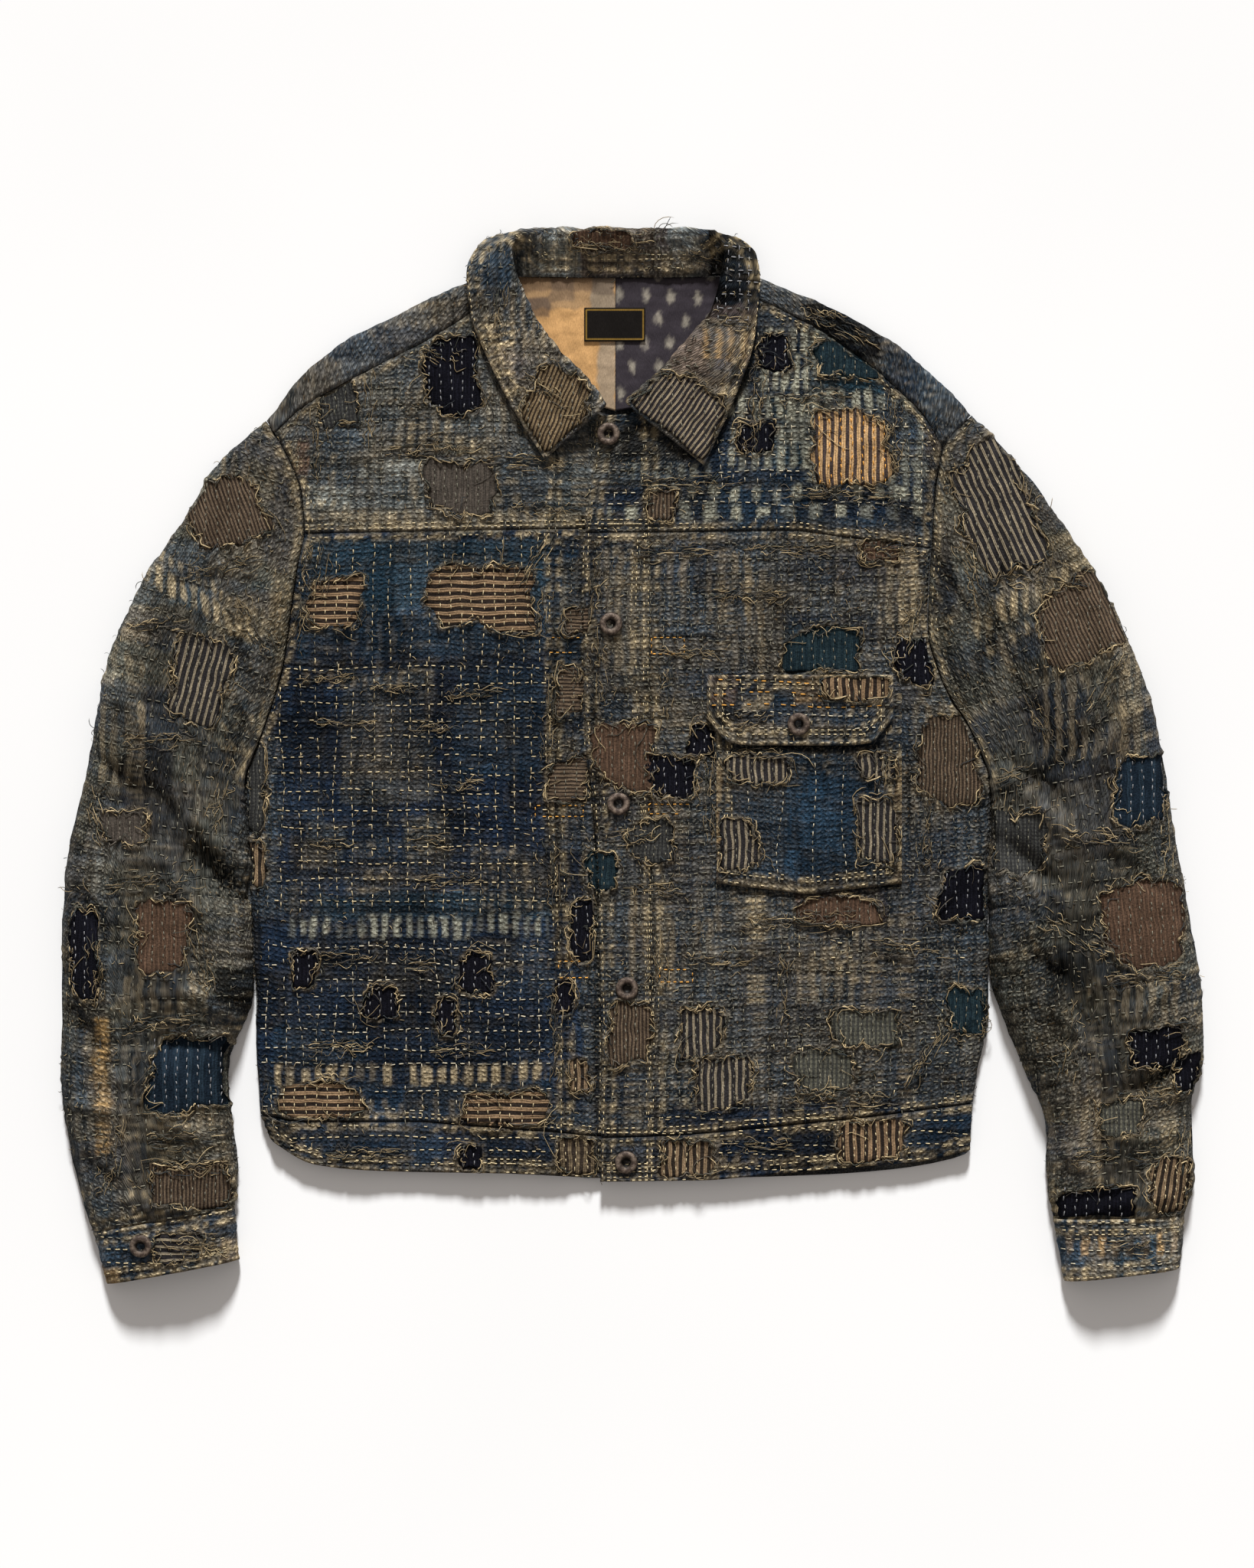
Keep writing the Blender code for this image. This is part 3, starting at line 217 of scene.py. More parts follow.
COLLAR_ROLL = 2.3      # radius of the roll line

# The largest folds: soft ridges (height above 0) and troughs (below 0) along a line
FOLDS = fold_lines(
    front=[(250, -190, 150, -262, 13, 2.4), (248, -25, 224, -150, 11, 1.8),
           (-100, 120, -96, -200, 16, 1.2), (-240, -20, -200, -200, 18, 1.4)],
    sleeve_left=[(-340, -50, -272, -118, 10, -9), (-352, -4, -278, -72, 16, 3),
                 (-395, -70, -330, -160, 16, -4), (-360, -215, -300, -196, 12, -5),
                 (-400, -262, -330, -256, 12, -3), (-300, 190, -290, 60, 14, 2)],
    sleeve_right=[(268, 10, 352, -40, 10, -6), (262, -60, 330, -118, 12, -8),
                  (270, -112, 350, -150, 12, 3), (296, 150, 345, -10, 14, 3),
                  (285, -190, 365, -205, 12, -5), (310, -262, 395, -250, 12, -3)])

# Pocket on the right front, in plan
POCKET_LEFT, POCKET_RIGHT = 61.5, 197.0
POCKET_TOP, POCKET_CORNER, POCKET_POINT = 46.0, -93.0, -100.5
FLAP_LEFT, FLAP_RIGHT = 54.5, 190.5
FLAP_TOP, FLAP_CORNER, FLAP_BOTTOM = 59.5, 27.5, 8.0
FLAP_CUT = 19.0        # how far in each lower corner of the flap is cut
POCKET_PUFF = 1.2

# Neck lining: lower edge of what shows, left half then right half
LINING_LOWER = {
    "left": [Point(-92, 321), Point(-72, 296), Point(-48, 273), Point(-28, 258), Point(-12, 253)],
    "right": [Point(-12, 253), Point(6, 257), Point(30, 275), Point(52, 298), Point(74, 326)],
}
LINING_TOP = 348.4
LINING_HIDDEN = [(0, 1.4, -0.5), (0, 3.2, -1.4)]  # steps on from there, under the collar
LINING_SEAM_X = -12.3
LABEL = (-35.3, 9.5, 304.0, 328.7)  # left, right, bottom, top

BUTTON_RADIUS = 8.3
BUTTONS = {
    "button_1": Point(-17.4, 235.8), "button_2": Point(-15.7, 96.9),
    "button_3": Point(-10.1, -34.7), "button_4": Point(-3.9, -169.7),
    "button_5": Point(-4.5, -296.8), "button_flap": Point(121.5, 23.5),
    "button_cuff": Point(-357.8, -356.5),
}

# Cloth and stitches, mm
BLOCK = 3              # fine cells along each cell of a wall's inner side
VISIBLE_WALL = 2.2     # wall of the dressed cloth
COLLAR_WALL = 1.4
LEAST_WALL = 0.6       # between the two sides of a hidden piece where it lies on the floor
SLOT_OFF, SLOT_HALF = 13, 6  # buttonhole, painted as a slit of shade: its middle from the button, and half its length
FADED = 0.22           # share of stitches whose thread has gone dusty
PATCH_ROWS_APART = 8.0  # between the sewn rows on a patch
# Rags that the worn cloth is made of, in three layers: width, height, seed, strength of shade
RAGS = ((46, 38, 1.0, 0.42), (27, 60, 2.0, 0.34), (70, 22, 3.0, 0.26))
PALE_RAGS = (64, 52, 4.0)  # where the pillows are bleached: width, height, seed
SHADE_RANGE = (0.12, 2.6)  # darkest and lightest that the painted shade and light of the relief make the cloth
# Pale crosses of the slate lining
DOTS_FROM, DOTS_DOWN, DOTS_ACROSS = 250, 17.5, 19.0
DOT_COLOUR = (160, 152, 138)
LABEL_BORDER = (150, 118, 52)
# Stage, m
FLOOR_Z = -0.0002
FLOOR_HALF = 4.0
CAMERA_HEIGHT = 3.0    # above the fronts
SENSOR = 36.0          # of the camera, mm
VIEW_CENTRE = (-0.0039, -0.0204)
VIEW_HEIGHT = 1.1469

# Middle line of each sleeve in plan, shoulder to cuff: stitches and rags follow it
ARM_AXIS = {
    "left": [(-262, 258), (-272, 228), (-286, 180), (-304, 122), (-333, 4), (-348, -100),
             (-352, -197), (-353, -264), (-345, -332), (-334, -392)],
    "right": [(236, 262), (246, 230), (260, 190), (284, 122), (322, 4), (336, -100),
              (348, -197), (356, -264), (357, -332), (358, -392)],
}

# Tones of worn cloth: screen colour, and how strongly pale fibres show on it
Tone = namedtuple("Tone", "colour yarn")
TONES = {
    "grey": Tone((63, 67, 69), 0.8), "olive": Tone((76, 77, 70), 0.8),
    "mist": Tone((60, 72, 83), 0.7), "haze": Tone((130, 134, 129), 0.8),
    "slate": Tone((48, 59, 70), 0.35),
    "indigo": Tone((27, 40, 57), 0.08), "deep": Tone((20, 29, 43), 0.04),
    "blue": Tone((34, 54, 71), 0.08), "teal": Tone((35, 60, 71), 0.1),
    "navy": Tone((19, 20, 28), 0.05), "black": Tone((8, 8, 10), 0.03),
    "brown": Tone((84, 70, 62), 0.45), "dun": Tone((98, 92, 83), 0.7),
    "khaki": Tone((146, 129, 100), 0.7), "cream": Tone((198, 177, 138), 0.6),
    "bleach": Tone((168, 166, 146), 0.15), "moss": Tone((68, 69, 63), 0.8),
    "ochre": Tone((176, 140, 86), 0.3), "orange": Tone((176, 120, 62), 0.3),
    "tan": Tone((208, 162, 108), 0.0),
    "plum": Tone((58, 53, 58), 0.0), "label": Tone((26, 23, 21), 0.0),
    "hidden": Tone((66, 64, 60), 0.4),
}
# What each zone is painted with before anything else
GROUND = {
    "front": "grey", "back": "grey", "under": "grey", "arm_left": "moss", "arm_right": "moss",
    "cuff_left": "slate", "cuff_right": "slate", "collar": "dun", "pocket": "blue",
    "flap": "slate", "tan": "tan", "slate": "plum", "label": "label", "inside": "hidden",
}

# Areas painted over the ground, in order. Amount is how much of the tone covers.
Area = namedtuple("Area", "zone x0 x1 y0 y1 tone amount")
AREAS = by_zone(
    Area,
    # left front: indigo with slate veils, blue along its top, paler side strip
    ("front", (-290, -30, -310, 165, "indigo", 1.0), (-245, -52, 62, 160, "blue", 0.95),
     (-235, -60, 108, 158, "teal", 0.4), (-240, -60, 40, 75, "deep", 0.8),
     (-246, -62, -66, 50, "deep", 0.6), (-236, -200, 44, 86, "indigo", 0.7),
     (-212, -146, -33, 62, "olive", 0.34), (-131, -65, -15, 62, "blue", 0.55),
     (-240, -212, -82, -50, "olive", 0.6), (-168, -134, -76, -44, "olive", 0.5),
     (-60, -30, 62, 76, "indigo", 0.7), (-285, -262, -110, 20, "slate", 0.9),
     (-285, -258, -66, 14, "mist", 0.6), (-210, -140, -100, -60, "mist", 0.25),
     (-120, -62, -112, -66, "slate", 0.5), (-160, -110, -108, -72, "deep", 0.55),
     (-235, -60, -118, -100, "teal", 0.45), (-276, -245, -115, -94, "slate", 0.8),
     (-268, -60, -225, -134, "deep", 0.35), (-190, -62, -176, -136, "slate", 0.3),
     (-262, -195, -226, -196, "blue", 0.55), (-268, -60, -270, -239, "blue", 0.55),
     (-60, -30, -300, 160, "slate", 0.55), (-60, -27, 30, 150, "blue", 0.9),
     (-51, -33, 96, 140, "olive", 0.7), (-62, -27, -60, 20, "grey", 0.6),
     (-58, -24, -140, -70, "deep", 0.9), (-58, -20, -260, -140, "indigo", 0.9)),
    # left yoke: mist and olive rags, bleached along the yoke seam
    ("front", (-275, -20, 165, 345, "haze", 0.95), (-256, -198, 196, 262, "slate", 0.75),
     (-205, -150, 215, 300, "olive", 0.6), (-110, -60, 190, 235, "haze", 0.7),
     (-100, -52, 172, 214, "blue", 0.45), (-56, -32, 168, 212, "teal", 0.6),
     (-252, -30, 166, 178, "cream", 0.42), (-190, -88, 219, 236, "khaki", 0.55),
     (-248, -236, 206, 232, "orange", 0.55)),
    # right yoke: indigo and teal rags with pale blocks, ochre near the patch
    ("front", (-20, 240, 165, 345, "blue", 0.85), (60, 130, 204, 312, "indigo", 0.6),
     (128, 194, 262, 312, "teal", 0.85), (186, 226, 178, 282, "slate", 0.85),
     (100, 132, 214, 262, "teal", 0.6), (112, 128, 226, 262, "bleach", 0.5),
     (70, 84, 262, 290, "bleach", 0.4), (128, 140, 276, 306, "bleach", 0.35),
     (30, 84, 200, 240, "indigo", 0.6), (-20, 40, 198, 232, "olive", 0.4),
     (-20, 212, 173, 198, "indigo", 0.9), (60, 140, 174, 198, "blue", 0.7),
     (200, 222, 262, 296, "haze", 0.6), (214, 228, 206, 240, "brown", 0.6)),
    # right front: grey rags, dark and teal ones beside the placket and the pocket
    ("front", (-36, 250, -278, 164, "grey", 1.0), (14, 96, 60, 160, "mist", 0.5),
     (96, 212, 80, 160, "dun", 0.3), (150, 212, 128, 160, "brown", 0.35),
     (112, 166, 60, 96, "teal", 0.75), (-30, 12, 60, 150, "haze", 0.2),
     (-30, 40, 20, 62, "olive", 0.5),
     (-28, 18, -60, 26, "brown", 0.3), (-14, 22, -86, -52, "mist", 0.5),
     (-18, 10, -112, -84, "blue", 0.5), (14, 58, -140, -60, "mist", 0.45),
     (60, 110, -180, -112, "dun", 0.35), (118, 186, -122, -96, "brown", 0.85),
     (108, 232, -178, -122, "dun", 0.4), (186, 262, -60, -10, "slate", 0.4),
     (196, 262, -176, -120, "mist", 0.5), (226, 262, -206, -166, "teal", 0.6),
     (100, 226, -262, -190, "grey", 0.4), (176, 262, -262, -190, "haze", 0.3),
     # the black area under the right collar tip is painted shadow
     (-8, 54, 219, 244, "black", 0.85)),
    # waistband
    ("front", (-290, -22, -316, -268, "indigo", 0.8), (-240, -140, -308, -270, "blue", 0.4),
     (-270, -24, -316, -300, "khaki", 0.4), (-24, 14, -316, -276, "indigo", 0.7),
     (12, 262, -316, -254, "indigo", 1.0), (60, 150, -312, -268, "deep", 0.5),
     (54, 64, -310, -274, "khaki", 0.7), (200, 262, -300, -254, "blue", 0.5)),
    # left sleeve
    ("arm_left", (-330, -262, 150, 262, "olive", 0.6), (-264, -242, 60, 262, "khaki", 0.25),
     (-366, -300, 96, 160, "slate", 0.7), (-345, -262, 104, 128, "teal", 0.35),
     (-372, -320, 84, 108, "khaki", 0.4), (-300, -254, 86, 120, "ochre", 0.12),
     (-398, -340, 0, 70, "olive", 0.45), (-296, -262, 30, 84, "blue", 0.45),
     (-392, -352, -78, -28, "slate", 0.8), (-372, -334, -58, 6, "navy", 0.85),
     (-334, -284, -110, -26, "grey", 0.5), (-298, -268, -46, 18, "deep", 0.55),
     (-392, -345, -108, -62, "haze", 0.5), (-376, -312, -120, -84, "olive", 0.6),
     (-414, -398, -190, -60, "navy", 0.6), (-408, -380, -208, -118, "navy", 0.7),
     # the black area from -304 to -272 is painted shade, where a hole opens into the sleeve
     (-362, -304, -204, -150, "olive", 0.45), (-304, -272, -184, -154, "black", 0.85),
     (-420, -396, -290, -196, "blue", 0.7), (-398, -374, -300, -200, "dun", 0.6),
     (-391, -380, -292, -190, "ochre", 0.45), (-300, -284, -250, -196, "olive", 0.5),
     (-418, -372, -346, -292, "blue", 0.65), (-346, -290, -296, -262, "khaki", 0.35),
     (-374, -340, -262, -196, "haze", 0.5), (-376, -330, -340, -292, "dun", 0.6)),
    # right sleeve
    ("arm_right", (214, 262, 110, 262, "olive", 0.5), (218, 236, 102, 160, "navy", 0.85),
     (234, 300, 60, 136, "slate", 0.4), (288, 330, 110, 160, "khaki", 0.4),
     (296, 366, -66, 50, "deep", 0.8), (262, 300, -10, 60, "dun", 0.35),
     (330, 366, 20, 66, "olive", 0.5), (262, 344, -100, -20, "grey", 0.6),
     (300, 336, -182, -150, "black", 0.75), (386, 412, -118, -60, "navy", 0.4),
     (366, 412, -196, -160, "slate", 0.6), (318, 372, -266, -196, "dun", 0.5),
     (396, 418, -300, -240, "teal", 0.35), (312, 352, -300, -262, "dun", 0.45),
     (350, 404, -340, -280, "haze", 0.6)),
    # cuffs
    ("cuff_left", (-400, -352, -400, -340, "blue", 0.7), (-330, -284, -400, -340, "mist", 0.6),
     (-396, -374, -392, -372, "ochre", 0.6), (-300, -284, -372, -352, "ochre", 0.5)),
    ("cuff_right", (306, 348, -400, -330, "blue", 0.6), (330, 352, -400, -356, "khaki", 0.4),
     (348, 384, -400, -330, "teal", 0.4), (384, 410, -400, -330, "haze", 0.5)),
    # collar; the haze on its back stand is partly painted light where the roll shades it, and the
    # black strip at its left back is painted shade in a fold
    ("collar", (-130, -60, 300, 390, "grey", 0.7), (-112, -86, 336, 384, "blue", 0.85),
     (-87, -38, 346, 414, "haze", 0.9), (-38, 28, 346, 414, "brown", 0.9),
     (-30, 20, 376, 414, "dun", 0.5), (28, 50, 346, 414, "haze", 0.8),
     (50, 74, 346, 414, "mist", 0.9),
     (-87, -80, 346, 400, "black", 0.8), (-78, -64, 384, 410, "cream", 0.4),
     (56, 98, 318, 388, "black", 1.0), (52, 98, 311, 319, "cream", 0.6),
     (60, 96, 264, 311, "dun", 0.5),
     (-106, -80, 270, 300, "brown", 0.5), (26, 96, 268, 330, "brown", 0.7),
     (60, 96, 290, 318, "khaki", 0.35), (-92, -66, 256, 276, "khaki", 0.5)),
    # pocket and flap
    ("pocket", (60, 82, -105, 50, "slate", 0.6), (176, 200, -105, 50, "slate", 0.6),
     (60, 200, -14, 50, "slate", 0.6), (76, 112, -84, -20, "grey", 0.4),
     (60, 200, -100, -82, "slate", 0.5), (96, 120, -20, 4, "slate", 0.7),
     (60, 66, -96, 0, "ochre", 0.6), (190, 200, -96, 0, "ochre", 0.5),
     (60, 200, -106, -92, "khaki", 0.5)),
    ("flap", (52, 192, 44, 62, "dun", 0.6), (56, 84, 8, 44, "deep", 0.6),
     (84, 120, 12, 58, "blue", 0.6), (112, 136, 10, 44, "mist", 0.5),
     (96, 136, 30, 46, "blue", 0.6),
     (120, 160, 40, 60, "ochre", 0.6), (56, 76, 40, 60, "orange", 0.4),
     (136, 168, 10, 40, "slate", 0.7), (60, 186, 6, 18, "olive", 0.5),
     (160, 192, 22, 44, "mist", 0.5),
     (58, 190, 49, 54, "deep", 0.85), (66, 100, 24, 34, "black", 0.7),
     (58, 110, 12, 22, "khaki", 0.6),
     (128, 156, 12, 22, "khaki", 0.5), (84, 100, 34, 44, "cream", 0.6)),
    # shoulder strips
    ("back", (-240, -110, 240, 380, "dun", 0.5), (70, 130, 300, 380, "dun", 0.4),
     (126, 182, 292, 334, "black", 0.95), (182, 250, 230, 300, "mist", 0.6)),
    # lining; the brown along its top is partly its own marks and partly painted shade under the
    # collar
    ("tan", (-100, -12, 327, 356, "dun", 0.5), (-62, -44, 332, 350, "slate", 0.35),
     (-30, -12, 318, 356, "haze", 0.45), (-26, -12, 250, 304, "haze", 0.6),
     (-100, -12, 340, 356, "brown", 0.5), (-90, -62, 322, 336, "indigo", 0.6)),
)

# Bands of bleached bars. Each bar crosses the band; pitch and width are along it.
# A band on the upper part of a sleeve leans with it: rise of the band for each step in x.
LEAN = {"arm_left": (-308, -0.6), "arm_right": (295, 0.58)}
LEAN_FROM = 60         # the upper part is above this Y
Bars = namedtuple("Bars", "zone x0 x1 y0 y1 pitch width tone amount")
BARS = by_zone(
    Bars,
    ("front", (-252, -62, -131, -117, 8.6, 4.2, "bleach", 0.62),
     (-268, -64, -239, -225, 10.0, 5.6, "cream", 0.59),
     (-245, -165, 52, 62, 8.5, 3.6, "khaki", 0.28),
     (-222, -60, 168, 182, 11, 5.0, "cream", 0.42), (-18, 212, 174, 184, 19, 8.5, "bleach", 0.75),
     (12, 212, 188, 198, 15, 6.0, "bleach", 0.7), (66, 126, 246, 264, 9, 5.4, "bleach", 0.75),
     (66, 132, 212, 226, 9, 5.4, "bleach", 0.7), (128, 216, 252, 266, 9.6, 5.4, "bleach", 0.75),
     (186, 216, 186, 250, 10, 5.0, "bleach", 0.35), (96, 150, 292, 312, 9, 4.8, "bleach", 0.75),
     (-240, -190, 270, 300, 9.5, 5.0, "khaki", 0.48),
     (-110, -70, 236, 262, 9.5, 5.0, "khaki", 0.48),
     (24, 92, 96, 150, 9.4, 4.8, "khaki", 0.48), (180, 210, 96, 146, 9.4, 5.4, "cream", 0.47),
     (70, 100, 60, 140, 9.4, 4.8, "khaki", 0.4), (-24, 12, 64, 150, 9.4, 5.0, "khaki", 0.44),
     (16, 60, -172, -118, 9.4, 5.0, "khaki", 0.44), (110, 178, -180, -140, 9.4, 5.0, "khaki", 0.4),
     (100, 170, -276, -244, 9.4, 5.0, "khaki", 0.4), (-4, 12, -170, -96, 9.4, 5.0, "khaki", 0.48),
     (200, 250, -40, 40, 9.4, 4.6, "khaki", 0.32), (72, 126, 228, 240, 9, 5.0, "bleach", 0.55),
     (100, 128, 270, 290, 8, 4.4, "bleach", 0.6), (0, 60, 205, 216, 9, 4.6, "bleach", 0.45),
     (-190, -100, 222, 234, 9, 5.0, "cream", 0.47), (20, 110, 120, 128, 9, 4.0, "khaki", 0.24),
     (20, 96, -28, -20, 9, 4.0, "khaki", 0.28), (60, 118, -128, -112, 9, 4.8, "khaki", 0.36),
     (-236, -60, -262, -252, 12, 4.2, "khaki", 0.32), (12, 262, -300, -292, 11, 5.4, "khaki", 0.36),
     (84, 97, -183, -102, -4.6, 2.6, "cream", 0.55),
     (194, 207, -258, -102, -4.6, 2.6, "khaki", 0.48),
     (122, 134, -183, -132, -4.6, 2.4, "khaki", 0.4),
     (170, 184, -250, -140, -4.6, 2.4, "khaki", 0.32),
     (88, 97, -263, -188, -4.6, 2.4, "khaki", 0.4), (18, 30, -180, -90, -4.6, 2.4, "khaki", 0.4),
     (62, 74, 76, 150, -4.6, 2.4, "khaki", 0.36), (196, 208, 90, 150, -4.6, 2.6, "cream", 0.42),
     (30, 40, -90, 60, -4.6, 2.4, "khaki", 0.32), (-6, 8, -280, -170, -4.6, 2.6, "khaki", 0.4),
     (-254, -244, 190, 300, -4.6, 2.6, "khaki", 0.4), (-44, -32, 172, 260, -4.6, 2.6, "khaki", 0.4),
     (128, 140, 200, 270, -4.6, 2.6, "bleach", 0.5), (92, 130, 268, 284, 8, 4.4, "bleach", 0.6),
     (130, 216, 205, 214, 9, 4.8, "bleach", 0.45), (-246, -150, 190, 204, 10, 5.0, "khaki", 0.48),
     (-210, -130, 236, 246, 9, 5.0, "cream", 0.38)),
    ("arm_left", (-300, -262, 160, 230, 9.4, 5.0, "khaki", 0.4),
     (-392, -350, -20, 40, 9.4, 4.8, "khaki", 0.4),
     (-370, -310, -190, -160, 9.4, 5.0, "khaki", 0.4),
     (-360, -300, -272, -258, 9, 5.0, "khaki", 0.36),
     (-374, -330, -224, -206, 9, 4.8, "khaki", 0.32),
     (-391, -380, -292, -190, -4.8, 2.6, "ochre", 0.5),
     (-310, -298, 80, 200, -4.8, 2.6, "khaki", 0.36),
     (-368, -356, -130, 60, -4.8, 2.6, "khaki", 0.32),
     (-344, -332, -300, -180, -4.8, 2.6, "khaki", 0.36),
     (-356, -258, 100, 116, 8.0, 4.4, "cream", 0.62),
     (-352, -270, 120, 128, 6.0, 3.0, "cream", 0.4)),
    ("arm_right", (236, 262, 190, 240, 9.4, 5.0, "khaki", 0.4),
     (300, 370, 0, 60, 9.4, 4.8, "khaki", 0.36), (330, 400, -190, -160, 9.4, 5.0, "khaki", 0.4),
     (316, 350, -290, -250, 9.4, 5.0, "khaki", 0.4), (330, 400, -250, -238, 9, 4.8, "khaki", 0.32),
     (268, 280, 60, 220, -4.8, 2.6, "khaki", 0.4), (350, 362, -90, 40, -4.8, 2.6, "khaki", 0.36),
     (330, 342, -330, -190, -4.8, 2.6, "khaki", 0.4),
     (384, 396, -300, -250, -4.8, 2.6, "cream", 0.4),
     (250, 342, 111, 129, 9.0, 5.0, "cream", 0.65), (256, 330, 92, 100, 9.0, 4.0, "cream", 0.45)),
    ("cuff_left", (-330, -286, -366, -352, 9, 5.0, "khaki", 0.48)),
    ("cuff_right", (310, 400, -364, -350, 11, 5.0, "ochre", 0.6),
     (310, 400, -386, -374, 11, 5.0, "cream", 0.5)),
    ("collar", (52, 92, 288, 312, 9, 4.0, "ochre", 0.5),
     (-112, -86, 262, 322, -7.0, 3.2, "cream", 0.5),
     (-96, -60, 300, 340, 8.0, 3.2, "khaki", 0.4)),
)

# Rows and columns of running stitches. Apart is the distance between lines; nothing if 0.
Field = namedtuple("Field", "zone x0 x1 y0 y1 columns_apart rows_apart thread share")
FIELDS = by_zone(
    Field,
    ("front", (-236, -62, 70, 160, 13.5, 0, "straw", 0.92),
     (-262, -62, -112, 70, 13.2, 13.0, "straw", 0.86),
     (-272, -62, -228, -134, 12.4, 12.4, "cream", 0.9),
     (-270, -60, -268, -240, 12.4, 13, "cream", 0.6),
     (-276, -262, -120, 40, 6, 0, "dust", 0.5), (-56, -34, -270, 160, 9, 16, "dust", 0.5),
     (-262, -30, 170, 330, 12.5, 13.5, "dust", 0.6), (60, 216, 200, 312, 9.2, 11, "cream", 0.75),
     (-20, 212, 176, 196, 15, 8.5, "cream", 0.8), (-30, 60, 200, 250, 11, 12, "dust", 0.5),
     (-28, 252, -262, 160, 9.6, 11.5, "dust", 0.55),
     (100, 240, -262, -120, 9.6, 11.5, "straw", 0.14),
     (-262, -22, -300, -276, 0, 9.0, "straw", 0.9), (14, 246, -302, -262, 0, 9.0, "straw", 0.9)),
    ("arm_left", (-74, 74, 0, 640, 11.5, 12.5, "dust", 0.62)),
    ("arm_right", (-74, 74, 0, 640, 11.5, 12.5, "dust", 0.62)),
    ("cuff_left", (-390, -290, -376, -348, 0, 9.5, "straw", 0.85)),
    ("cuff_right", (312, 402, -376, -338, 0, 9.5, "cream", 0.85)),
    ("collar", (-118, 58, 214, 384, 9.5, 10.5, "dust", 0.55),
     (60, 92, 316, 376, 7.5, 9.0, "white", 0.95)),
    ("pocket", (74, 186, -90, 8, 24, 0, "cream", 0.97), (62, 72, -94, 44, 0, 9, "dust", 0.6),
     (188, 196, -94, 44, 0, 9, "dust", 0.6)),
    ("flap", (58, 188, 36, 58, 0, 9.0, "ochre", 0.9), (60, 188, 12, 34, 0, 10.0, "cream", 0.9),
     (60, 188, 12, 56, 13, 0, "straw", 0.85)),
)

# Screen colours of the threads
THREADS = {"straw": (204, 187, 150), "cream": (198, 188, 164), "dust": (124, 120, 106),
           "ochre": (226, 166, 82), "white": (146, 146, 148)}
THREAD_NUMBER = {name: number for number, name in enumerate(THREADS)}

# Cloths of the patches: two colours, stripe period and dark share, cross stripes
Cloth = namedtuple("Cloth", "light dark period share cross slot thread")
CLOTHS = {
    "navy": Cloth((25, 25, 33), (17, 17, 23), 3.0, 0.5, 0.4, "navy", "white"),
    "brown": Cloth((106, 83, 67), (76, 60, 49), 3.2, 0.5, 0.4, "brown", "dust"),
    "tan stripe": Cloth((147, 121, 93), (28, 25, 26), 5.6, 0.52, 0.0, "stripe", "straw"),
    "pale stripe": Cloth((204, 166, 119), (52, 47, 52), 5.6, 0.46, 0.0, "stripe", "ochre"),
    "dim stripe": Cloth((140, 118, 92), (32, 28, 27), 5.2, 0.5, 0.0, "stripe", "straw"),
    "bold stripe": Cloth((158, 145, 122), (24, 25, 33), 5.0, 0.66, 0.0, "stripe", "dust"),
    "fine stripe": Cloth((168, 152, 126), (24, 25, 35), 3.6, 0.6, 0.0, "stripe", "dust"),
    "rib": Cloth((150, 129, 98), (46, 37, 32), 2.9, 0.46, 0.0, "brown", "dust"),
    "cord": Cloth((116, 99, 81), (50, 42, 36), 2.7, 0.5, 0.0, "brown", "dust"),
    "blue": Cloth((38, 51, 62), (25, 35, 45), 9.0, 0.6, 0.3, "blue", "white"),
    "teal": Cloth((44, 59, 64), (27, 41, 48), 4.4, 0.5, 0.8, "blue", "dust"),
    "grey check": Cloth((84, 84, 80), (48, 48, 48), 2.8, 0.5, 1.0, "navy", "dust"),
    "light check": Cloth((112, 110, 96), (62, 62, 58), 3.4, 0.5, 1.0, "navy", "dust"),
    "plaid": Cloth((128, 112, 88), (52, 44, 38), 5.6, 0.5, 0.9, "brown", "straw"),
    "plum": Cloth((92, 84, 76), (72, 66, 60), 4.0, 0.5, 0.5, "brown", "dust"),
}
Patch = namedtuple("Patch", "zone x y wide high turn cloth")
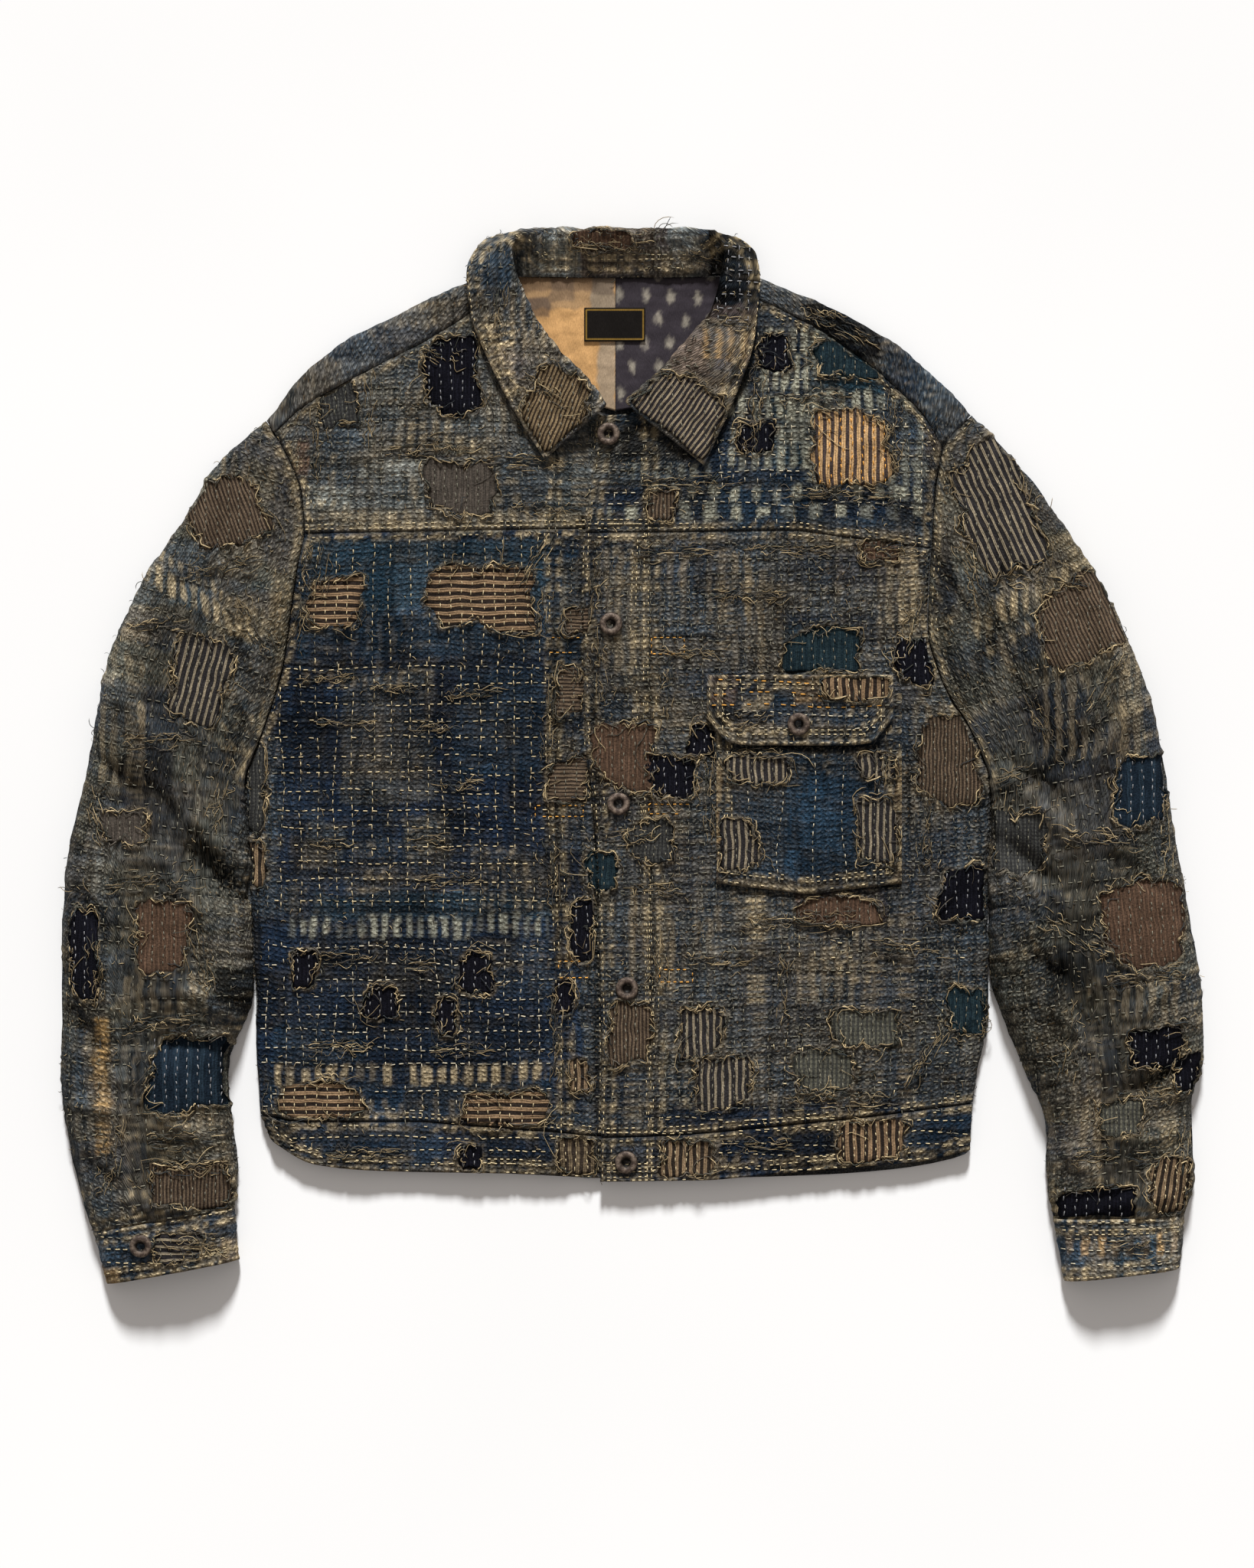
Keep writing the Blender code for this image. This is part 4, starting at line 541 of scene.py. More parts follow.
PATCHES = by_zone(
    Patch,
    ("front", (-131, 279, 43, 52, 0, "navy"), (-216, 262, 27, 45, 8, "grey check"),
     (-126, 196, 46, 39, 0, "plum"), (104, 295, 24, 24, 0, "navy"), (90, 233, 25, 21, 0, "navy"),
     (160, 224, 55, 54, 0, "pale stripe"), (157, 290, 44, 26, 0, "teal"),
     (21, 184, 20, 21, 0, "cord"),
     (-218, 113, 37, 36, 90, "tan stripe"), (-109, 116, 72, 46, 90, "tan stripe"),
     (-277, -24, 16, 70, 0, "grey check"), (-275, -80, 13, 31, 0, "dim stripe"),
     (-240, -154, 17, 27, 0, "navy"), (-114, -159, 27, 27, 0, "navy"),
     (-184, -180, 25, 22, 0, "navy"),
     (-136, -190, 15, 26, 0, "navy"), (-226, -252, 66, 26, 90, "tan stripe"),
     (-95, -258, 60, 26, 90, "tan stripe"), (-41, 99, 16, 18, 90, "cord"),
     (-46, 49, 18, 37, 90, "cord"), (-47, -17, 28, 31, 90, "cord"), (-37, -125, 16, 45, 0, "navy"),
     (-50, -176, 14, 25, 0, "navy"), (-39, -235, 14, 25, 0, "dim stripe"),
     (-40, -293, 27, 26, 0, "plaid"), (-118, -294, 18, 17, 0, "navy"),
     (38, -294, 37, 26, 0, "dim stripe"), (174, -281, 47, 30, 0, "tan stripe"),
     (-6, 0, 42, 50, 0, "brown"), (28, -15, 33, 32, 0, "navy"), (50, 11, 18, 24, 0, "navy"),
     (138, 78, 52, 32, 0, "teal"), (207, 69, 25, 34, 0, "navy"), (232, -4, 46, 60, 0, "cord"),
     (242, -101, 34, 38, 0, "navy"), (152, -113, 60, 20, 0, "brown"), (-2, -202, 30, 45, 0, "cord"),
     (50, -201, 30, 36, 0, "bold stripe"), (66, -238, 39, 38, 0, "bold stripe"),
     (170, -199, 45, 27, 0, "light check"), (141, -230, 48, 30, 0, "light check"),
     (245, -187, 26, 36, 0, "teal"), (180, 150, 26, 14, 0, "brown"), (-22, -84, 22, 26, 0, "teal"),
     (15, -62, 36, 28, 0, "grey check")),
    ("arm_left", (-295, 178, 57, 46, 20, "cord"), (-315, 57, 42, 58, -14, "bold stripe"),
     (-369, -52, 31, 24, 0, "plum"), (-341, -128, 39, 52, 0, "brown"),
     (-322, -231, 59, 53, 0, "blue"),
     (-321, -313, 53, 33, 0, "cord"), (-399, -146, 22, 62, 0, "navy")),
    ("arm_right", (265, 180, 50, 97, 24, "bold stripe"), (325, 99, 57, 58, 24, "cord"),
     (370, -24, 39, 50, 0, "blue"), (373, -120, 64, 60, 6, "brown"),
     (280, -62, 38, 46, 0, "grey check"), (380, -212, 38, 30, 0, "navy"),
     (404, -230, 18, 27, 0, "navy"), (338, -326, 54, 25, 0, "navy"),
     (392, -312, 32, 38, -10, "dim stripe"), (355, -262, 30, 26, 0, "light check")),
    ("cuff_left", (-332, -357, 32, 22, 90, "bold stripe")),
    ("collar", (-57, 250, 46, 58, -22, "rib"), (38, 249, 74, 50, -36, "fine stripe"),
     (-22, 377, 44, 14, 0, "brown")),
    ("pocket", (90, -10, 46, 20, 0, "bold stripe"), (178, -7, 26, 18, 0, "bold stripe"),
     (78, -66, 28, 36, 0, "bold stripe"), (179, -55, 28, 50, 0, "bold stripe")),
    ("flap", (163, 50, 50, 18, 0, "tan stripe")),
)

STITCH_PITCH = 6.3     # from one dash to the next
STITCH_LENGTH = 4.5
TOPSTITCH_PITCH = 4.6
DEPTH_OF_COLOUR = 0.90  # how dark the dye looks against the tones above
# Zones that are paler or darker than the rest; the collar's paleness is partly painted light on its
# shaded back stand
LIGHTNESS = {"collar": 1.75, "cuff_left": 1.5, "cuff_right": 1.65, "back": 1.5, "flap": 1.35,
             "arm_left": 1.37, "arm_right": 1.22, "pocket": 0.92}
# Bar tacks of bright thread that hold the pleats: left, right, bottom, top
TACKS = [(-66, -39, 76, 87), (-71, -36, -44, -36), (-54, -31, -162, -150), (14, 38, 75, 87),
         (12, 42, -42, -35), (20, 44, -165, -156)]
# Painted shade along dark lines where the cloth turns in or another edge shades it; the lines also
# sink the relief a little: line, width, depth
SHADES = fold_lines(
    front=[(-28, 182, -25, -316, 2.6, 1.0), (-56, 170, -55, -240, 2.0, 0.8),
           (12, 170, 14.5, -312, 1.8, 0.7), (-274, 30, -274, -262, 3.0, 0.6),
           (59, 70, 58, -92, 3.0, 0.6), (201, 14, 206, -96, 3.0, 0.6),
           (243, -208, 218, -243, 2.6, 0.7),
           (222, -240, 186, -258, 2.6, 0.7), (80, -159, 205, -159, 1.8, 0.6),
           (-115, 350, -112, 306, 5, 0.7), (-116, 316, -84, 258, 5, 0.8),
           (-94, 270, -52, 216, 5, 0.8),
           (96, 322, 56, 208, 5, 0.9), (-40, 222, 30, 215, 5, 0.8), (60, -94, 205, -94, 3.4, 0.9),
           (-250, 30, -130, 24, 2.0, 0.4), (-262, -112, -60, -114, 2.4, 0.7),
           (-268, -134, -60, -134, 2.4, 0.6), (-268, -228, -62, -226, 2.2, 0.6),
           (-60, 74, -60, -240, 3.0, 0.5), (210, 150, 258, 0, 4.0, 0.6),
           (256, 10, 258, -250, 3.0, 0.3),
           (96, 172, 100, -150, 1.6, 0.3), (-20, 199, 214, 201, 2.0, 0.6),
           (40, -60, 44, -266, 2.0, 0.4), (100, -180, 100, -266, 2.0, 0.4)],
    arm_left=[(-368, 0, -326, -46, 4.6, 1.2), (-340, -34, -272, -112, 4.6, 1.2),
              (-330, 30, -290, -40, 2.4, 0.7), (-300, 60, -270, 0, 2.4, 0.6),
              (-350, -60, -320, -130, 2.4, 0.7), (-318, -60, -278, -130, 2.2, 0.6),
              (-326, -100, -303, -174, 6, 0.8), (-281, 60, -296, -24, 6, 0.8),
              (-396, 20, -356, -16, 5, 0.8), (-408, -110, -398, -190, 7, 0.8),
              (-244, 130, -276, 20, 5, 0.8), (-300, -168, -274, -186, 8, 0.9),
              (-348, 96, -296, 84, 2.4, 0.6), (-334, 160, -262, 140, 2.4, 0.5),
              (-376, -82, -316, -80, 2.4, 0.6), (-390, -240, -372, -340, 3, 0.5),
              (-404, -250, -300, -262, 2.6, 0.6), (-372, -296, -296, -298, 2.4, 0.6),
              (-420, -200, -410, -330, 6, 0.5), (-262, 240, -246, 190, 4, 0.5)],
    arm_right=[(214, 158, 262, 84, 3.0, 1.1), (258, 92, 322, -4, 2.6, 1.1),
               (362, 42, 296, -16, 3.4, 1.2), (306, -10, 252, -38, 3.4, 1.2),
               (302, -16, 262, -86, 3, 1.0), (330, -108, 306, -176, 5, 1.0),
               (250, 120, 316, 10, 2.0, 0.6), (270, 100, 340, 0, 2.0, 0.5),
               (264, -100, 322, -128, 3, 0.9), (270, -30, 330, 10, 2.2, 0.7),
               (308, -160, 300, -232, 7, 0.8), (220, 120, 250, 20, 6, 0.7),
               (336, -60, 330, -130, 4, 0.6), (340, 128, 290, 96, 2.6, 0.6),
               (336, -90, 400, -94, 2.6, 0.6), (330, -196, 412, -190, 2.6, 0.7),
               (340, -240, 412, -244, 2.6, 0.6), (346, -160, 404, -170, 2.6, 0.6),
               (312, -240, 318, -330, 4, 0.5), (300, 60, 306, -10, 3, 0.4)],
    collar=[(-112, 300, -58, 222, 2.2, 0.6), (92, 300, 54, 216, 2.2, 0.6)],
    pocket=[(52, 8, 200, 8, 5, 1.2), (60, -8, 196, -8, 2.2, 0.5)],
    back=[(120, 322, 176, 296, 14, 1.0)])
CREASE_DEPTH = 1.5
# Creases of each zone, besides the solid's own: line, width, height
CREASES = fold_lines(
    front=[(-62, 150, -66, 20, 5, 1.2), (-250, 40, -120, 60, 6, 1.0), (-255, 96, -150, 70, 5, -1.0),
           (-258, -30, -205, -64, 7, 1.4), (-240, -80, -150, -66, 6, 1.0),
           (-200, 30, -196, -90, 6, -0.9), (-230, -140, -120, -128, 5, 0.9),
           (-262, -210, -210, -222, 6, 1.2), (-140, 20, -70, -10, 6, 0.9),
           (-210, -20, -90, -44, 5, 0.8), (240, 90, 205, 0, 8, 1.8), (226, 60, 196, -60, 6, -1.4),
           (258, -60, 206, -130, 8, 1.8), (251, -194, 231, -225, 5, -2.2),
           (231, -225, 189, -256, 5, -2.0), (246, -206, 214, -246, 6, 1.8),
           (120, -130, 40, -150, 7, 1.0), (96, -160, 92, -262, 5, 1.1), (30, 140, 36, 30, 5, 1.0),
           (-20, 150, -16, 20, 4, 0.9), (10, -100, 14, -270, 4, 1.2),
           (160, -140, 220, -170, 7, -1.1),
           (-230, 240, -150, 200, 8, 1.2), (-160, 300, -80, 200, 8, 1.1),
           (200, 250, 100, 180, 8, 1.2),
           (120, 300, 60, 230, 7, 1.0)],
    arm_left=[(-300, 230, -330, 60, 9, 3.0), (-280, 200, -262, 60, 8, 2.7),
              (-344, 150, -380, 20, 9, 2.7), (-300, 120, -270, 20, 7, -3.3),
              (-384, 60, -330, -10, 8, 2.4), (-398, 6, -350, -34, 6, -3.6),
              (-332, -58, -280, -112, 6, -3.4), (-322, -40, -276, -88, 7, 2.2),
              (-350, -66, -296, -134, 7, 2.0), (-408, -90, -372, -150, 7, -3.6),
              (-390, -120, -366, -204, 7, 3.0), (-414, -180, -376, -230, 7, -3.3),
              (-340, -160, -290, -190, 7, 2.7), (-410, -250, -360, -262, 7, 2.7),
              (-404, -290, -366, -322, 7, -3.0), (-350, -262, -300, -280, 7, 2.4),
              (-362, -206, -300, -214, 6, -2.4), (-384, -316, -320, -334, 7, 2.1)],
    arm_right=[(262, 226, 300, 60, 9, 3.0), (240, 190, 244, 60, 8, 2.7),
               (322, 150, 372, 20, 9, 2.7),
               (268, 110, 250, 20, 7, -3.3), (376, 50, 316, -30, 8, 2.4),
               (262, 10, 330, -46, 6, -2.8),
               (264, -10, 330, -66, 7, 3.3), (262, -56, 322, -104, 6, -2.6),
               (268, -80, 336, -118, 7, 3.6), (330, -66, 386, -96, 7, -2.7),
               (276, -130, 330, -176, 7, -2.6), (300, -176, 350, -230, 7, 3.3),
               (404, -150, 360, -196, 7, 2.7), (412, -220, 350, -250, 7, -3.0),
               (404, -270, 346, -286, 7, 2.7), (310, -280, 352, -316, 7, 2.7),
               (400, -318, 330, -330, 6, 2.1)],
    collar=[(-104, 340, -84, 262, 6, 1.0), (92, 330, 78, 250, 6, 1.0)],
    cuff_left=[(-384, -360, -300, -350, 4, 0.7)],
    cuff_right=[(394, -350, 316, -366, 4, 0.7)])

PATCH_SIDES = 48       # points round a patch
PATCH_LIFT = 1.3       # its middle above the cloth it lies on
PATCH_SINK = 1.0       # how far the cloth under a patch is let down
PATCH_WALL = 0.8
PATCH_FLOOR = 1.4      # no patch comes lower than this
PATCH_RINGS = (0.02, 0.2, 0.37, 0.52, 0.66, 0.78, 0.89, 1.0)  # shares of its open width
PATCH_SHADE = (1, 1, 1, 1, 1, 1, 0.92, 0.75, 0.5, 0.35)  # painted shade of each ring, darker to the rim, where the cloth's torn edge shades the patch
DASH_ALONG = (-0.5, -0.3, 0.3, 0.5)  # the four rings of a stitch, as shares of its length
DASH_LIFT = (-0.5, 0.28, 0.28, -0.5)
DASH_RADIUS = (0, 0.5, 0.5, 0)
STEEP_DASH, STEEP_THREAD = 3.5, 2.5  # a step in the cloth that no stitch, or thread, crosses
YARNS = ("khaki", "dun", "olive", "cream", "grey")  # tones of the loose threads
BUTTON_SHADE = ((0.36, 0.5, 0.72, 1.0), (0.06, 0.6, 1.15, 0.7))  # painted shade and highlight of a button: dark in its hole, lightest on its crest, darker at its rim, at these radius shares
FRAY_APART = 2.1       # torn threads round a patch
FRAY_STEPS = 7
FIBRE_STEPS = 5
# The piece that a zone's patches rest on
# Curls of yarn: zone, box in plan, how many
FIBRES = [("front", (-275, 250, -310, 330), 3300), ("arm_left", (-418, -230, -340, 240), 1500),
          ("arm_right", (200, 418, -340, 240), 1500), ("collar", (-125, 92, 215, 384), 500)]
# Long loose ends that stand off an edge: zone, root in plan, how many, reach, heading
Tuft = namedtuple("Tuft", "zone x y count reach turn")
TUFTS = by_zone(
    Tuft,
    ("collar", (19, 380, 8, 17, 80), (-18, 381, 3, 9, 110)),
    ("arm_right", (292, 214, 9, 20, 20), (306, 186, 6, 16, 30)),
    ("arm_left", (-354, 126, 4, 15, 165)),
    ("front", (50, -308, 5, 16, 262)),
    ("arm_left", (-408, -96, 5, 12, 190)),
    ("arm_right", (396, -40, 5, 12, 10)),
    ("front", (252, -200, 5, 12, -20)),
    ("arm_left", (-392, 16, 4, 10, 170)),
    ("arm_right", (404, -190, 4, 10, 0)),
    ("cuff_left", (-390, -372, 4, 9, 220)),
)
# Half section of a button: radius share and height
BUTTON_LINE = [(1.0, -0.6), (1.0, 1.2), (0.97, 2.0), (0.88, 2.7), (0.72, 3.0), (0.55, 2.7),
               (0.43, 2.0), (0.37, 1.0), (0.34, -0.2), (0.05, -0.3)]
BUTTON_RIBS = 36
# Worn lines with torn yarn strung over them: middle in plan, size along and across, turn
Tear = namedtuple("Tear", "zone x y wide high turn")
TEARS = by_zone(
    Tear,
    ("front", (-226, 58, 44, 7, 2), (-176, 50, 36, 6, -3), (-120, 46, 40, 5, 2),
     (-214, 24, 40, 6, 0),
     (-150, 20, 34, 8, 3), (-132, -20, 34, 8, -2), (-224, -64, 30, 10, 0), (-152, -60, 34, 12, 1),
     (-140, -92, 50, 8, 2), (-210, -146, 40, 8, 4), (-160, -152, 30, 8, 0), (-216, -212, 54, 8, 0),
     (-130, -216, 40, 8, 3), (-250, 90, 40, 10, 70), (-64, 100, 44, 9, 86), (-60, 20, 60, 10, 88),
     (-58, -90, 50, 10, 92), (-56, -210, 60, 10, 88), (-26, 120, 46, 10, 84), (-24, 60, 50, 12, 92),
     (-10, -60, 50, 12, 4), (12, -96, 46, 10, 0), (30, 150, 60, 8, 2), (110, 152, 70, 8, -3),
     (190, 150, 44, 10, 0), (80, 118, 60, 8, 2), (204, 96, 50, 10, 80), (40, 76, 50, 8, 0),
     (26, 40, 40, 10, 86), (56, -30, 70, 8, 90), (216, -60, 60, 10, 84), (120, -120, 90, 8, 2),
     (60, -150, 44, 10, 4), (200, -140, 60, 10, -2), (110, -178, 60, 8, 88), (150, -250, 80, 8, 0),
     (214, -220, 60, 10, 60), (20, -150, 50, 10, 88), (-190, 250, 60, 10, 96),
     (-230, 222, 50, 10, 90),
     (-150, 226, 70, 8, 2), (-80, 216, 60, 10, 0), (-60, 182, 60, 8, 0), (-150, 300, 50, 10, -28),
     (90, 250, 60, 10, 90), (130, 262, 60, 8, 4), (190, 232, 60, 10, 86), (40, 200, 70, 8, 0),
     (150, 190, 90, 8, -1), (-200, -290, 60, 7, 0), (90, -284, 60, 7, 0)),
    ("arm_left", (-300, 140, 60, 12, 10), (-280, 100, 50, 10, -60), (-350, 96, 50, 10, 8),
     (-350, 10, 60, 12, 4), (-300, -30, 60, 10, 80), (-390, -40, 40, 12, -70),
     (-350, -90, 70, 10, 6),
     (-310, -150, 60, 12, -84), (-390, -160, 50, 12, 90), (-350, -196, 70, 10, 4),
     (-330, -276, 60, 12, 0), (-380, -296, 60, 10, 80), (-320, -300, 60, 8, 2)),
    ("arm_right", (250, 130, 60, 12, -64), (300, 130, 60, 10, -10), (344, 50, 60, 12, 60),
     (300, 20, 70, 10, -62), (268, -20, 40, 12, 20), (340, -60, 60, 10, -8), (390, -70, 50, 12, 84),
     (320, -130, 60, 12, -30), (370, -160, 60, 10, 4), (320, -210, 60, 12, 80),
     (380, -246, 60, 10, 2),
     (350, -290, 70, 10, 0), (400, -290, 40, 10, 86)),
    ("front", (-240, 140, 44, 12, 82), (-228, 128, 30, 9, 80), (-76, 138, 40, 8, 60)),
    ("collar", (-20, 372, 60, 8, 0), (50, 366, 40, 8, -20), (74, 315, 40, 7, -6),
     (72, 384, 22, 12, 60)),
    ("back", (154, 313, 52, 14, -30), (140, 320, 40, 10, -20)),
    ("collar", (-98, 320, 40, 10, 84), (80, 290, 50, 12, 56), (-70, 270, 40, 10, -30)),
    ("cuff_left", (-320, -356, 40, 8, 0)),
    ("cuff_right", (360, -356, 50, 8, 0)),
    ("flap", (84, 26, 30, 8, 20)),
    ("pocket", (90, 4, 40, 6, 4), (184, -16, 26, 8, 84)),
)


# ---------------------------------------------------------------- numbers and surfaces

def linear(colour):
    """Screen colour (0 to 255) as the light it stands for (0 to 1)."""
    share = np.asarray(colour, float) / 255
    return np.where(share <= 0.04045, share / 12.92, ((share + 0.055) / 1.055) ** 2.4)


def ripple(x, y, size, seed, stretch=1.0):
    """Smooth noise from -1 to 1: random values on a lattice, blended by a cubic ease."""
    table = np.random.default_rng(seed).uniform(-1, 1, (256, 256))
    across, along_it = np.asarray(x) / size, np.asarray(y) / (size * stretch)
    i, j = np.floor(across).astype(int), np.floor(along_it).astype(int)
    f, g = across - i, along_it - j
    f, g = f * f * (3 - 2 * f), g * g * (3 - 2 * g)
    i0, i1, j0, j1 = i % 256, (i + 1) % 256, j % 256, (j + 1) % 256
    low = table[i0, j0] * (1 - f) + table[i1, j0] * f
    high = table[i0, j1] * (1 - f) + table[i1, j1] * f
    return low * (1 - g) + high * g


def monotone(place, values, at):
    """Cubic through the values that never overshoots: inner slopes are harmonic means."""
    step = np.diff(place)[:, None, None]
    rise = np.diff(values, axis=0) / step
    slope = np.zeros_like(values)
    product, total = rise[:-1] * rise[1:], rise[:-1] + rise[1:]
    turning = product <= 0
    slope[1:-1] = np.where(turning, 0, 2 * product / np.where(turning, 1, total))
    slope[0], slope[-1] = rise[0], rise[-1]
    k = np.clip(np.searchsorted(place, at, side="right") - 1, 0, len(place) - 2)
    share = ((at - place[k]) / np.diff(place)[k])[:, None, None]
    width = step[k]
    return (values[k] * (1 + 2 * share) * (1 - share) ** 2
            + slope[k] * width * share * (1 - share) ** 2
            + values[k + 1] * share**2 * (3 - 2 * share)
            + slope[k + 1] * width * share**2 * (share - 1))


def refine(grid, step, closed=False):
    """The grid drawn again at an even step, in whole blocks, down its columns then its rows."""
    if closed:
        grid = np.concatenate([grid, grid[:, :1]], axis=1)
    for axis in (0, 1):
        apart = np.linalg.norm(np.diff(grid, axis=axis), axis=2).mean(axis=1 - axis)
        place = np.concatenate([[0], np.cumsum(apart)])
        count = BLOCK * max(1, round(place[-1] / step / BLOCK))
        lined = np.moveaxis(grid, axis, 0)
        grid = np.moveaxis(monotone(place, lined, np.linspace(0, place[-1], count + 1)), 0, axis)
    return grid


def normals_of(grid, closed=False):
    """Unit normal at each point: the cross product of the two grid directions."""
    if closed:
        across = np.roll(grid, -1, axis=1) - np.roll(grid, 1, axis=1)
    else:
        across = np.gradient(grid, axis=1)
    return unit(np.cross(across, np.gradient(grid, axis=0)) + 1e-12)


def lengths_of(grid):
    """Distance from the middle of its row, and down from the first row, at each point."""
    across = np.linalg.norm(np.diff(grid, axis=1), axis=2)
    u = np.concatenate([np.zeros((len(grid), 1)), np.cumsum(across, axis=1)], axis=1)
    u -= u[:, -1:] / 2
    down = np.linalg.norm(np.diff(grid, axis=0), axis=2)
    v = np.concatenate([np.zeros((1, grid.shape[1])), np.cumsum(down, axis=0)], axis=0)
    return np.stack([u, v], axis=2)


def shell_mesh(name, outer, inner, closed=False, keep=None):
    """A closed wall: a fine outer grid, an inner grid of its block corners, and its rims.

    The outer grid has BLOCK cells for each inner one. A rim face joins one inner edge to the
    outer points along it.
    """
    rows, columns = outer.shape[:2]
    last = columns - 1
    stored = last if closed else columns
    fine = np.arange(rows)[:, None] * stored + np.arange(columns) % stored
    inner_columns = last // BLOCK
    inner_stored = inner_columns if closed else inner_columns + 1
    coarse = rows * stored + (np.arange((rows - 1) // BLOCK + 1)[:, None] * inner_stored
                              + np.arange(inner_columns + 1) % inner_stored)
    if keep is None:
        keep = np.ones((coarse.shape[0] - 1, coarse.shape[1] - 1), bool)
    kept = np.kron(keep, np.ones((BLOCK, BLOCK), bool))
    quads = [np.stack([fine[:-1, :-1], fine[:-1, 1:], fine[1:, 1:], fine[1:, :-1]], axis=2)[kept],
             np.stack([coarse[:-1, :-1], coarse[1:, :-1], coarse[1:, 1:], coarse[:-1, 1:]],
                      axis=2)[keep]]
    rims = []
    for row, column in zip(*np.nonzero(keep)):
        top, side = row * BLOCK, column * BLOCK
        low, far = top + BLOCK, side + BLOCK
        before = keep[row, column - 1] if column or closed else False
        after = keep[row, (column + 1) % keep.shape[1]] if column + 1 < keep.shape[1] or closed \
            else False
        if not (row and keep[row - 1, column]):
            rims.append([*fine[top, side:far + 1][::-1], coarse[row, column],
                         coarse[row, column + 1]])
        if not (row + 1 < keep.shape[0] and keep[row + 1, column]):
            rims.append([*fine[low, side:far + 1], coarse[row + 1, column + 1],
                         coarse[row + 1, column]])
        if not before:
            rims.append([*fine[top:low + 1, side], coarse[row + 1, column],
                         coarse[row, column]])
        if not after:
            rims.append([*fine[top:low + 1, far][::-1], coarse[row, column + 1],
                         coarse[row + 1, column + 1]])
    points = np.concatenate([outer[:, :stored].reshape(-1, 3), inner.reshape(-1, 3)])
    faces = [face for block in quads for face in block.tolist()] + rims
    used = np.zeros(len(points), bool)
    used[np.concatenate([block.ravel() for block in quads])] = True
    number = np.cumsum(used) - 1
    faces = [[int(number[index]) for index in face] for face in faces]
    return new_mesh(name, points[used], faces), used


def new_mesh(name, points, faces):
    """A smooth mesh from points in the tables' millimetres."""
    mesh = bpy.data.meshes.new(name)
    placed = (np.asarray(points, float) - (0.0, CENTRE_Y, 0.0)) * MM
    sizes = np.array([len(face) for face in faces])
    corners = np.concatenate([np.asarray(face, int) for face in faces]) if len(faces) else []
    mesh.vertices.add(len(placed))
    mesh.vertices.foreach_set("co", placed.ravel())
    mesh.loops.add(len(corners))
    mesh.loops.foreach_set("vertex_index", corners)
    mesh.polygons.add(len(sizes))
    mesh.polygons.foreach_set("loop_start", np.concatenate([[0], np.cumsum(sizes)[:-1]]))
    mesh.polygons.foreach_set("use_smooth", np.ones(len(sizes), bool))
    mesh.update(calc_edges=True)
    mesh.validate()
    return mesh


def finish_of(build):
    """The material of a finish: built the first time, found by its name after that."""
    name = build.__name__.replace("_", " ")
    return bpy.data.materials.get(name) or build(name)


def add_piece(name, mesh, finish, nodes=()):
    """A finished piece on the jacket's only body, in place of its plain solids."""
    mesh.materials.append(finish_of(finish))
    piece = bpy.data.objects.new(name, mesh)
    bpy.context.scene.collection.objects.link(piece)
    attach(piece, "root")
    if nodes:
        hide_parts(*nodes)
    return piece


def set_colour(mesh, name, values):
    """One light colour for each vertex."""
    made = mesh.attributes.new(name, "FLOAT_COLOR", "POINT")
    four = np.ones((len(values), 4))
    four[:, :3] = values
    made.data.foreach_set("color", four.ravel())


def set_number(mesh, name, values):
    """One number for each vertex."""
    mesh.attributes.new(name, "FLOAT", "POINT").data.foreach_set("value", np.asarray(values))


def set_uv(mesh, name, per_vertex):
    """A UV map in metres, the same at every corner of a vertex."""
    corners = np.zeros(len(mesh.loops), int)
    mesh.loops.foreach_get("vertex_index", corners)
    mesh.uv_layers.new(name=name).data.foreach_set("uv", per_vertex[corners].ravel() * MM)


# ---------------------------------------------------------------- plain forms of the pieces

def unit(vectors):
    """Vectors scaled to length one."""
    return vectors / np.linalg.norm(vectors, axis=-1, keepdims=True)


def facing(grid, up):
    """The grid with its columns turned, if need be, so that its normals point up (or down)."""
    if (normals_of(grid)[..., 2].mean() > 0) == up:
        return grid
    return grid[:, ::-1]


def along(table, value, key, result):
    """Read a table of named columns: linear between its rows, level past its ends."""
    rows = sorted(table, key=lambda row: getattr(row, key))
    return np.interp(value, [getattr(row, key) for row in rows],
                     [getattr(row, result) for row in rows])


def fold_height(x, y, folds):
    """Sum of the ridges and troughs: each is a bell across its line, tapered to its ends."""
    total = np.zeros_like(np.asarray(x, float))
    for fold in folds:
        line = np.array([fold.x1 - fold.x0, fold.y1 - fold.y0])
        length = np.hypot(*line)
        dx, dy = x - fold.x0, y - fold.y0
        share = (dx * line[0] + dy * line[1]) / length**2
        off = (dx * line[1] - dy * line[0]) / length
        taper = np.sin(np.pi * np.clip(share, 0, 1)) ** 0.7
        total += fold.height * np.exp(-((off / fold.width) ** 2)) * taper
    return total


def shift_seam(points, distance):
    """A line of plan points moved sideways by a distance, to the left of its direction."""
    points = np.asarray(points, float)
    heading = unit(np.diff(points, axis=0))
    left = np.stack([-heading[:, 1], heading[:, 0]], axis=1)
    first, last = left[:1], left[-1:]
    before, after = np.vstack([first, left]), np.vstack([left, last])
    mitre = before + after
    mitre /= (mitre * after).sum(axis=1, keepdims=True)
    return points + mitre * distance


def armhole(side):
    """Armhole in plan, shoulder edge to underarm, as the sleeve and the body share it."""
    top = SHOULDER[side][0]
    upper = [(top.edge_x, top.edge_y)] + [tuple(point) for point in ARMHOLE_TOP[side][::-1]]
    lower = [(row.x, row.y) for row in SIDE[side][UNDERARM_ROW:][::-1]]
    return np.array(upper + lower)


def body_edge(side):
    """Side seam and armhole in plan, waist to shoulder edge, moved in by half a seam."""
    line = [(row.x, row.y) for row in SIDE[side][:UNDERARM_ROW]] + armhole(side)[::-1].tolist()
    inward = -SEAM / 2 if side == "left" else SEAM / 2
    return shift_seam(line, inward)


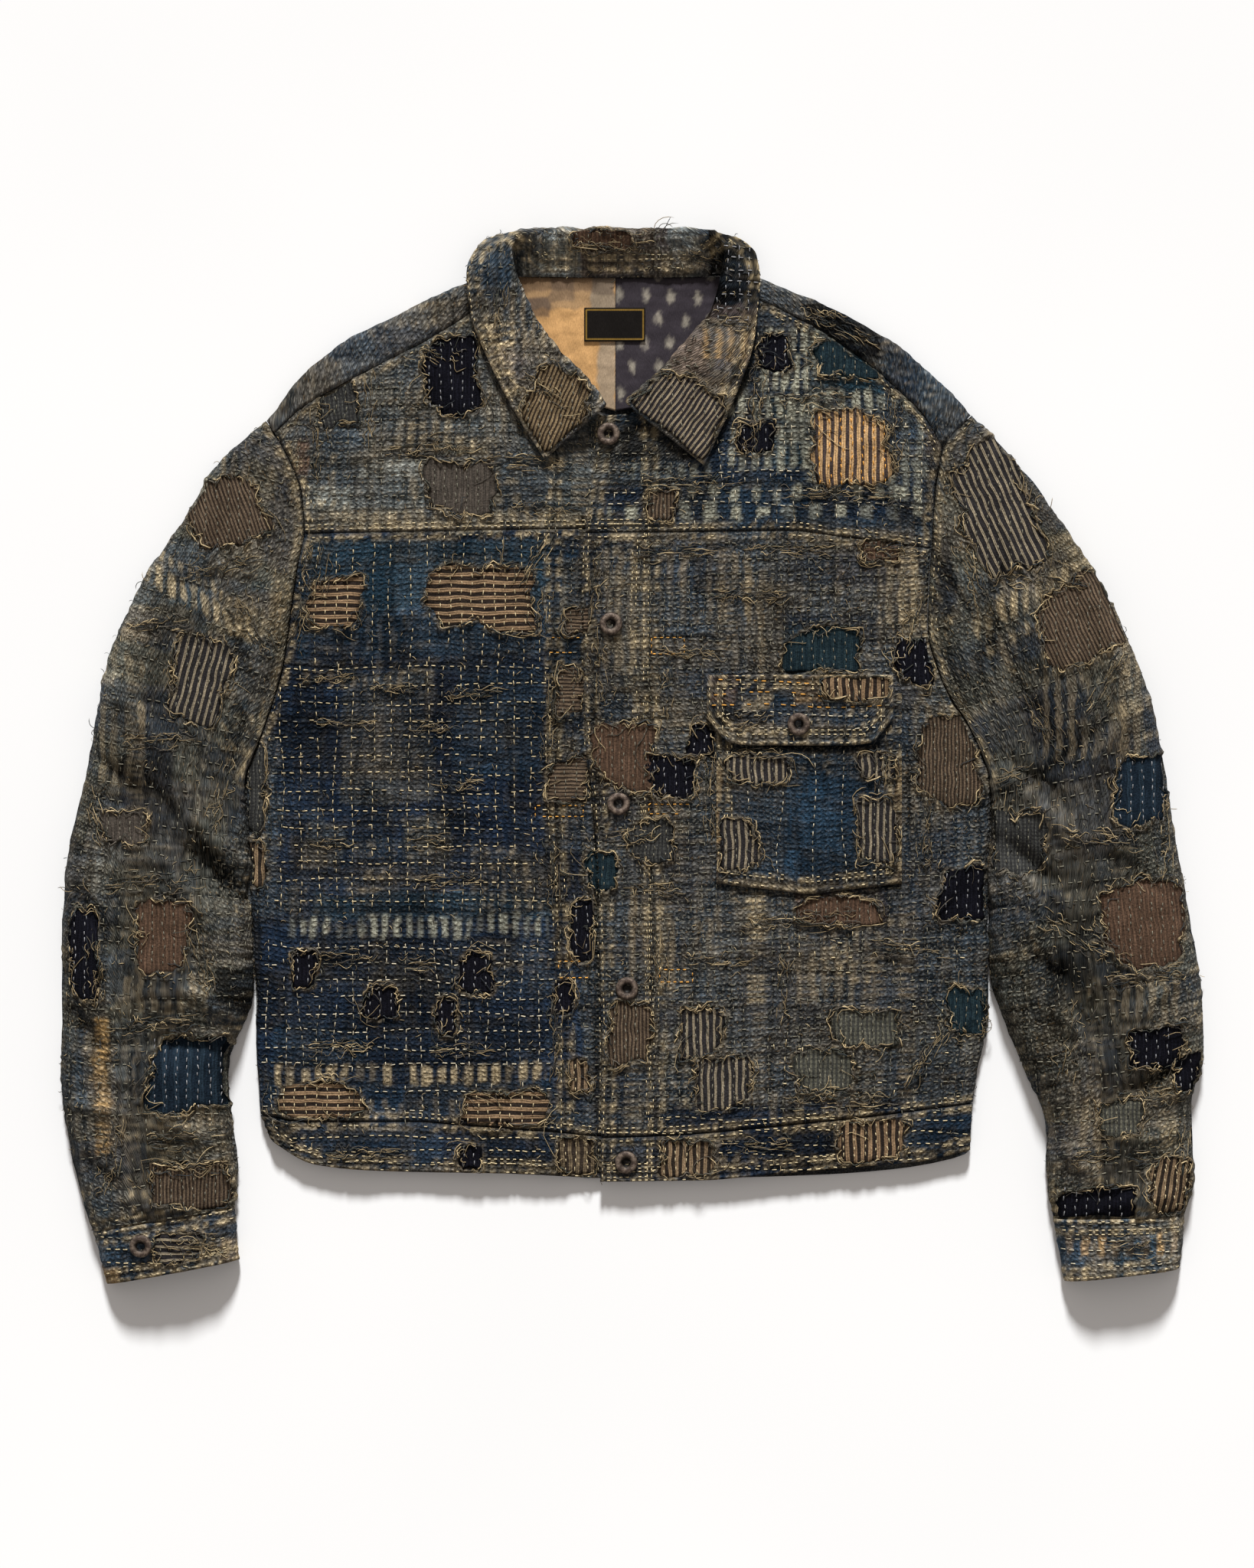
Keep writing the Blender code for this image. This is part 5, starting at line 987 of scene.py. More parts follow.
def front_height(x, y, side):
    """Top face of a front: level, plus its folds, its pleat, and the dip to the underlap."""
    level = TOP + fold_height(x, y, FOLDS["front"])
    pleat = along(PLEAT[side], y, "y", "x")
    if side == "right":
        rise = np.clip((pleat - x) / PLEAT_RUN + 0.5, 0, 1)
        return level + PLEAT_STEP * rise
    edge = along(FRONT_EDGE, y, "y", "x")
    drop = np.clip((x - pleat) / PLEAT_RUN + 0.5, 0, 1)
    under = np.clip((x - pleat) / (edge - DIP_END - pleat), 0, 1)
    return level - PLEAT_STEP * drop - (level - PLEAT_STEP - UNDERLAP_TOP) * under


def front_columns(side, y, edge_x, span=1.0):
    """Plan X of each column from the side fold to the front edge, at one height."""
    inward = 1 if side == "left" else -1
    arc = [edge_x + inward * FOLD * (1 - math.cos(math.radians(turn))) for turn in ARC]
    pleat = float(along(PLEAT[side], y, "y", "x"))
    front = float(along(FRONT_EDGE, y, "y", "x"))
    first, last = arc[-1], pleat - inward * PLEAT_RUN
    middle = [first + (last - first) * share for share in FRONT_SHARES]
    slope = [pleat - inward * PLEAT_RUN / 2, pleat + inward * PLEAT_RUN / 2]
    if side == "left":
        tail = [front - DIP_END, front + UNDERLAP * span]
    else:
        tail = [pleat * 0.45 + front * 0.55, front]
    return np.array(arc + middle + slope + tail)


def roll_side(z):
    """Carry the first columns of a row round the fold at the side, down to the side seam."""
    turn = np.radians(ARC)
    z[:len(ARC)] = FOLD + SEAM / 2 + (z[len(ARC) - 1] - FOLD - SEAM / 2) * np.sin(turn)


def front_panel(side):
    """Main front, waist seam to yoke seam, with its rolled side below the underarm."""
    edge = body_edge(side)[:len(SIDE[side])]
    inward = 1 if side == "left" else -1
    rows = []
    for number, (edge_x, edge_y) in enumerate(edge):
        x = front_columns(side, edge_y, edge_x)
        y = np.full(len(x), edge_y)
        if number == 0:
            y = along(WAIST_SEAM[side], x, "x", "y") + SEAM / 2
        if number == len(edge) - 1:
            y = along(YOKE_SEAM[side], x, "x", "y") - SEAM / 2
        z = front_height(x, y, side)
        if number <= UNDERARM_ROW:
            roll_side(z)
        else:
            x[:len(ARC)] = edge_x + inward * FOLD * np.linspace(0, 1, len(ARC))
        rows.append(np.stack([x, y, z], axis=1))
    return facing(np.array(rows), up=True)


def yoke_edge(side):
    """Top edge of a front yoke in plan: along the shoulder strip, then down the neckline."""
    strip = [(row.seam_x, row.seam_y) for row in SHOULDER[side]]
    neck = [tuple(point) for point in NECKLINE[side]]
    end = (FRONT_EDGE[-1].x, FRONT_EDGE[-1].y)
    if side == "left":
        end = (end[0] + UNDERLAP / 2, end[1] - DIP_END)
    points = np.array(strip + neck + [end])
    inward = -SEAM / 2 if side == "left" else SEAM / 2
    return shift_seam(points, inward)


def front_yoke(side):
    """Front yoke: a fan of columns from the yoke seam to the shoulder strip and neckline."""
    upper = yoke_edge(side)
    start = len(SIDE[side]) - 1
    armhole_edge = body_edge(side)[start:-1]
    edge_x, edge_y = armhole_edge[0]
    x = front_columns(side, edge_y, edge_x, span=0.9)
    x[:len(ARC)] = np.linspace(x[0], x[len(ARC) - 1], len(ARC))
    x = x[[0] + list(range(2, len(x)))]
    lower = np.stack([x, along(YOKE_SEAM[side], x, "x", "y") + SEAM / 2], axis=1)
    rows = []
    for share in np.linspace(0, 1, len(armhole_edge)):
        plan = lower + (upper - lower) * share
        number = round(share * (len(armhole_edge) - 1))
        plan[0] = armhole_edge[number]
        rows.append(np.column_stack([plan, front_height(plan[:, 0], plan[:, 1], side)]))
    return facing(np.array(rows), up=True)


def waistband(side):
    """Front waistband: from the waist seam to the hem, rolled at the side as the front is."""
    edge_x, edge_y = body_edge(side)[0]
    upper_x = front_columns(side, edge_y, edge_x)
    hem_start = HEM[side][0] if side == "left" else HEM[side][-1]
    lower_x = front_columns(side, hem_start.y, hem_start.x)
    rows = []
    for share in (0.0, 0.5, 1.0):
        x = upper_x + (lower_x - upper_x) * share
        top = along(WAIST_SEAM[side], x, "x", "y") - 2 * SEAM
        y = top + (along(HEM[side], x, "x", "y") - top) * share
        z = front_height(x, y, side)
        roll_side(z)
        rows.append(np.stack([x, y, z], axis=1))
    return facing(np.array(rows), up=True)


def across_back(left_x, right_x, rolled):
    """Columns of a back piece: a rolled side, shares of the width, the other rolled side."""
    turn = np.radians(ARC)
    offset = FOLD * (1 - np.cos(turn)) if rolled else np.linspace(0, FOLD, len(ARC))
    rise = FOLD * (1 - np.sin(turn)) - SEAM / 2 * np.cos(turn) if rolled else np.zeros(len(ARC))
    middle = left_x + FOLD + (right_x - left_x - 2 * FOLD) * np.array(BACK_SHARES)
    x = np.concatenate([left_x + offset, middle, (right_x - offset)[::-1]])
    z = np.concatenate([rise, np.zeros(len(middle)), rise[::-1]])
    return x, z


def back_panel():
    """Back below its yoke: flat on the surface, its sides rolled up to the side seams."""
    left, right = body_edge("left"), body_edge("right")
    rows = []
    for number in range(len(SIDE["left"])):
        x, z = across_back(left[number][0], right[number][0], number <= UNDERARM_ROW)
        share = (x - x[0]) / (x[-1] - x[0])
        y = left[number][1] + (right[number][1] - left[number][1]) * share
        if UNDERARM_GAP[0] < y.mean() < UNDERARM_GAP[1]:
            x[[0, -1]] += (-UNDERARM_STEP, UNDERARM_STEP)
        if number == 0:
            y += SEAM / 2
        if number == len(SIDE["left"]) - 1:
            y -= SEAM / 2
        rows.append(np.stack([x, y, z], axis=1))
    return facing(np.array(rows), up=False)


def back_waistband():
    """Back waistband: flat, its ends rolled up to the front waistbands."""
    left, right = body_edge("left")[0], body_edge("right")[0]
    upper_x, rise = across_back(left[0], right[0], True)
    lower_x, _ = across_back(HEM["left"][0].x, HEM["right"][-1].x, True)
    share = (upper_x - upper_x[0]) / (upper_x[-1] - upper_x[0])
    top = left[1] + (right[1] - left[1]) * share - 2 * SEAM
    low_left, low_right = HEM["left"][0].y, HEM["right"][-1].y
    sag = HEM_SAG * np.sqrt(np.clip(1 - (2 * share - 1) ** 2, 0, 1))
    low = low_left + (low_right - low_left) * share - sag
    rows = []
    for step in (0.0, 0.5, 1.0):
        x = upper_x + (lower_x - upper_x) * step
        rows.append(np.stack([x, top + (low - top) * step, rise], axis=1))
    return facing(np.array(rows), up=False)


def strip_columns(side):
    """A shoulder strip's columns, armhole to neck: back edge, fold around, front seam."""
    armhole_shift = body_edge(side)
    seam = np.array([(row.seam_x, row.seam_y) for row in SHOULDER[side]], float)
    edge = np.array([(row.edge_x, row.edge_y) for row in SHOULDER[side]], float)
    outward = SEAM / 2 if side == "left" else -SEAM / 2
    seam = shift_seam(seam, outward)
    seam[0] = armhole_shift[-2] + (seam[0] - armhole_shift[-2]) * 0.6
    edge[0] = armhole_shift[-1]
    inward = unit(seam - edge)
    columns = []
    for seam_point, edge_point, heading in zip(seam, edge, inward):
        around = []
        for turn in (-90, -50, -20, 20, 50, 90):
            plan = edge_point + heading * FOLD * (1 - math.cos(math.radians(turn)))
            around.append((*plan, FOLD + FOLD * math.sin(math.radians(turn))))
        around.append((*seam_point, TOP))
        columns.append(around)
    return np.array(columns)


def back_yoke():
    """Back yoke: flat from its seam to the shoulders, where it folds over to the front.

    Gives its grid with its flat part facing down, and the cells of it that are cloth.
    """
    left, right = strip_columns("left"), strip_columns("right")[::-1]
    neck_x = np.linspace(left[-1][0][0], right[0][0][0], 6)[1:-1]
    neck = np.zeros((len(neck_x), left.shape[1], 3))
    neck[:, :, 0] = neck_x[:, None]
    neck[:, :, 1] = LINING_TOP
    columns = np.concatenate([left, neck, right])
    count = len(columns)
    start = len(SIDE["left"]) - 1
    left_edge, right_edge = body_edge("left")[start:-1], body_edge("right")[start:-1]
    bottom = len(left_edge)
    share = np.linspace(0, 1, count)
    low_x = left_edge[0][0] + (right_edge[0][0] - left_edge[0][0]) * share
    low_y = left_edge[0][1] + (right_edge[0][1] - left_edge[0][1]) * share + SEAM / 2
    rows = []
    for number in range(bottom):
        step = number / (bottom - 0.4)
        x = low_x + (columns[:, 0, 0] - low_x) * step
        y = low_y + (columns[:, 0, 1] - low_y) * step
        if number:
            x[0], y[0] = left_edge[number]
            x[-1], y[-1] = right_edge[number]
        rows.append(np.stack([x, y, np.zeros(count)], axis=1))
    grid = np.array(rows + [columns[:, level] for level in range(columns.shape[1])])
    keep = np.ones((grid.shape[0] - 1, count - 1), bool)
    keep[bottom:, len(left) - 1:count - len(right)] = False
    for level in range(bottom + 1, grid.shape[0]):
        lift = (level - bottom) * TURN_STEP
        grid[level, len(left):count - len(right), 1] += lift
    if normals_of(grid)[1, :, 2].mean() < 0:
        return grid, keep
    return grid[:, ::-1], keep[:, ::-1]


def spread(width, shares, outer_round, inner_round):
    """Distances from the outer end for each column: round end, shares between, round end."""
    turn = 1 - np.cos(np.radians(ARC))
    middle = outer_round + (width - outer_round - inner_round) * shares
    return np.concatenate([outer_round * turn, middle, (width - inner_round * turn)[::-1]])


def arm_grid(side, ribs, upper, folds=()):
    """A sleeve's upper or under panel: each rib is a round end, a level crown, a round end.

    The first rib is the armhole. The others sag towards the cuff and straighten below.
    The under panel is flat on the surface between its round ends.
    """
    away = SEAM / 2 + ARMHOLE_GAP
    line = shift_seam(armhole(side), -away if side == "left" else away)
    steps = np.concatenate([[0], np.cumsum(np.linalg.norm(np.diff(line, axis=0), axis=1))])
    shares = (steps[1:-1] - FOLD) / (steps[-1] - 2 * FOLD)
    rows = []
    for number, rib in enumerate(ribs):
        outer_round = rib.outer_round if upper else FOLD
        inner_round = rib.inner_round if upper else FOLD
        start, end = np.array([rib.outer_x, rib.outer_y]), np.array([rib.inner_x, rib.inner_y])
        at_armhole = ribs is SLEEVE[side] and number == 0
        width = steps[-1] if at_armhole else float(np.linalg.norm(end - start))
        distance = spread(width, shares, outer_round, inner_round)
        share = distance / width
        if at_armhole:
            plan = np.stack([np.interp(distance, steps, line[:, axis]) for axis in (0, 1)], axis=1)
        else:
            heading = (end - start) / width
            down = np.array([heading[1], -heading[0]]) * (1 if side == "left" else -1)
            sag = rib.sag * 2 * share * (1 - share)
            plan = start + (end - start) * share[:, None] + down * sag[:, None]
        out = np.sqrt(1 - (1 - np.clip(distance / outer_round, 0, 1)) ** 2)
        into = np.sqrt(1 - (1 - np.clip((width - distance) / inner_round, 0, 1)) ** 2)
        round_off = out * into
        if upper:
            crown = 0 if at_armhole else CROWN * (1 - (2 * share - 1) ** 2)
            lift = 0 if at_armhole else fold_height(plan[:, 0], plan[:, 1], folds) * round_off
            z = FOLD + SEAM / 2 + (rib.height + crown - FOLD - SEAM / 2) * round_off + lift
        else:
            z = (FOLD - SEAM / 2) * (1 - round_off)
        rows.append(np.column_stack([plan, z]))
    return np.array(rows)


def inset_ends(grid, top, bottom):
    """Move the first and last rows towards their neighbours, to open a seam there."""
    grid = grid.copy()
    if top:
        grid[0] += unit(grid[1] - grid[0]) * top
    if bottom:
        grid[-1] += unit(grid[-2] - grid[-1]) * bottom
    return grid


def clear_side(grid, side):
    """Move a sleeve grid below its armhole away from the body by a seam."""
    grid = grid.copy()
    grid[1:, :, 0] += -SEAM if side == "left" else SEAM
    return grid


def sleeve(side, upper):
    """One sleeve panel, armhole to cuff seam."""
    grid = arm_grid(side, SLEEVE[side], upper, FOLDS["sleeve_" + side])
    grid = inset_ends(clear_side(grid, side), 0, SEAM / 2)
    return facing(grid, up=upper)


def cuff(side):
    """A cuff: the upper and under halves of each rib joined into one ring."""
    over = arm_grid(side, CUFF[side], True)
    under = arm_grid(side, CUFF[side], False)
    ring = np.concatenate([over, under[:, ::-1][:, 1:-1]], axis=1)
    ring = inset_ends(clear_side(ring, side), SEAM / 2, 0)
    outward = normals_of(ring, closed=True)[:, len(ARC) + 3, 2].mean()
    return ring if outward > 0 else ring[:, ::-1]


def collar():
    """The collar: each row goes from the neck seam up the stand, over the roll and down."""
    rows = []
    for row in COLLAR:
        base = np.array([row.base_x, row.base_y, row.base_z])
        fold = np.array([row.fold_x, row.fold_y, row.fold_z])
        edge = np.array([row.edge_x, row.edge_y, row.edge_z])
        beyond = unit(fold - (base + edge) / 2)
        apart = unit(np.cross(beyond, np.cross(edge - base, beyond)))
        stand, fall = fold - apart * COLLAR_ROLL, fold + apart * COLLAR_ROLL
        back = beyond * COLLAR_ROLL
        rows.append([base, (base * 0.55 + (stand - back) * 0.45), stand - back,
                     fold - apart * COLLAR_ROLL * 0.8 + back * 0.4, fold + back,
                     fold + apart * COLLAR_ROLL * 0.8 + back * 0.4, fall - back,
                     (edge * 0.5 + (fall - back) * 0.5), edge])
    middle = np.array(rows)
    outward = normals_of(middle)
    if outward[len(COLLAR) // 2, 2, 2] < 0:
        middle = middle[:, ::-1]
        outward = normals_of(middle)
    return middle + outward * CLOTH / 2


def flat_piece(left, right, lower, upper, level, puff=0.0, columns=7, rows=5):
    """A small piece on a front: columns between two sides, rows between two edge functions."""
    across = np.linspace(0, 1, columns)
    x = left + (right - left) * across
    grid = []
    for share in np.linspace(0, 1, rows):
        y = lower(across) + (upper(across) - lower(across)) * share
        z = level + puff * np.sin(np.pi * across) * np.sin(np.pi * share)
        grid.append(np.stack([x, y, z + np.zeros(columns)], axis=1))
    return facing(np.array(grid), up=True)


def pocket():
    """Patch pocket with a shallow point, its upper edge under the flap."""
    def lower(share):
        return POCKET_CORNER + (POCKET_POINT - POCKET_CORNER) * (1 - np.abs(2 * share - 1))

    def upper(share):
        return POCKET_TOP + 0 * share

    return flat_piece(POCKET_LEFT, POCKET_RIGHT, lower, upper, TOP + SEAM + TRIM, POCKET_PUFF)


def pocket_flap():
    """Flap with cut lower corners, lying on the pocket."""
    cut = FLAP_CUT / (FLAP_RIGHT - FLAP_LEFT)

    def lower(share):
        near = np.minimum(share, 1 - share)
        return FLAP_BOTTOM + (FLAP_CORNER - FLAP_BOTTOM) * np.clip(1 - near / cut, 0, 1)

    def upper(share):
        return FLAP_TOP + 0 * share

    level = TOP + 2 * (SEAM + TRIM) + POCKET_PUFF * 0.8
    return flat_piece(FLAP_LEFT, FLAP_RIGHT, lower, upper, level, 0.5, columns=9, rows=4)


def neck_lining(side):
    """Half of the back neck lining, as far as it shows, on the back yoke."""
    left = LINING_LOWER[side][0].x
    right = LINING_LOWER[side][-1].x
    if side == "left":
        right = LINING_SEAM_X - SEAM / 2
    else:
        left = LINING_SEAM_X + SEAM / 2

    def lower(share):
        return along(LINING_LOWER[side], left + (right - left) * share, "x", "y")

    def upper(share):
        return LINING_TOP + 0 * share

    seen = flat_piece(left, right, lower, upper, CLOTH + SEAM + LINING, 0.0, 6, 3)
    return np.concatenate([seen, [seen[-1] + step for step in LINING_HIDDEN]])


def neck_label():
    """Plain woven label on the lining."""
    left, right, bottom, top = LABEL
    level = CLOTH + 2 * (SEAM + LINING)
    return flat_piece(left, right, lambda share: bottom + 0 * share,
                      lambda share: top + 0 * share, level, 0.0, 3, 3)


# ---------------------------------------------------------------- finishes

def make(tree, kind, **values):
    """A shader node with its inputs and settings given by name."""
    made = tree.nodes.new("ShaderNode" + kind)
    for name, value in values.items():
        label = name.replace("_", " ")
        if label in made.inputs:
            made.inputs[label].default_value = value
        else:
            setattr(made, name, value)
    return made


def painted(tree, name, output="Color"):
    """An attribute of the mesh."""
    return make(tree, "Attribute", attribute_name=name).outputs[output]


def weave_of(tree):
    """Place on the cloth, along and across its weave, m."""
    return make(tree, "UVMap", uv_map="weave").outputs["UV"]


def place_of(tree):
    """Place in the piece's own space, m."""
    return make(tree, "TexCoord").outputs["Object"]


def grain(tree, coordinates, scale, stretch=(1, 1, 1), detail=1.0):
    """Noise with its features a metre over the scale long, drawn out along some axes."""
    mapping = make(tree, "Mapping", Scale=stretch)
    tree.links.new(coordinates, mapping.inputs["Vector"])
    noise = make(tree, "TexNoise", Scale=scale, Detail=detail, Roughness=0.6)
    tree.links.new(mapping.outputs["Vector"], noise.inputs["Vector"])
    return noise.outputs["Fac"]


def between(tree, value, low, high, to_low=0.0, to_high=1.0):
    """The value from one range to another, held at its ends."""
    made = make(tree, "MapRange")
    for name, number in (("From Min", low), ("From Max", high), ("To Min", to_low),
                         ("To Max", to_high)):
        made.inputs[name].default_value = number
    tree.links.new(value, made.inputs["Value"])
    return made.outputs["Result"]


def sum_of(tree, first, second, operation="ADD", clamp=False):
    """Arithmetic on two values, either of which may be a number."""
    made = make(tree, "Math", operation=operation, use_clamp=clamp)
    for place, value in enumerate((first, second)):
        if isinstance(value, (int, float)):
            made.inputs[place].default_value = value
        else:
            tree.links.new(value, made.inputs[place])
    return made.outputs["Value"]


def times(tree, first, second, clamp=False):
    """Product of two values, either of which may be a number."""
    return sum_of(tree, first, second, "MULTIPLY", clamp)


def mixed(tree, factor, first, second, blend="MIX"):
    """Two colours mixed; each may be a socket or a plain colour."""
    made = make(tree, "Mix", data_type="RGBA", blend_type=blend)
    for place, value in ((0, factor), (6, first), (7, second)):
        if isinstance(value, (int, float)):
            made.inputs[place].default_value = value
        elif isinstance(value, (tuple, list, np.ndarray)):
            made.inputs[place].default_value = (*map(float, value[:3]), 1.0)
        else:
            tree.links.new(value, made.inputs[place])
    return made.outputs[2]


def cloth_base(name, sheen):
    """A new matt cloth material, with its tree and its shader."""
    made = bpy.data.materials.new(name)
    made.use_nodes = True
    tree = made.node_tree
    shader = tree.nodes["Principled BSDF"]
    shader.inputs["Roughness"].default_value = 0.96
    shader.inputs["Specular IOR Level"].default_value = 0.04
    shader.inputs["Sheen Weight"].default_value = sheen
    shader.inputs["Sheen Roughness"].default_value = 0.6
    return made, tree, shader


def raise_cloth(tree, shader, height, distance):
    """Bump from a height socket, its full height given in metres."""
    bump = make(tree, "Bump", Strength=1.0, Distance=distance)
    tree.links.new(height, bump.inputs["Height"])
    tree.links.new(bump.outputs["Normal"], shader.inputs["Normal"])


def knots(tree, weave, wide, high):
    """Rows and columns of raised knots: a wave each way, bent a little, one by the other."""
    place = make(tree, "SeparateXYZ")
    tree.links.new(weave, place.inputs["Vector"])
    bend = times(tree, grain(tree, weave, 70), 9.0)
    waves = []
    for axis, size in (("X", wide), ("Y", high)):
        turned = sum_of(tree, times(tree, place.outputs[axis], 2 * math.pi / size / MM), bend)
        waves.append(between(tree, sum_of(tree, turned, 0, "SINE"), -0.6, 0.9))
    return times(tree, *waves)


def worn_cloth(name):
    """Thick worn weave: painted tone, with the painted light and shade in it, slubs both ways,
    knots in rows, pale and rusty fibres.
    """
    made, tree, shader = cloth_base(name, 0.008)
    weave = weave_of(tree)
    tone = painted(tree, "tone")
    yarn = painted(tree, "yarn", "Fac")
    fleck = grain(tree, weave, 560, detail=2.0)
    curl = grain(tree, weave, 330, (1, 1.25, 1), 1.0)
    warp = grain(tree, weave, 620, (1, 0.14, 1), 1.0)
    weft = grain(tree, weave, 620, (0.14, 1, 1), 1.0)
    slub = times(tree, warp, weft)
    knot = knots(tree, weave, 4.7, 3.9)
    region = between(tree, grain(tree, weave, 26, detail=1.0), 0.4, 0.62, 0.25, 1.0)
    shade = times(tree, between(tree, fleck, 0.3, 0.7, 0.66, 1.36),
                  between(tree, slub, 0.15, 0.36, 0.72, 1.3))
    shade = times(tree, shade, between(tree, curl, 0.3, 0.7, 0.86, 1.14))
    knotty = times(tree, between(tree, knot, 0.0, 0.8, -0.34, 0.4),
                   between(tree, yarn, 0.0, 0.7, 0.35, 1.0))
    shade = times(tree, shade, sum_of(tree, knotty, 1.0))
    cloth = mixed(tree, 1.0, tone, shade, "MULTIPLY")
    dots = times(tree, times(tree, between(tree, knot, 0.45, 0.85), region),
                 times(tree, yarn, 0.5), True)
    cloth = mixed(tree, dots, cloth, linear((132, 128, 112)))
    light = times(tree, between(tree, grain(tree, weave, 620, detail=0.5), 0.57, 0.66), yarn, True)
    cloth = mixed(tree, times(tree, light, 0.34), cloth, linear((150, 146, 134)))
    rust = times(tree, between(tree, grain(tree, weave, 410, detail=0.5), 0.66, 0.72), yarn, True)
    cloth = mixed(tree, times(tree, rust, 0.4), cloth, linear((140, 112, 72)))
    tree.links.new(cloth, shader.inputs["Base Color"])
    raise_cloth(tree, shader, sum_of(tree, sum_of(tree, fleck, knot),
                                     sum_of(tree, slub, curl)), 0.0010)
    return made


def studio_floor():
    """Pale matt floor with a faint mottle."""
    made, tree, shader = cloth_base("studio floor", 0.0)
    mottle = between(tree, grain(tree, place_of(tree), 3.0), 0.3, 0.7, 0.955, 0.975)
    tree.links.new(mixed(tree, 1.0, (1.0, 1.0, 1.0), mottle, "MULTIPLY"),
                   shader.inputs["Base Color"])
    return made


def patch_cloth(name):
    """Older cloth let into holes: woven stripes both ways, faded, with slubs along them."""
    made, tree, shader = cloth_base(name, 0.0)
    weave = weave_of(tree)
    light = painted(tree, "light")
    dark = painted(tree, "dark")
    beat = make(tree, "SeparateColor")
    tree.links.new(painted(tree, "beat"), beat.inputs["Color"])
    period = times(tree, beat.outputs["Red"], 10 * MM)
    place = make(tree, "SeparateXYZ")
    tree.links.new(weave, place.inputs["Vector"])
    stripes = []
    for axis in ("X", "Y"):
        turns = sum_of(tree, sum_of(tree, place.outputs[axis], period, "DIVIDE"), 400.0)
        part = sum_of(tree, turns, 1.0, "MODULO")
        off = times(tree, sum_of(tree, part, 0.5, "SUBTRACT"), 2.0)
        away = sum_of(tree, sum_of(tree, off, 0, "ABSOLUTE"), beat.outputs["Green"], "SUBTRACT")
        middle = sum_of(tree, sum_of(tree, off, 0, "ABSOLUTE"), 0.92, "SUBTRACT")
        stripes.append(sum_of(tree, between(tree, away, -0.1, 0.1, 1.0, 0.0),
                              between(tree, middle, -0.06, 0.06, 0.0, 0.45)))
    crossed = times(tree, stripes[1], beat.outputs["Blue"])
    share = sum_of(tree, times(tree, stripes[0], 0.95), times(tree, crossed, 0.5), clamp=True)
    cloth = mixed(tree, share, light, dark)
    slub = grain(tree, weave, 900, (1, 0.12, 1), 1.0)
    fleck = grain(tree, weave, 700, detail=2.0)
    fade = grain(tree, weave, 60, detail=2.0)
    shade = times(tree, between(tree, slub, 0.3, 0.7, 0.72, 1.28),
                  between(tree, fleck, 0.3, 0.7, 0.7, 1.3))
    shade = times(tree, shade, between(tree, fade, 0.3, 0.7, 0.78, 1.2))
    tree.links.new(mixed(tree, 1.0, cloth, shade, "MULTIPLY"), shader.inputs["Base Color"])
    raise_cloth(tree, shader, sum_of(tree, slub, sum_of(tree, fleck, stripes[0], "SUBTRACT")),
                0.0006)
    return made


def thread_yarn(name):
    """Cotton thread in its own colour, unevenly faded."""
    made, tree, shader = cloth_base(name, 0.0)
    tone = painted(tree, "tone")
    shade = between(tree, grain(tree, place_of(tree), 900), 0.3, 0.7, 0.7, 1.25)
    tree.links.new(mixed(tree, 1.0, tone, shade, "MULTIPLY"), shader.inputs["Base Color"])
    return made


def worn_bronze(name):
    """Dark bronze, rubbed to a paler brown in spots, times its tone of painted shade and highlight.
    """
    made, tree, shader = cloth_base(name, 0.0)
    rubbed = between(tree, grain(tree, place_of(tree), 420, detail=3.0), 0.42, 0.62)
    tone = painted(tree, "tone")
    bronze = mixed(tree, rubbed, linear((70, 58, 51)), linear((124, 109, 96)))
    tree.links.new(mixed(tree, 1.0, bronze, tone, "MULTIPLY"), shader.inputs["Base Color"])
    shader.inputs["Metallic"].default_value = 0.25
    shader.inputs["Specular IOR Level"].default_value = 0.25
    tree.links.new(between(tree, rubbed, 0, 1, 0.62, 0.5), shader.inputs["Roughness"])
    return made


def soft_lining(name):
    """Smooth washed cotton: its painted tone, a fine weave and faint creases."""
    made, tree, shader = cloth_base(name, 0.02)
    weave = weave_of(tree)
    tone = painted(tree, "tone")
    thread = grain(tree, weave, 1500, (1, 0.2, 1), 1.0)
    wash = grain(tree, weave, 90, (1, 0.5, 1), 2.0)
    shade = times(tree, between(tree, thread, 0.3, 0.7, 0.86, 1.12),
                  between(tree, wash, 0.3, 0.7, 0.86, 1.12))
    tree.links.new(mixed(tree, 1.0, tone, shade, "MULTIPLY"), shader.inputs["Base Color"])
    raise_cloth(tree, shader, sum_of(tree, thread, wash), 0.0003)
    return made


# ---------------------------------------------------------------- where things lie on the cloth

def bell(value, middle, width):
    """1 at the middle, falling off on both sides like a bell."""
    return np.exp(-((value - middle) / width) ** 2)


def clamp(value):
    """The value held between 0 and 1."""
    return np.clip(value, 0, 1)


def axis_of(side):
    """A sleeve's middle line as even steps: places, headings and distances from the top."""
    points = np.array(ARM_AXIS[side], float)
    place = np.concatenate([[0], np.cumsum(np.linalg.norm(np.diff(points, axis=0), axis=1))])
    at = np.arange(0, place[-1], 4.0)
    drawn = monotone(place, points[:, None, :], at)[:, 0]
    heading = unit(np.gradient(drawn, axis=0))
    return drawn, heading, at


def to_local(zone, x, y):
    """Across and along coordinates: the sleeve's own on a sleeve, plan ones elsewhere."""
    if not zone.startswith("arm"):
        return x, -y
    drawn, heading, at = axis_of(zone[4:])
    key = -drawn[:, 1]
    mid_x, far = np.interp(-y, key, drawn[:, 0]), np.interp(-y, key, at)
    head_x, head_y = np.interp(-y, key, heading[:, 0]), np.interp(-y, key, heading[:, 1])
    return -(x - mid_x) * head_y, far + (x - mid_x) * head_x


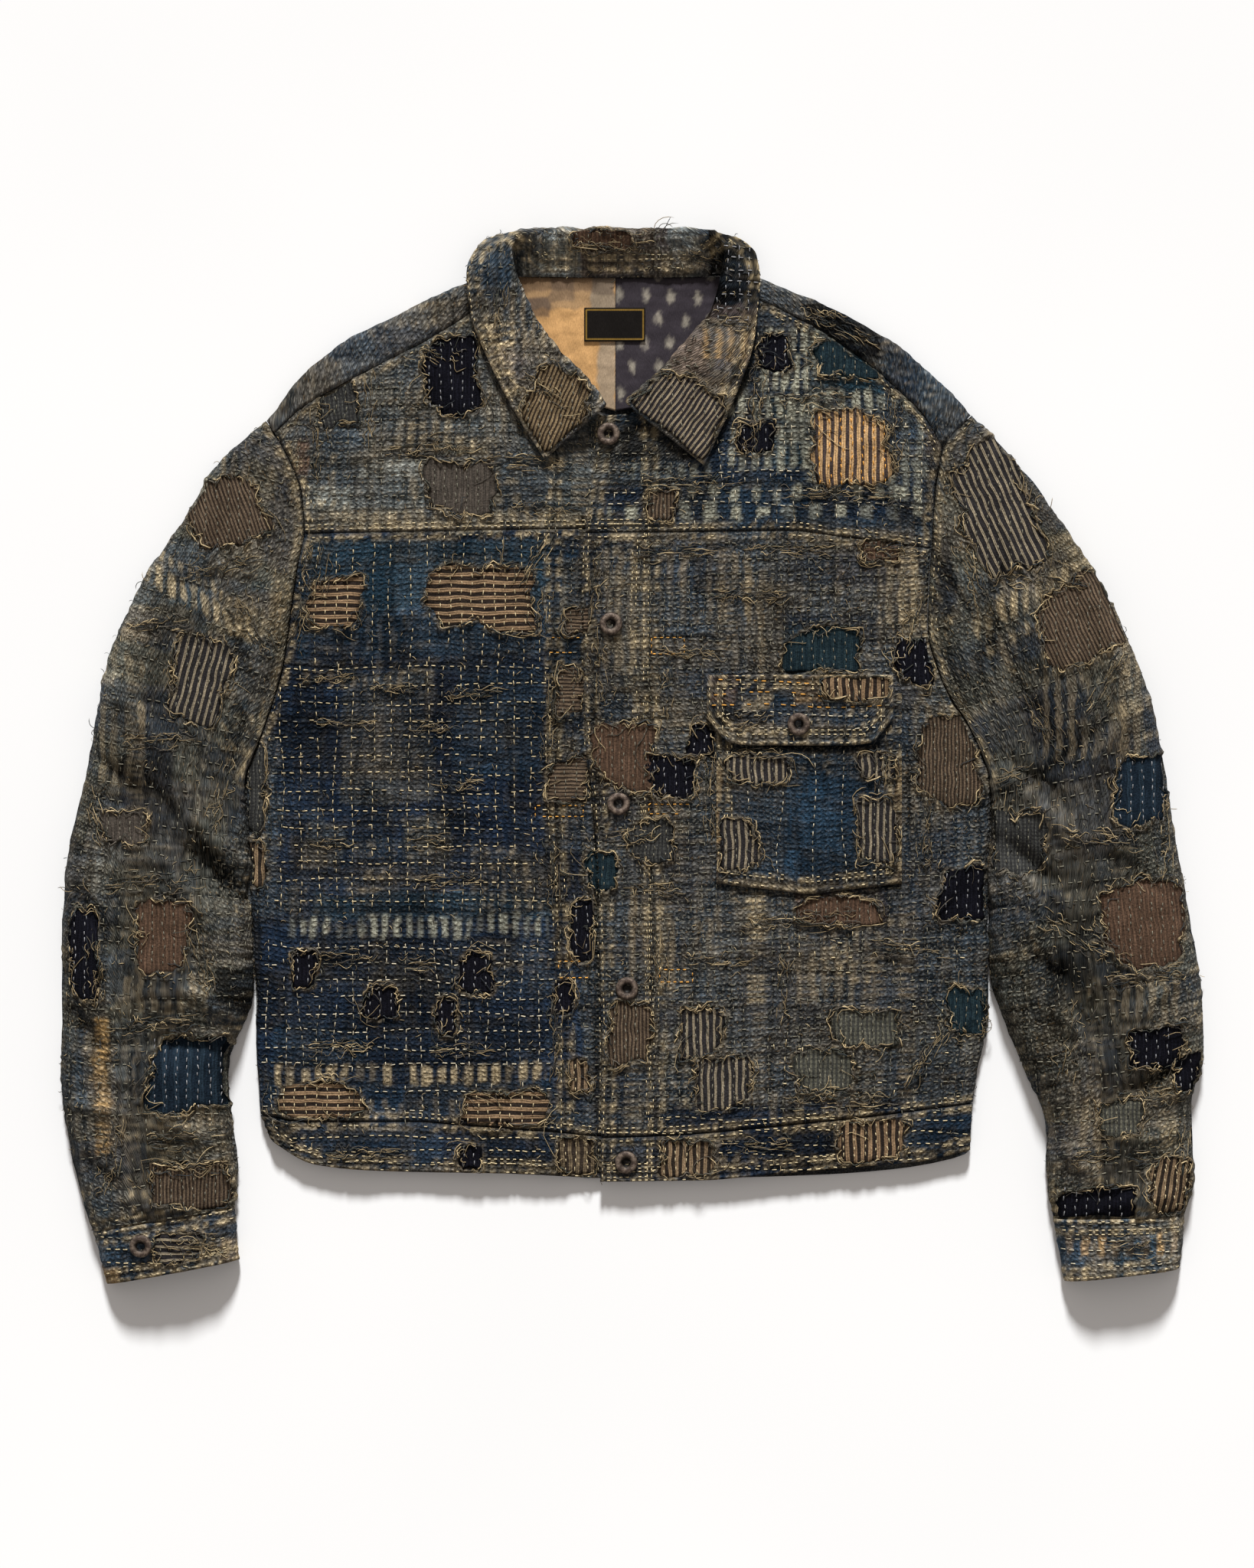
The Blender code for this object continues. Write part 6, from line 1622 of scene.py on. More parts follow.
def to_plan(zone, u, v):
    """Plan place and heading of local coordinates, the other way round from to_local."""
    if not zone.startswith("arm"):
        return u, -v, np.zeros_like(u), -np.ones_like(u)
    drawn, heading, at = axis_of(zone[4:])
    mid_x, mid_y = np.interp(v, at, drawn[:, 0]), np.interp(v, at, drawn[:, 1])
    head_x, head_y = np.interp(v, at, heading[:, 0]), np.interp(v, at, heading[:, 1])
    return mid_x - u * head_y, mid_y + u * head_x, head_x, head_y


def hashed(*numbers):
    """A steady random share for each set of whole numbers: the tail of a large sine."""
    total = sum((number + 1) * factor for number, factor in
                zip(numbers, (12.9898, 78.233, 37.719, 94.673)))
    return np.modf(np.abs(np.sin(total) * 43758.5453))[0]


def rags(u, v, wide, high, seed):
    """Two random shares for the rag at each place, and the distance to the rag's edge.

    Rags stand in rows; each row is shifted and each rag's sides are moved at random.
    """
    row = np.floor(v / high + 0.3 * np.sin(u / (wide * 1.7) + seed))
    shift = hashed(row, seed)
    column = np.floor(u / wide + shift)
    down = v / high + 0.3 * np.sin(u / (wide * 1.7) + seed) - row
    across = u / wide + shift - column
    edge = np.minimum(np.minimum(across, 1 - across) * wide, np.minimum(down, 1 - down) * high)
    return hashed(row, column, seed), hashed(row, column, seed + 7), edge


def seam_lines(zone):
    """The sewn seams of a zone, as lines in plan."""
    if zone == "front":
        lines = [[(p.x, p.y) for p in table[side]] for side in ("left", "right")
                 for table in (YOKE_SEAM, WAIST_SEAM)]
        lines += [[(row.x, row.y) for row in PLEAT[side]] for side in ("left", "right")]
        lines += [[(row.seam_x, row.seam_y) for row in SHOULDER[side]]
                  for side in ("left", "right")]
        lines += [[tuple(p) for p in armhole(side)] for side in ("left", "right")]
        lines.append([(row.x + 5, row.y) for row in FRONT_EDGE])
        lines.append([(row.x + 41, row.y) for row in FRONT_EDGE if row.y < 170])
        return lines + [[(p.x, p.y + 4) for p in HEM[side]] for side in ("left", "right")]
    if zone.startswith("arm"):
        side = zone[4:]
        cuff_line = SLEEVE[side][-1]
        return [[tuple(p) for p in armhole(side)],
                [(cuff_line.outer_x, cuff_line.outer_y + 3),
                 (cuff_line.inner_x, cuff_line.inner_y + 3)]]
    if zone.startswith("cuff"):
        ends = CUFF[zone[5:]][0], CUFF[zone[5:]][-1]
        return [[(rib.outer_x, rib.outer_y + rise), (rib.inner_x, rib.inner_y + rise)]
                for rib, rise in zip(ends, (-5, 5))]
    if zone == "collar":
        inset = 0.9
        return [[(row.edge_x * inset + row.fold_x * (1 - inset),
                  row.edge_y * inset + row.fold_y * (1 - inset)) for row in COLLAR]]
    if zone == "pocket":
        near, low, high = 5, POCKET_CORNER + 5, POCKET_TOP
        middle = (POCKET_LEFT + POCKET_RIGHT) / 2
        return [[(POCKET_LEFT + near, high), (POCKET_LEFT + near, low), (middle, low - 7),
                 (POCKET_RIGHT - near, low), (POCKET_RIGHT - near, high)]]
    if zone == "flap":
        near = 5
        return [[(FLAP_LEFT + near, FLAP_TOP - 4), (FLAP_LEFT + near, FLAP_CORNER + 2),
                 (FLAP_LEFT + FLAP_CUT + 2, FLAP_BOTTOM + near),
                 (FLAP_RIGHT - FLAP_CUT - 2, FLAP_BOTTOM + near),
                 (FLAP_RIGHT - near, FLAP_CORNER + 2), (FLAP_RIGHT - near, FLAP_TOP - 4),
                 (FLAP_LEFT + near, FLAP_TOP - 4)]]
    return []


def seam_distance(zone, x, y):
    """Distance to the nearest seam of the zone, and how far along the seam that is."""
    away, far = np.full(np.shape(x), 99.0), np.zeros(np.shape(x))
    for line in seam_lines(zone):
        run = 0.0
        for (x0, y0), (x1, y1) in zip(line[:-1], line[1:]):
            length = math.hypot(x1 - x0, y1 - y0)
            share = clamp(((x - x0) * (x1 - x0) + (y - y0) * (y1 - y0)) / length**2)
            distance = np.hypot(x - x0 - share * (x1 - x0), y - y0 - share * (y1 - y0))
            far = np.where(distance < away, run + share * length, far)
            away = np.minimum(distance, away)
            run += length
    return away, far


def outline(patch, angle):
    """A patch's ragged edge: the radius of a square-cornered oval, torn by waves and bites."""
    seed = patch.x * 0.7 + patch.y * 0.3
    angle = angle - math.radians(patch.turn if abs(patch.turn) < 60 else 0)
    half_wide, half_high = patch.wide / 2, patch.high / 2
    power = 3.2 + 5 * (0.5 + 0.5 * math.sin(seed))
    square = (np.abs(np.cos(angle) / half_wide) ** power
              + np.abs(np.sin(angle) / half_high) ** power) ** (-1 / power)
    torn = (0.08 * np.sin(2 * angle + seed) + 0.07 * np.sin(3 * angle + 1.7 * seed)
            + 0.045 * np.sin(7 * angle + 2.3 * seed) + 0.03 * np.sin(13 * angle + 3.1 * seed)
            + 0.025 * np.sin(23 * angle + 0.7 * seed))
    bite = bell(np.mod(angle - seed, 2 * math.pi), 2, 0.45)
    return square * (1 + torn - 0.16 * bite)


def patch_distance(patch, x, y):
    """Distance from a place to the patch's edge, below nothing inside it."""
    return np.hypot(x - patch.x, y - patch.y) - outline(patch, np.arctan2(y - patch.y, x - patch.x))


# ---------------------------------------------------------------- running stitches

def sewn_line(line, off, share, thread, draw):
    """Close dashes along a line in plan, set off to its left, a share of them whole."""
    line = np.array(line, float)
    place = np.concatenate([[0], np.cumsum(np.linalg.norm(np.diff(line, axis=0), axis=1))])
    mark = np.arange(2, place[-1] - 1, TOPSTITCH_PITCH)
    x, y = np.interp(mark, place, line[:, 0]), np.interp(mark, place, line[:, 1])
    ahead = np.interp(mark + 1, place, line[:, 0]), np.interp(mark + 1, place, line[:, 1])
    heading = np.arctan2(ahead[1] - y, ahead[0] - x)
    block = np.stack([x - off * np.sin(heading), y + off * np.cos(heading), heading,
                      np.full(len(x), 3.0), np.full(len(x), THREAD_NUMBER[thread])], axis=1)
    return block[draw.uniform(0, 1, len(x)) < share + 0.35 * ripple(x, y, 30, 24)]


def field_dashes(zone, field, number):
    """Dashes of one field: lines down it, across it or both, each dash a little astray."""
    draw = np.random.default_rng(1000 + 37 * number + len(zone))
    if zone.startswith("arm"):
        u0, u1, v0, v1 = field.x0, field.x1, field.y0, field.y1
    else:
        u0, u1, v0, v1 = field.x0, field.x1, -field.y1, -field.y0
    found = []
    for apart, down in ((field.columns_apart, True), (field.rows_apart, False)):
        if not apart:
            continue
        start, end = (u0, u1) if down else (v0, v1)
        low, high = (v0, v1) if down else (u0, u1)
        lines = np.arange(start + apart * 0.4, end, apart)
        marks = np.arange(low, high, STITCH_PITCH)
        line, mark = [part.ravel() for part in np.meshgrid(lines, marks, indexing="ij")]
        slip = hashed(line, float(number)) * STITCH_PITCH
        mark = mark + slip + draw.normal(0, 0.35, len(mark))

        def wander(place):
            """How far the row strays to one side."""
            return (2.6 * ripple(place + 40 * slip, line * 3, 46, 21 + number)
                    + 0.9 * ripple(place, line * 5, 19, 22 + number))

        off, slope = wander(mark), (wander(mark + 1.5) - wander(mark - 1.5)) / 3
        u, v = (line + off, mark) if down else (mark, line + off)
        x, y, head_x, head_y = to_plan(zone, u, v)
        turn = -np.arctan(slope) if down else math.pi / 2 + np.arctan(slope)
        heading = np.arctan2(head_y, head_x) - turn + draw.normal(0, 0.06, len(mark))
        length = STITCH_LENGTH * draw.uniform(0.75, 1.1, len(mark))
        worn = ripple(u, v, 22, 23 + number) * 0.3
        sewn = draw.uniform(0, 1, len(mark)) < field.share + worn
        faded = draw.uniform(0, 1, len(mark)) < FADED
        kind = np.where(faded, THREAD_NUMBER["dust"], THREAD_NUMBER[field.thread])
        found.append(np.stack([x, y, heading, length, kind], axis=1)[sewn])
    return found


def patch_dashes(patch, number):
    """Dashes in rows over a patch, each a little astray."""
    draw = np.random.default_rng(2000 + number)
    across = np.arange(-patch.wide / 2 + 4, patch.wide / 2 - 2, PATCH_ROWS_APART)
    down = np.arange(-patch.high / 2 + 3, patch.high / 2 - 2, STITCH_PITCH * 0.9)
    u, v = [part.ravel() for part in np.meshgrid(across, down, indexing="ij")]
    u = u + draw.normal(0, 0.5, len(u))
    v = v + draw.normal(0, 0.6, len(v))
    v = v + 3 * hashed(np.round(u / PATCH_ROWS_APART), float(number))
    heading = np.full(len(u), math.pi / 2) + draw.normal(0, 0.12, len(u))
    kind = np.full(len(u), THREAD_NUMBER[CLOTHS[patch.cloth].thread])
    length = STITCH_LENGTH * 0.85 * draw.uniform(0.7, 1.2, len(u))
    return np.stack([patch.x + u, patch.y + v, heading, length, kind], axis=1)


@cache
def running_stitches(zone):
    """All sewn dashes of a zone: plan place, heading, length and thread of each."""
    found = []
    for number, field in enumerate(field for field in FIELDS if field.zone == zone):
        found += field_dashes(zone, field, number)
    for number, line in enumerate(seam_lines(zone)):
        draw = np.random.default_rng(1500 + number)
        rare = 0.4 if zone.startswith("arm") or (zone == "front" and number in (8, 9)) else 0.0
        for off, share in ((3.0, 0.62), (6.2, 0.4), (-3.2, 0.16)):
            found.append(sewn_line(line, off, share - rare, "straw", draw))
    for left, right, low, high in TACKS if zone == "front" else ():
        box = [(left, low), (right, low), (right, high), (left, high), (left, low)]
        found.append(sewn_line(box, 0, 0.97, "ochre", np.random.default_rng(9)))
    patches = [patch for patch in PATCHES if patch.zone == zone]
    for patch in patches:
        found = [block[patch_distance(patch, block[:, 0], block[:, 1]) > 1.0] for block in found]
    found += [patch_dashes(patch, number) for number, patch in enumerate(patches)]
    return np.concatenate(found) if found else np.zeros((0, 5))


@cache
def dip_table(zone):
    """A soft spot along each dash of a zone, 0 to 1, for each square millimetre of the plan."""
    sewn = running_stitches(zone)
    table = np.zeros((1000, 1000))
    for share in (-0.5, 0.0, 0.5):
        i = np.round(sewn[:, 0] + 500 + share * sewn[:, 3] * np.cos(sewn[:, 2])).astype(int)
        j = np.round(sewn[:, 1] + 500 + share * sewn[:, 3] * np.sin(sewn[:, 2])).astype(int)
        inside = (i > 4) & (i < 995) & (j > 4) & (j < 995)
        np.add.at(table, (i[inside], j[inside]), 1.0)
    for _ in range(3):
        for axis in (0, 1):
            table = (np.roll(table, 1, axis) + table + np.roll(table, -1, axis)) / 3
    return np.minimum(table * 3.2, 1)


def dips(zone, x, y):
    """How far the stitches pull the cloth in at each place, 0 to 1."""
    i = np.clip(np.round(x + 500).astype(int), 0, 999)
    j = np.clip(np.round(y + 500).astype(int), 0, 999)
    return dip_table(zone)[i, j]


# ---------------------------------------------------------------- relief and paint

def curls(zone, u, v):
    """Height of the knotted yarn itself: three sizes of curl, larger on the sleeves."""
    more = 1.35 if zone.startswith("arm") else 1.0
    return (0.16 * ripple(u, v, 2.3, 1) + 0.22 * ripple(u, v, 4.6, 2)
            + more * 0.5 * ripple(u, v, 12, 3, 0.7)), more


def quilting(u, v):
    """Pillows between sewn rows, 0 in a row and 1 between two: ribs, rows or both by rag."""
    first, second, _ = rags(u, v, *RAGS[0][:3])
    pitch = 7.4 + 3.4 * second
    ribs = 0.5 + 0.5 * np.cos(2 * math.pi * ((u + 2.2 * ripple(u, v, 9, 91)) / pitch + 7 * first))
    rows = 0.5 + 0.5 * np.cos(2 * math.pi * ((v + 2.2 * ripple(u, v, 9, 92)) / pitch / 1.1
                                             + 5 * second))
    both = np.sqrt(ribs * rows)
    return np.where(first < 0.3, 0.25 + 0.75 * ribs, np.where(first < 0.5, 0.25 + 0.75 * rows,
                                                              both))


def ground(zone, x, y):
    """Colour and yarn strength of the ground and of the areas on it, and the wavering height."""
    first = TONES[GROUND[zone]]
    colour = np.tile(linear(first.colour), (len(x), 1))
    yarn = np.full(len(x), float(first.yarn))
    rough = 0.6 if zone in ("tan", "slate", "label") else 1.0
    warped_x = x + rough * (2.4 * ripple(x, y, 6, 41) + 3.2 * ripple(x, y, 21, 42))
    warped_y = y + rough * (2.4 * ripple(x, y, 6, 43) + 3.2 * ripple(x, y, 21, 44))
    for area in AREAS:
        if area.zone == zone:
            inside = np.minimum(np.minimum(warped_x - area.x0, area.x1 - warped_x),
                                np.minimum(warped_y - area.y0, area.y1 - warped_y))
            colour, yarn = cover(colour, yarn, clamp(inside / 2.0 + 0.5), area.tone,
                                 area.amount)
    return colour, yarn, warped_y


def relief(zone, x, y):
    """Height of the worn surface above the plain form: curls, puckers, seams, rims, dips."""
    if zone in ("tan", "slate"):
        wave = 0.35 * ripple(x, y, 16, 31, 0.5) + 0.15 * ripple(x, y, 7, 32, 0.5)
        return wave * clamp((LINING_TOP - y) / 6)
    if zone == "label":
        return 0.08 * ripple(x, y, 9, 33)
    u, v = to_local(zone, x, y)
    height, more = curls(zone, u, v)
    slow = more * 0.9 * ripple(u, v, 33, 4, 0.6) - 0.4
    _, yarn, _ = ground(zone, x.ravel(), y.ravel())
    knotted = clamp(yarn * 1.6).reshape(x.shape)
    height = height * (0.6 + 0.4 * knotted) + (0.22 + 0.53 * knotted) * quilting(u, v)
    if zone in ("back", "under"):
        return height + slow
    _, _, edge = rags(u, v, *RAGS[0][:3])
    height = height + 0.5 * bell(edge, 2.2, 1.4) - 0.45 * bell(edge, 0, 0.9)
    away, far = seam_distance(zone, x, y)
    rope = 0.7 + 0.3 * np.sin(far * 2 * math.pi / 5.6 + 2 * ripple(x, y, 9, 5))
    height = height + 0.6 * bell(away, 3.0, 1.8) * rope - 0.45 * bell(away, 0, 1.2)
    height = height - 0.8 * fold_height(x, y, SHADES.get(zone, ())) - 0.75 * dips(zone, x, y)
    for patch in PATCHES:
        if patch.zone != zone:
            continue
        near = (np.abs(x - patch.x) < patch.wide) & (np.abs(y - patch.y) < patch.high)
        gap = patch_distance(patch, x[near], y[near])
        flat = clamp(0.5 - gap / 1.5)
        height[near] = (height[near] * (1 - flat) - PATCH_SINK * flat
                        + bell(gap, 1.8, 1.3))
        slow[near] = slow[near] * (1 - flat)
    return height + slow + CREASE_DEPTH * fold_height(x, y, CREASES.get(zone, ()))


def cover(colour, yarn, share, tone, amount):
    """Mix a named tone over the colour and the yarn strength where the share says."""
    share = clamp(share * amount)
    paint_in = linear(TONES[tone].colour)
    return (colour * (1 - share[:, None]) + paint_in * share[:, None],
            yarn * (1 - share) + TONES[tone].yarn * share)


def paint(zone, x, y):
    """Colour and yarn strength at each place: ground, rags, wear, bars, seams, then painted light
    and shade.
    """
    colour, yarn, warped_y = ground(zone, x, y)
    if zone in ("tan", "slate", "label"):
        return paint_lining(zone, x, y, colour), yarn
    u, v = to_local(zone, x, y)
    colour, yarn = add_rags(zone, u, v, colour, yarn)
    lit = np.zeros(len(x))
    middle, rise = LEAN.get(zone, (0, 0))
    leaning_y = warped_y - rise * (x - middle) * (y > LEAN_FROM)
    for bars in BARS:
        if bars.zone == zone:
            share = bar_share(bars, x, y, leaning_y)
            colour, yarn = cover(colour, yarn, share, bars.tone, bars.amount)
            lit = np.maximum(lit, share)
    colour, yarn = add_seams(zone, x, y, colour, yarn)
    shade = shading(zone, x, y, u, v, yarn)
    shade = shade + 0.7 * lit * clamp(1.2 - shade)
    shade = DEPTH_OF_COLOUR * LIGHTNESS.get(zone, 1.0) * np.clip(shade, *SHADE_RANGE)
    return clamp(colour * shade[:, None]), clamp(yarn)


def add_rags(zone, u, v, colour, yarn):
    """Three layers of rags with their own shades and tones, then pale pillows and torn spots."""
    shifted_u = u + 1.8 * ripple(u, v, 7, 45)
    shifted_v = v + 1.8 * ripple(u, v, 7, 46)
    for wide, high, seed, strength in RAGS:
        first, second, edge = rags(shifted_u, shifted_v, wide, high, seed)
        colour = colour * (1 + strength * (2 * first - 1))[:, None]
        for share, tone in ((second < 0.3, "moss" if zone.startswith("arm") else "mist"),
                            (second > 0.84, "dun"),
                            (abs(second - 0.5) < 0.08, "indigo")):
            colour, yarn = cover(colour, yarn, share * yarn, tone, 0.6)
        if seed == RAGS[0][2]:
            colour = colour * (1 - 0.6 * bell(edge, 0, 1.1))[:, None]
            fringe = bell(edge, 2.6, 1.6) * clamp(0.4 + 1.4 * ripple(u, v, 5, 47))
            colour, yarn = cover(colour, yarn, fringe * (0.1 + yarn), "khaki", 0.4)
    first, _, _ = rags(shifted_u, shifted_v, *PALE_RAGS)
    pale = clamp((quilting(u, v) - 0.55) * 2.6) * clamp(0.45 + 1.2 * ripple(u, v, 4.2, 48))
    colour, yarn = cover(colour, yarn, pale * yarn * np.where(first > 0.6, 0.7, 0.14), "khaki",
                         0.6)
    colour, yarn = cover(colour, yarn, pale * yarn * np.where(first > 0.86, 0.7, 0.0), "cream",
                         0.7)
    worn = clamp(1.6 * ripple(u, v, 3.2, 50, 5) + 0.9 * ripple(u, v, 30, 51) - 0.5)
    colour, yarn = cover(colour, yarn, worn * yarn, "khaki", 0.22)
    torn = clamp(1.6 * ripple(v, u, 2.6, 52, 4) + 0.9 * ripple(u, v, 26, 53) - 0.45)
    return cover(colour, yarn, torn, "slate", 0.35)


def add_seams(zone, x, y, colour, yarn):
    """Bleach beside the seams and round the patches, the dark line of each seam, and painted shade
    at each patch's edge.
    """
    away, far = seam_distance(zone, x, y)
    bleach = bell(away, 3.6, 2.4) * clamp(0.45 + 1.5 * ripple(far, away, 3.4, 54))
    colour, yarn = cover(colour, yarn, bleach, "cream", 0.6)
    colour = colour * (1 - 0.45 * bell(away, 0, 1.3))[:, None]
    for patch in PATCHES:
        if patch.zone == zone:
            gap = patch_distance(patch, x, y)
            rim = bell(gap, 1.6, 1.6) * clamp(0.6 + 1.2 * ripple(x, y, 4, 55))
            colour, yarn = cover(colour, yarn, rim, "khaki", 0.5)
            # painted shade in the gap at the patch's edge
            colour = colour * (1 - 0.45 * bell(gap, -0.4, 0.9))[:, None]
    return colour, yarn


def shading(zone, x, y, u, v, yarn):
    """Painted light and shade at each place: pillows, curls and crease ridges lighter, partly as
    wear; painted shade in dips, crease troughs, turned edges and slots.
    """
    draw = np.random.default_rng(len(x))
    raised, _ = curls(zone, u, v)
    knotted = clamp(yarn * 1.6)
    # painted light on pillow tops, raised curls and crease ridges, partly wear; painted shade in
    # the crease troughs
    shade = (0.38 + quilting(u, v) * (0.15 + 0.85 * knotted) + 0.45 * (1 - knotted)
             + draw.normal(0, 0.06, len(x)) * (0.5 + yarn) + 0.3 * raised
             + 0.16 * np.clip(fold_height(x, y, CREASES.get(zone, ())), -3, 2))
    # painted shade along the SHADES lines
    shade = shade * (1 - np.clip(0.8 * fold_height(x, y, SHADES.get(zone, ())), 0, 0.88))
    # painted shade in the slit of each buttonhole
    for place in BUTTONS.values() if zone == "front" else ():
        slot = bell(y, place.y, 1.5) * (np.abs(x - place.x - SLOT_OFF) < SLOT_HALF)
        shade = shade * (1 - 0.85 * slot)
    # painted shade where the stitches pull the cloth in
    return shade * (1 - 0.4 * dips(zone, x, y))


def bar_share(bars, x, y, up):
    """Share of bleached bars at each place: soft-edged stripes at a wavering pitch, partly worn.

    They stand side by side across the band, or as the rungs of a ladder if the pitch is below 0.
    """
    inside = np.minimum(np.minimum(x - bars.x0, bars.x1 - x),
                        np.minimum(up - bars.y0, bars.y1 - up))
    place, other = (x, y) if bars.pitch > 0 else (y, x)
    pitch = abs(bars.pitch)
    phase = (place + 1.6 * ripple(x, y, 9, 61)) / pitch
    off = np.abs(phase - np.round(phase)) * pitch
    share = clamp((bars.width / 2 - off) / 0.8 + 0.5) * clamp(inside / 2 + 0.5)
    return share * clamp(0.75 + 0.9 * ripple(np.round(phase), other / 30, 1.3, 62))


def paint_lining(zone, x, y, colour):
    """Lining: soft washes on the tan half; pale fuzzy crosses in shifted rows on the slate."""
    shade = 1 + 0.10 * ripple(x, y, 12, 71, 0.4) + 0.08 * ripple(x, y, 30, 72)
    if zone == "slate":
        row = np.round((y - DOTS_FROM) / DOTS_DOWN)
        shift = np.where(row % 2 == 0, 0.0, DOTS_ACROSS / 2)
        column = np.round((x - shift) / DOTS_ACROSS)
        off_x = x - shift - column * DOTS_ACROSS + 2.2 * (hashed(row, column) - 0.5)
        off_y = y - DOTS_FROM - row * DOTS_DOWN + 2.5 * (hashed(column, row) - 0.5)
        dot = clamp(1.35 - np.hypot(off_x / 2.8, off_y / 4.6) + 0.5 * ripple(x, y, 1.6, 73))
        pale = linear(DOT_COLOUR)
        colour = colour * (1 - 0.8 * dot[:, None]) + pale * 0.8 * dot[:, None]
    if zone == "label":
        left, right, bottom, top = LABEL
        inset = np.minimum(np.minimum(x - left, right - x), np.minimum(y - bottom, top - y))
        line = (np.abs(inset - 1.7) < 0.3) | (np.abs(inset - 3.5) < 0.18)
        colour = np.where(line[:, None], linear(LABEL_BORDER), colour)
        shade = 1 + 0.05 * ripple(x, y, 1.2, 74)
    return clamp(colour * shade[:, None])
# ---------------------------------------------------------------- pieces of cloth

SURFACES = {}   # name of a dressed piece: its zone and its finished outer grid


def dress(name, grid, zone, step, thickness=VISIBLE_WALL, closed=False, keep=None,
          side="top"):
    """One cloth piece on its solid's form: refined, raised by its relief, painted, walled.

    Outer points move out along their normals by the relief; the inner wall lies a thickness
    inside the plain form.
    """
    fine = refine(grid, step, closed)
    normal = normals_of(fine, closed)
    x, y = fine[..., 0], fine[..., 1]
    sunk = np.minimum(fold_height(x, y, CREASES.get(zone, ())) * CREASE_DEPTH, 0) - thickness
    inner = (fine + normal * sunk[..., None])[::BLOCK, ::BLOCK]
    if closed:
        inner = inner[:, :-1]
    outer = fine + normal * relief(zone, x, y)[..., None]
    if closed or side == "under":
        outer[..., 2] = np.maximum(outer[..., 2], 0)
    if side == "under":
        inner[..., 2] = np.maximum(inner[..., 2], LEAST_WALL)
    kept = None if keep is None else keep_blocks(grid, fine, keep)
    mesh, used = shell_mesh(name, outer, inner, closed, kept)
    stored = slice(None, -1) if closed else slice(None)
    flat = lengths_of(fine)
    weave = np.concatenate([flat[:, stored].reshape(-1, 2),
                            flat[::BLOCK, ::BLOCK][:, stored].reshape(-1, 2)])
    inner_x, inner_y = x[::BLOCK, ::BLOCK][:, stored], y[::BLOCK, ::BLOCK][:, stored]
    tone, yarn = paint(zone, x[:, stored].ravel(), y[:, stored].ravel())
    inside, _ = paint("inside", inner_x.ravel(), inner_y.ravel())
    # the tone holds the painted light and shade from paint()
    set_colour(mesh, "tone", np.concatenate([tone, inside])[used])
    set_number(mesh, "yarn", np.concatenate([yarn, np.full(len(inside), 0.3)])[used])
    set_uv(mesh, "weave", weave[used])
    finish = soft_lining if zone in ("tan", "slate", "label") else worn_cloth
    piece = add_piece(name, mesh, finish, (name,))
    SURFACES[name] = (zone, outer)


def keep_blocks(grid, fine, keep):
    """The kept cells of a plain grid, as blocks of its refined grid."""
    marks = []
    for axis, size in ((0, fine.shape[0]), (1, fine.shape[1])):
        apart = np.linalg.norm(np.diff(grid, axis=axis), axis=2).mean(axis=1 - axis)
        place = np.concatenate([[0], np.cumsum(apart)])
        blocks = (size - 1) // BLOCK
        middle = (np.arange(blocks) + 0.5) / blocks * place[-1]
        marks.append(np.searchsorted(place, middle) - 1)
    return keep[np.ix_(marks[0], marks[1])]


class JACKET_OT_fronts(bpy.types.Operator):
    """Both main fronts, with their pleats, folds and holes."""

    bl_idname = "jacket.fronts"
    bl_label = "Fronts"

    def execute(self, context):
        step = context.scene.jacket.fine_step / MM
        dress("front_left", front_panel("left"), "front", step)
        dress("front_right", front_panel("right"), "front", step)
        return {"FINISHED"}


class JACKET_OT_yokes(bpy.types.Operator):
    """Front yokes, and the back yoke with its folded shoulder strips."""

    bl_idname = "jacket.yokes"
    bl_label = "Yokes"

    def execute(self, context):
        step = context.scene.jacket.fine_step / MM
        dress("front_yoke_left", front_yoke("left"), "front", step)
        dress("front_yoke_right", front_yoke("right"), "front", step)
        yoke, kept = back_yoke()
        dress("back_yoke", yoke, "back", step * 1.5, keep=kept, side="under")
        return {"FINISHED"}


class JACKET_OT_waistband(bpy.types.Operator):
    """The waistband in its three stretches."""

    bl_idname = "jacket.waistband"
    bl_label = "Waistband"

    def execute(self, context):
        settings = context.scene.jacket
        step = settings.fine_step / MM
        dress("waistband_left", waistband("left"), "front", step)
        dress("waistband_right", waistband("right"), "front", step)
        dress("waistband_back", back_waistband(), "back", settings.hidden_step / MM,
              side="under")
        return {"FINISHED"}


class JACKET_OT_back(bpy.types.Operator):
    """The back below its yoke, which the jacket lies on."""

    bl_idname = "jacket.back"
    bl_label = "Back"

    def execute(self, context):
        dress("back_panel", back_panel(), "back", context.scene.jacket.hidden_step / MM,
              side="under")
        return {"FINISHED"}


class JACKET_OT_sleeves(bpy.types.Operator):
    """Sleeves and cuffs, hollow and pressed down by their own weight."""

    bl_idname = "jacket.sleeves"
    bl_label = "Sleeves"

    def execute(self, context):
        settings = context.scene.jacket
        fine, hidden = settings.fine_step / MM, settings.hidden_step / MM
        for side in ("left", "right"):
            under = f"sleeve_{side}_under"
            dress(under, sleeve(side, False), "under", hidden, side="under")
            dress(f"sleeve_{side}_upper", sleeve(side, True), f"arm_{side}", fine)
            dress(f"cuff_{side}", cuff(side), f"cuff_{side}", fine, closed=True)
        return {"FINISHED"}


class JACKET_OT_collar(bpy.types.Operator):
    """The turned-down collar, stand, roll and leaf in one wall."""

    bl_idname = "jacket.collar"
    bl_label = "Collar"

    def execute(self, context):
        dress("collar", collar(), "collar", context.scene.jacket.fine_step / MM,
              thickness=COLLAR_WALL)
        return {"FINISHED"}


class JACKET_OT_pocket(bpy.types.Operator):
    """Patch pocket and its flap with cut corners."""

    bl_idname = "jacket.pocket"
    bl_label = "Pocket"

    def execute(self, context):
        step = context.scene.jacket.fine_step / MM * 0.8
        dress("pocket", pocket(), "pocket", step, TRIM)
        dress("pocket_flap", pocket_flap(), "flap", step, TRIM)
        return {"FINISHED"}


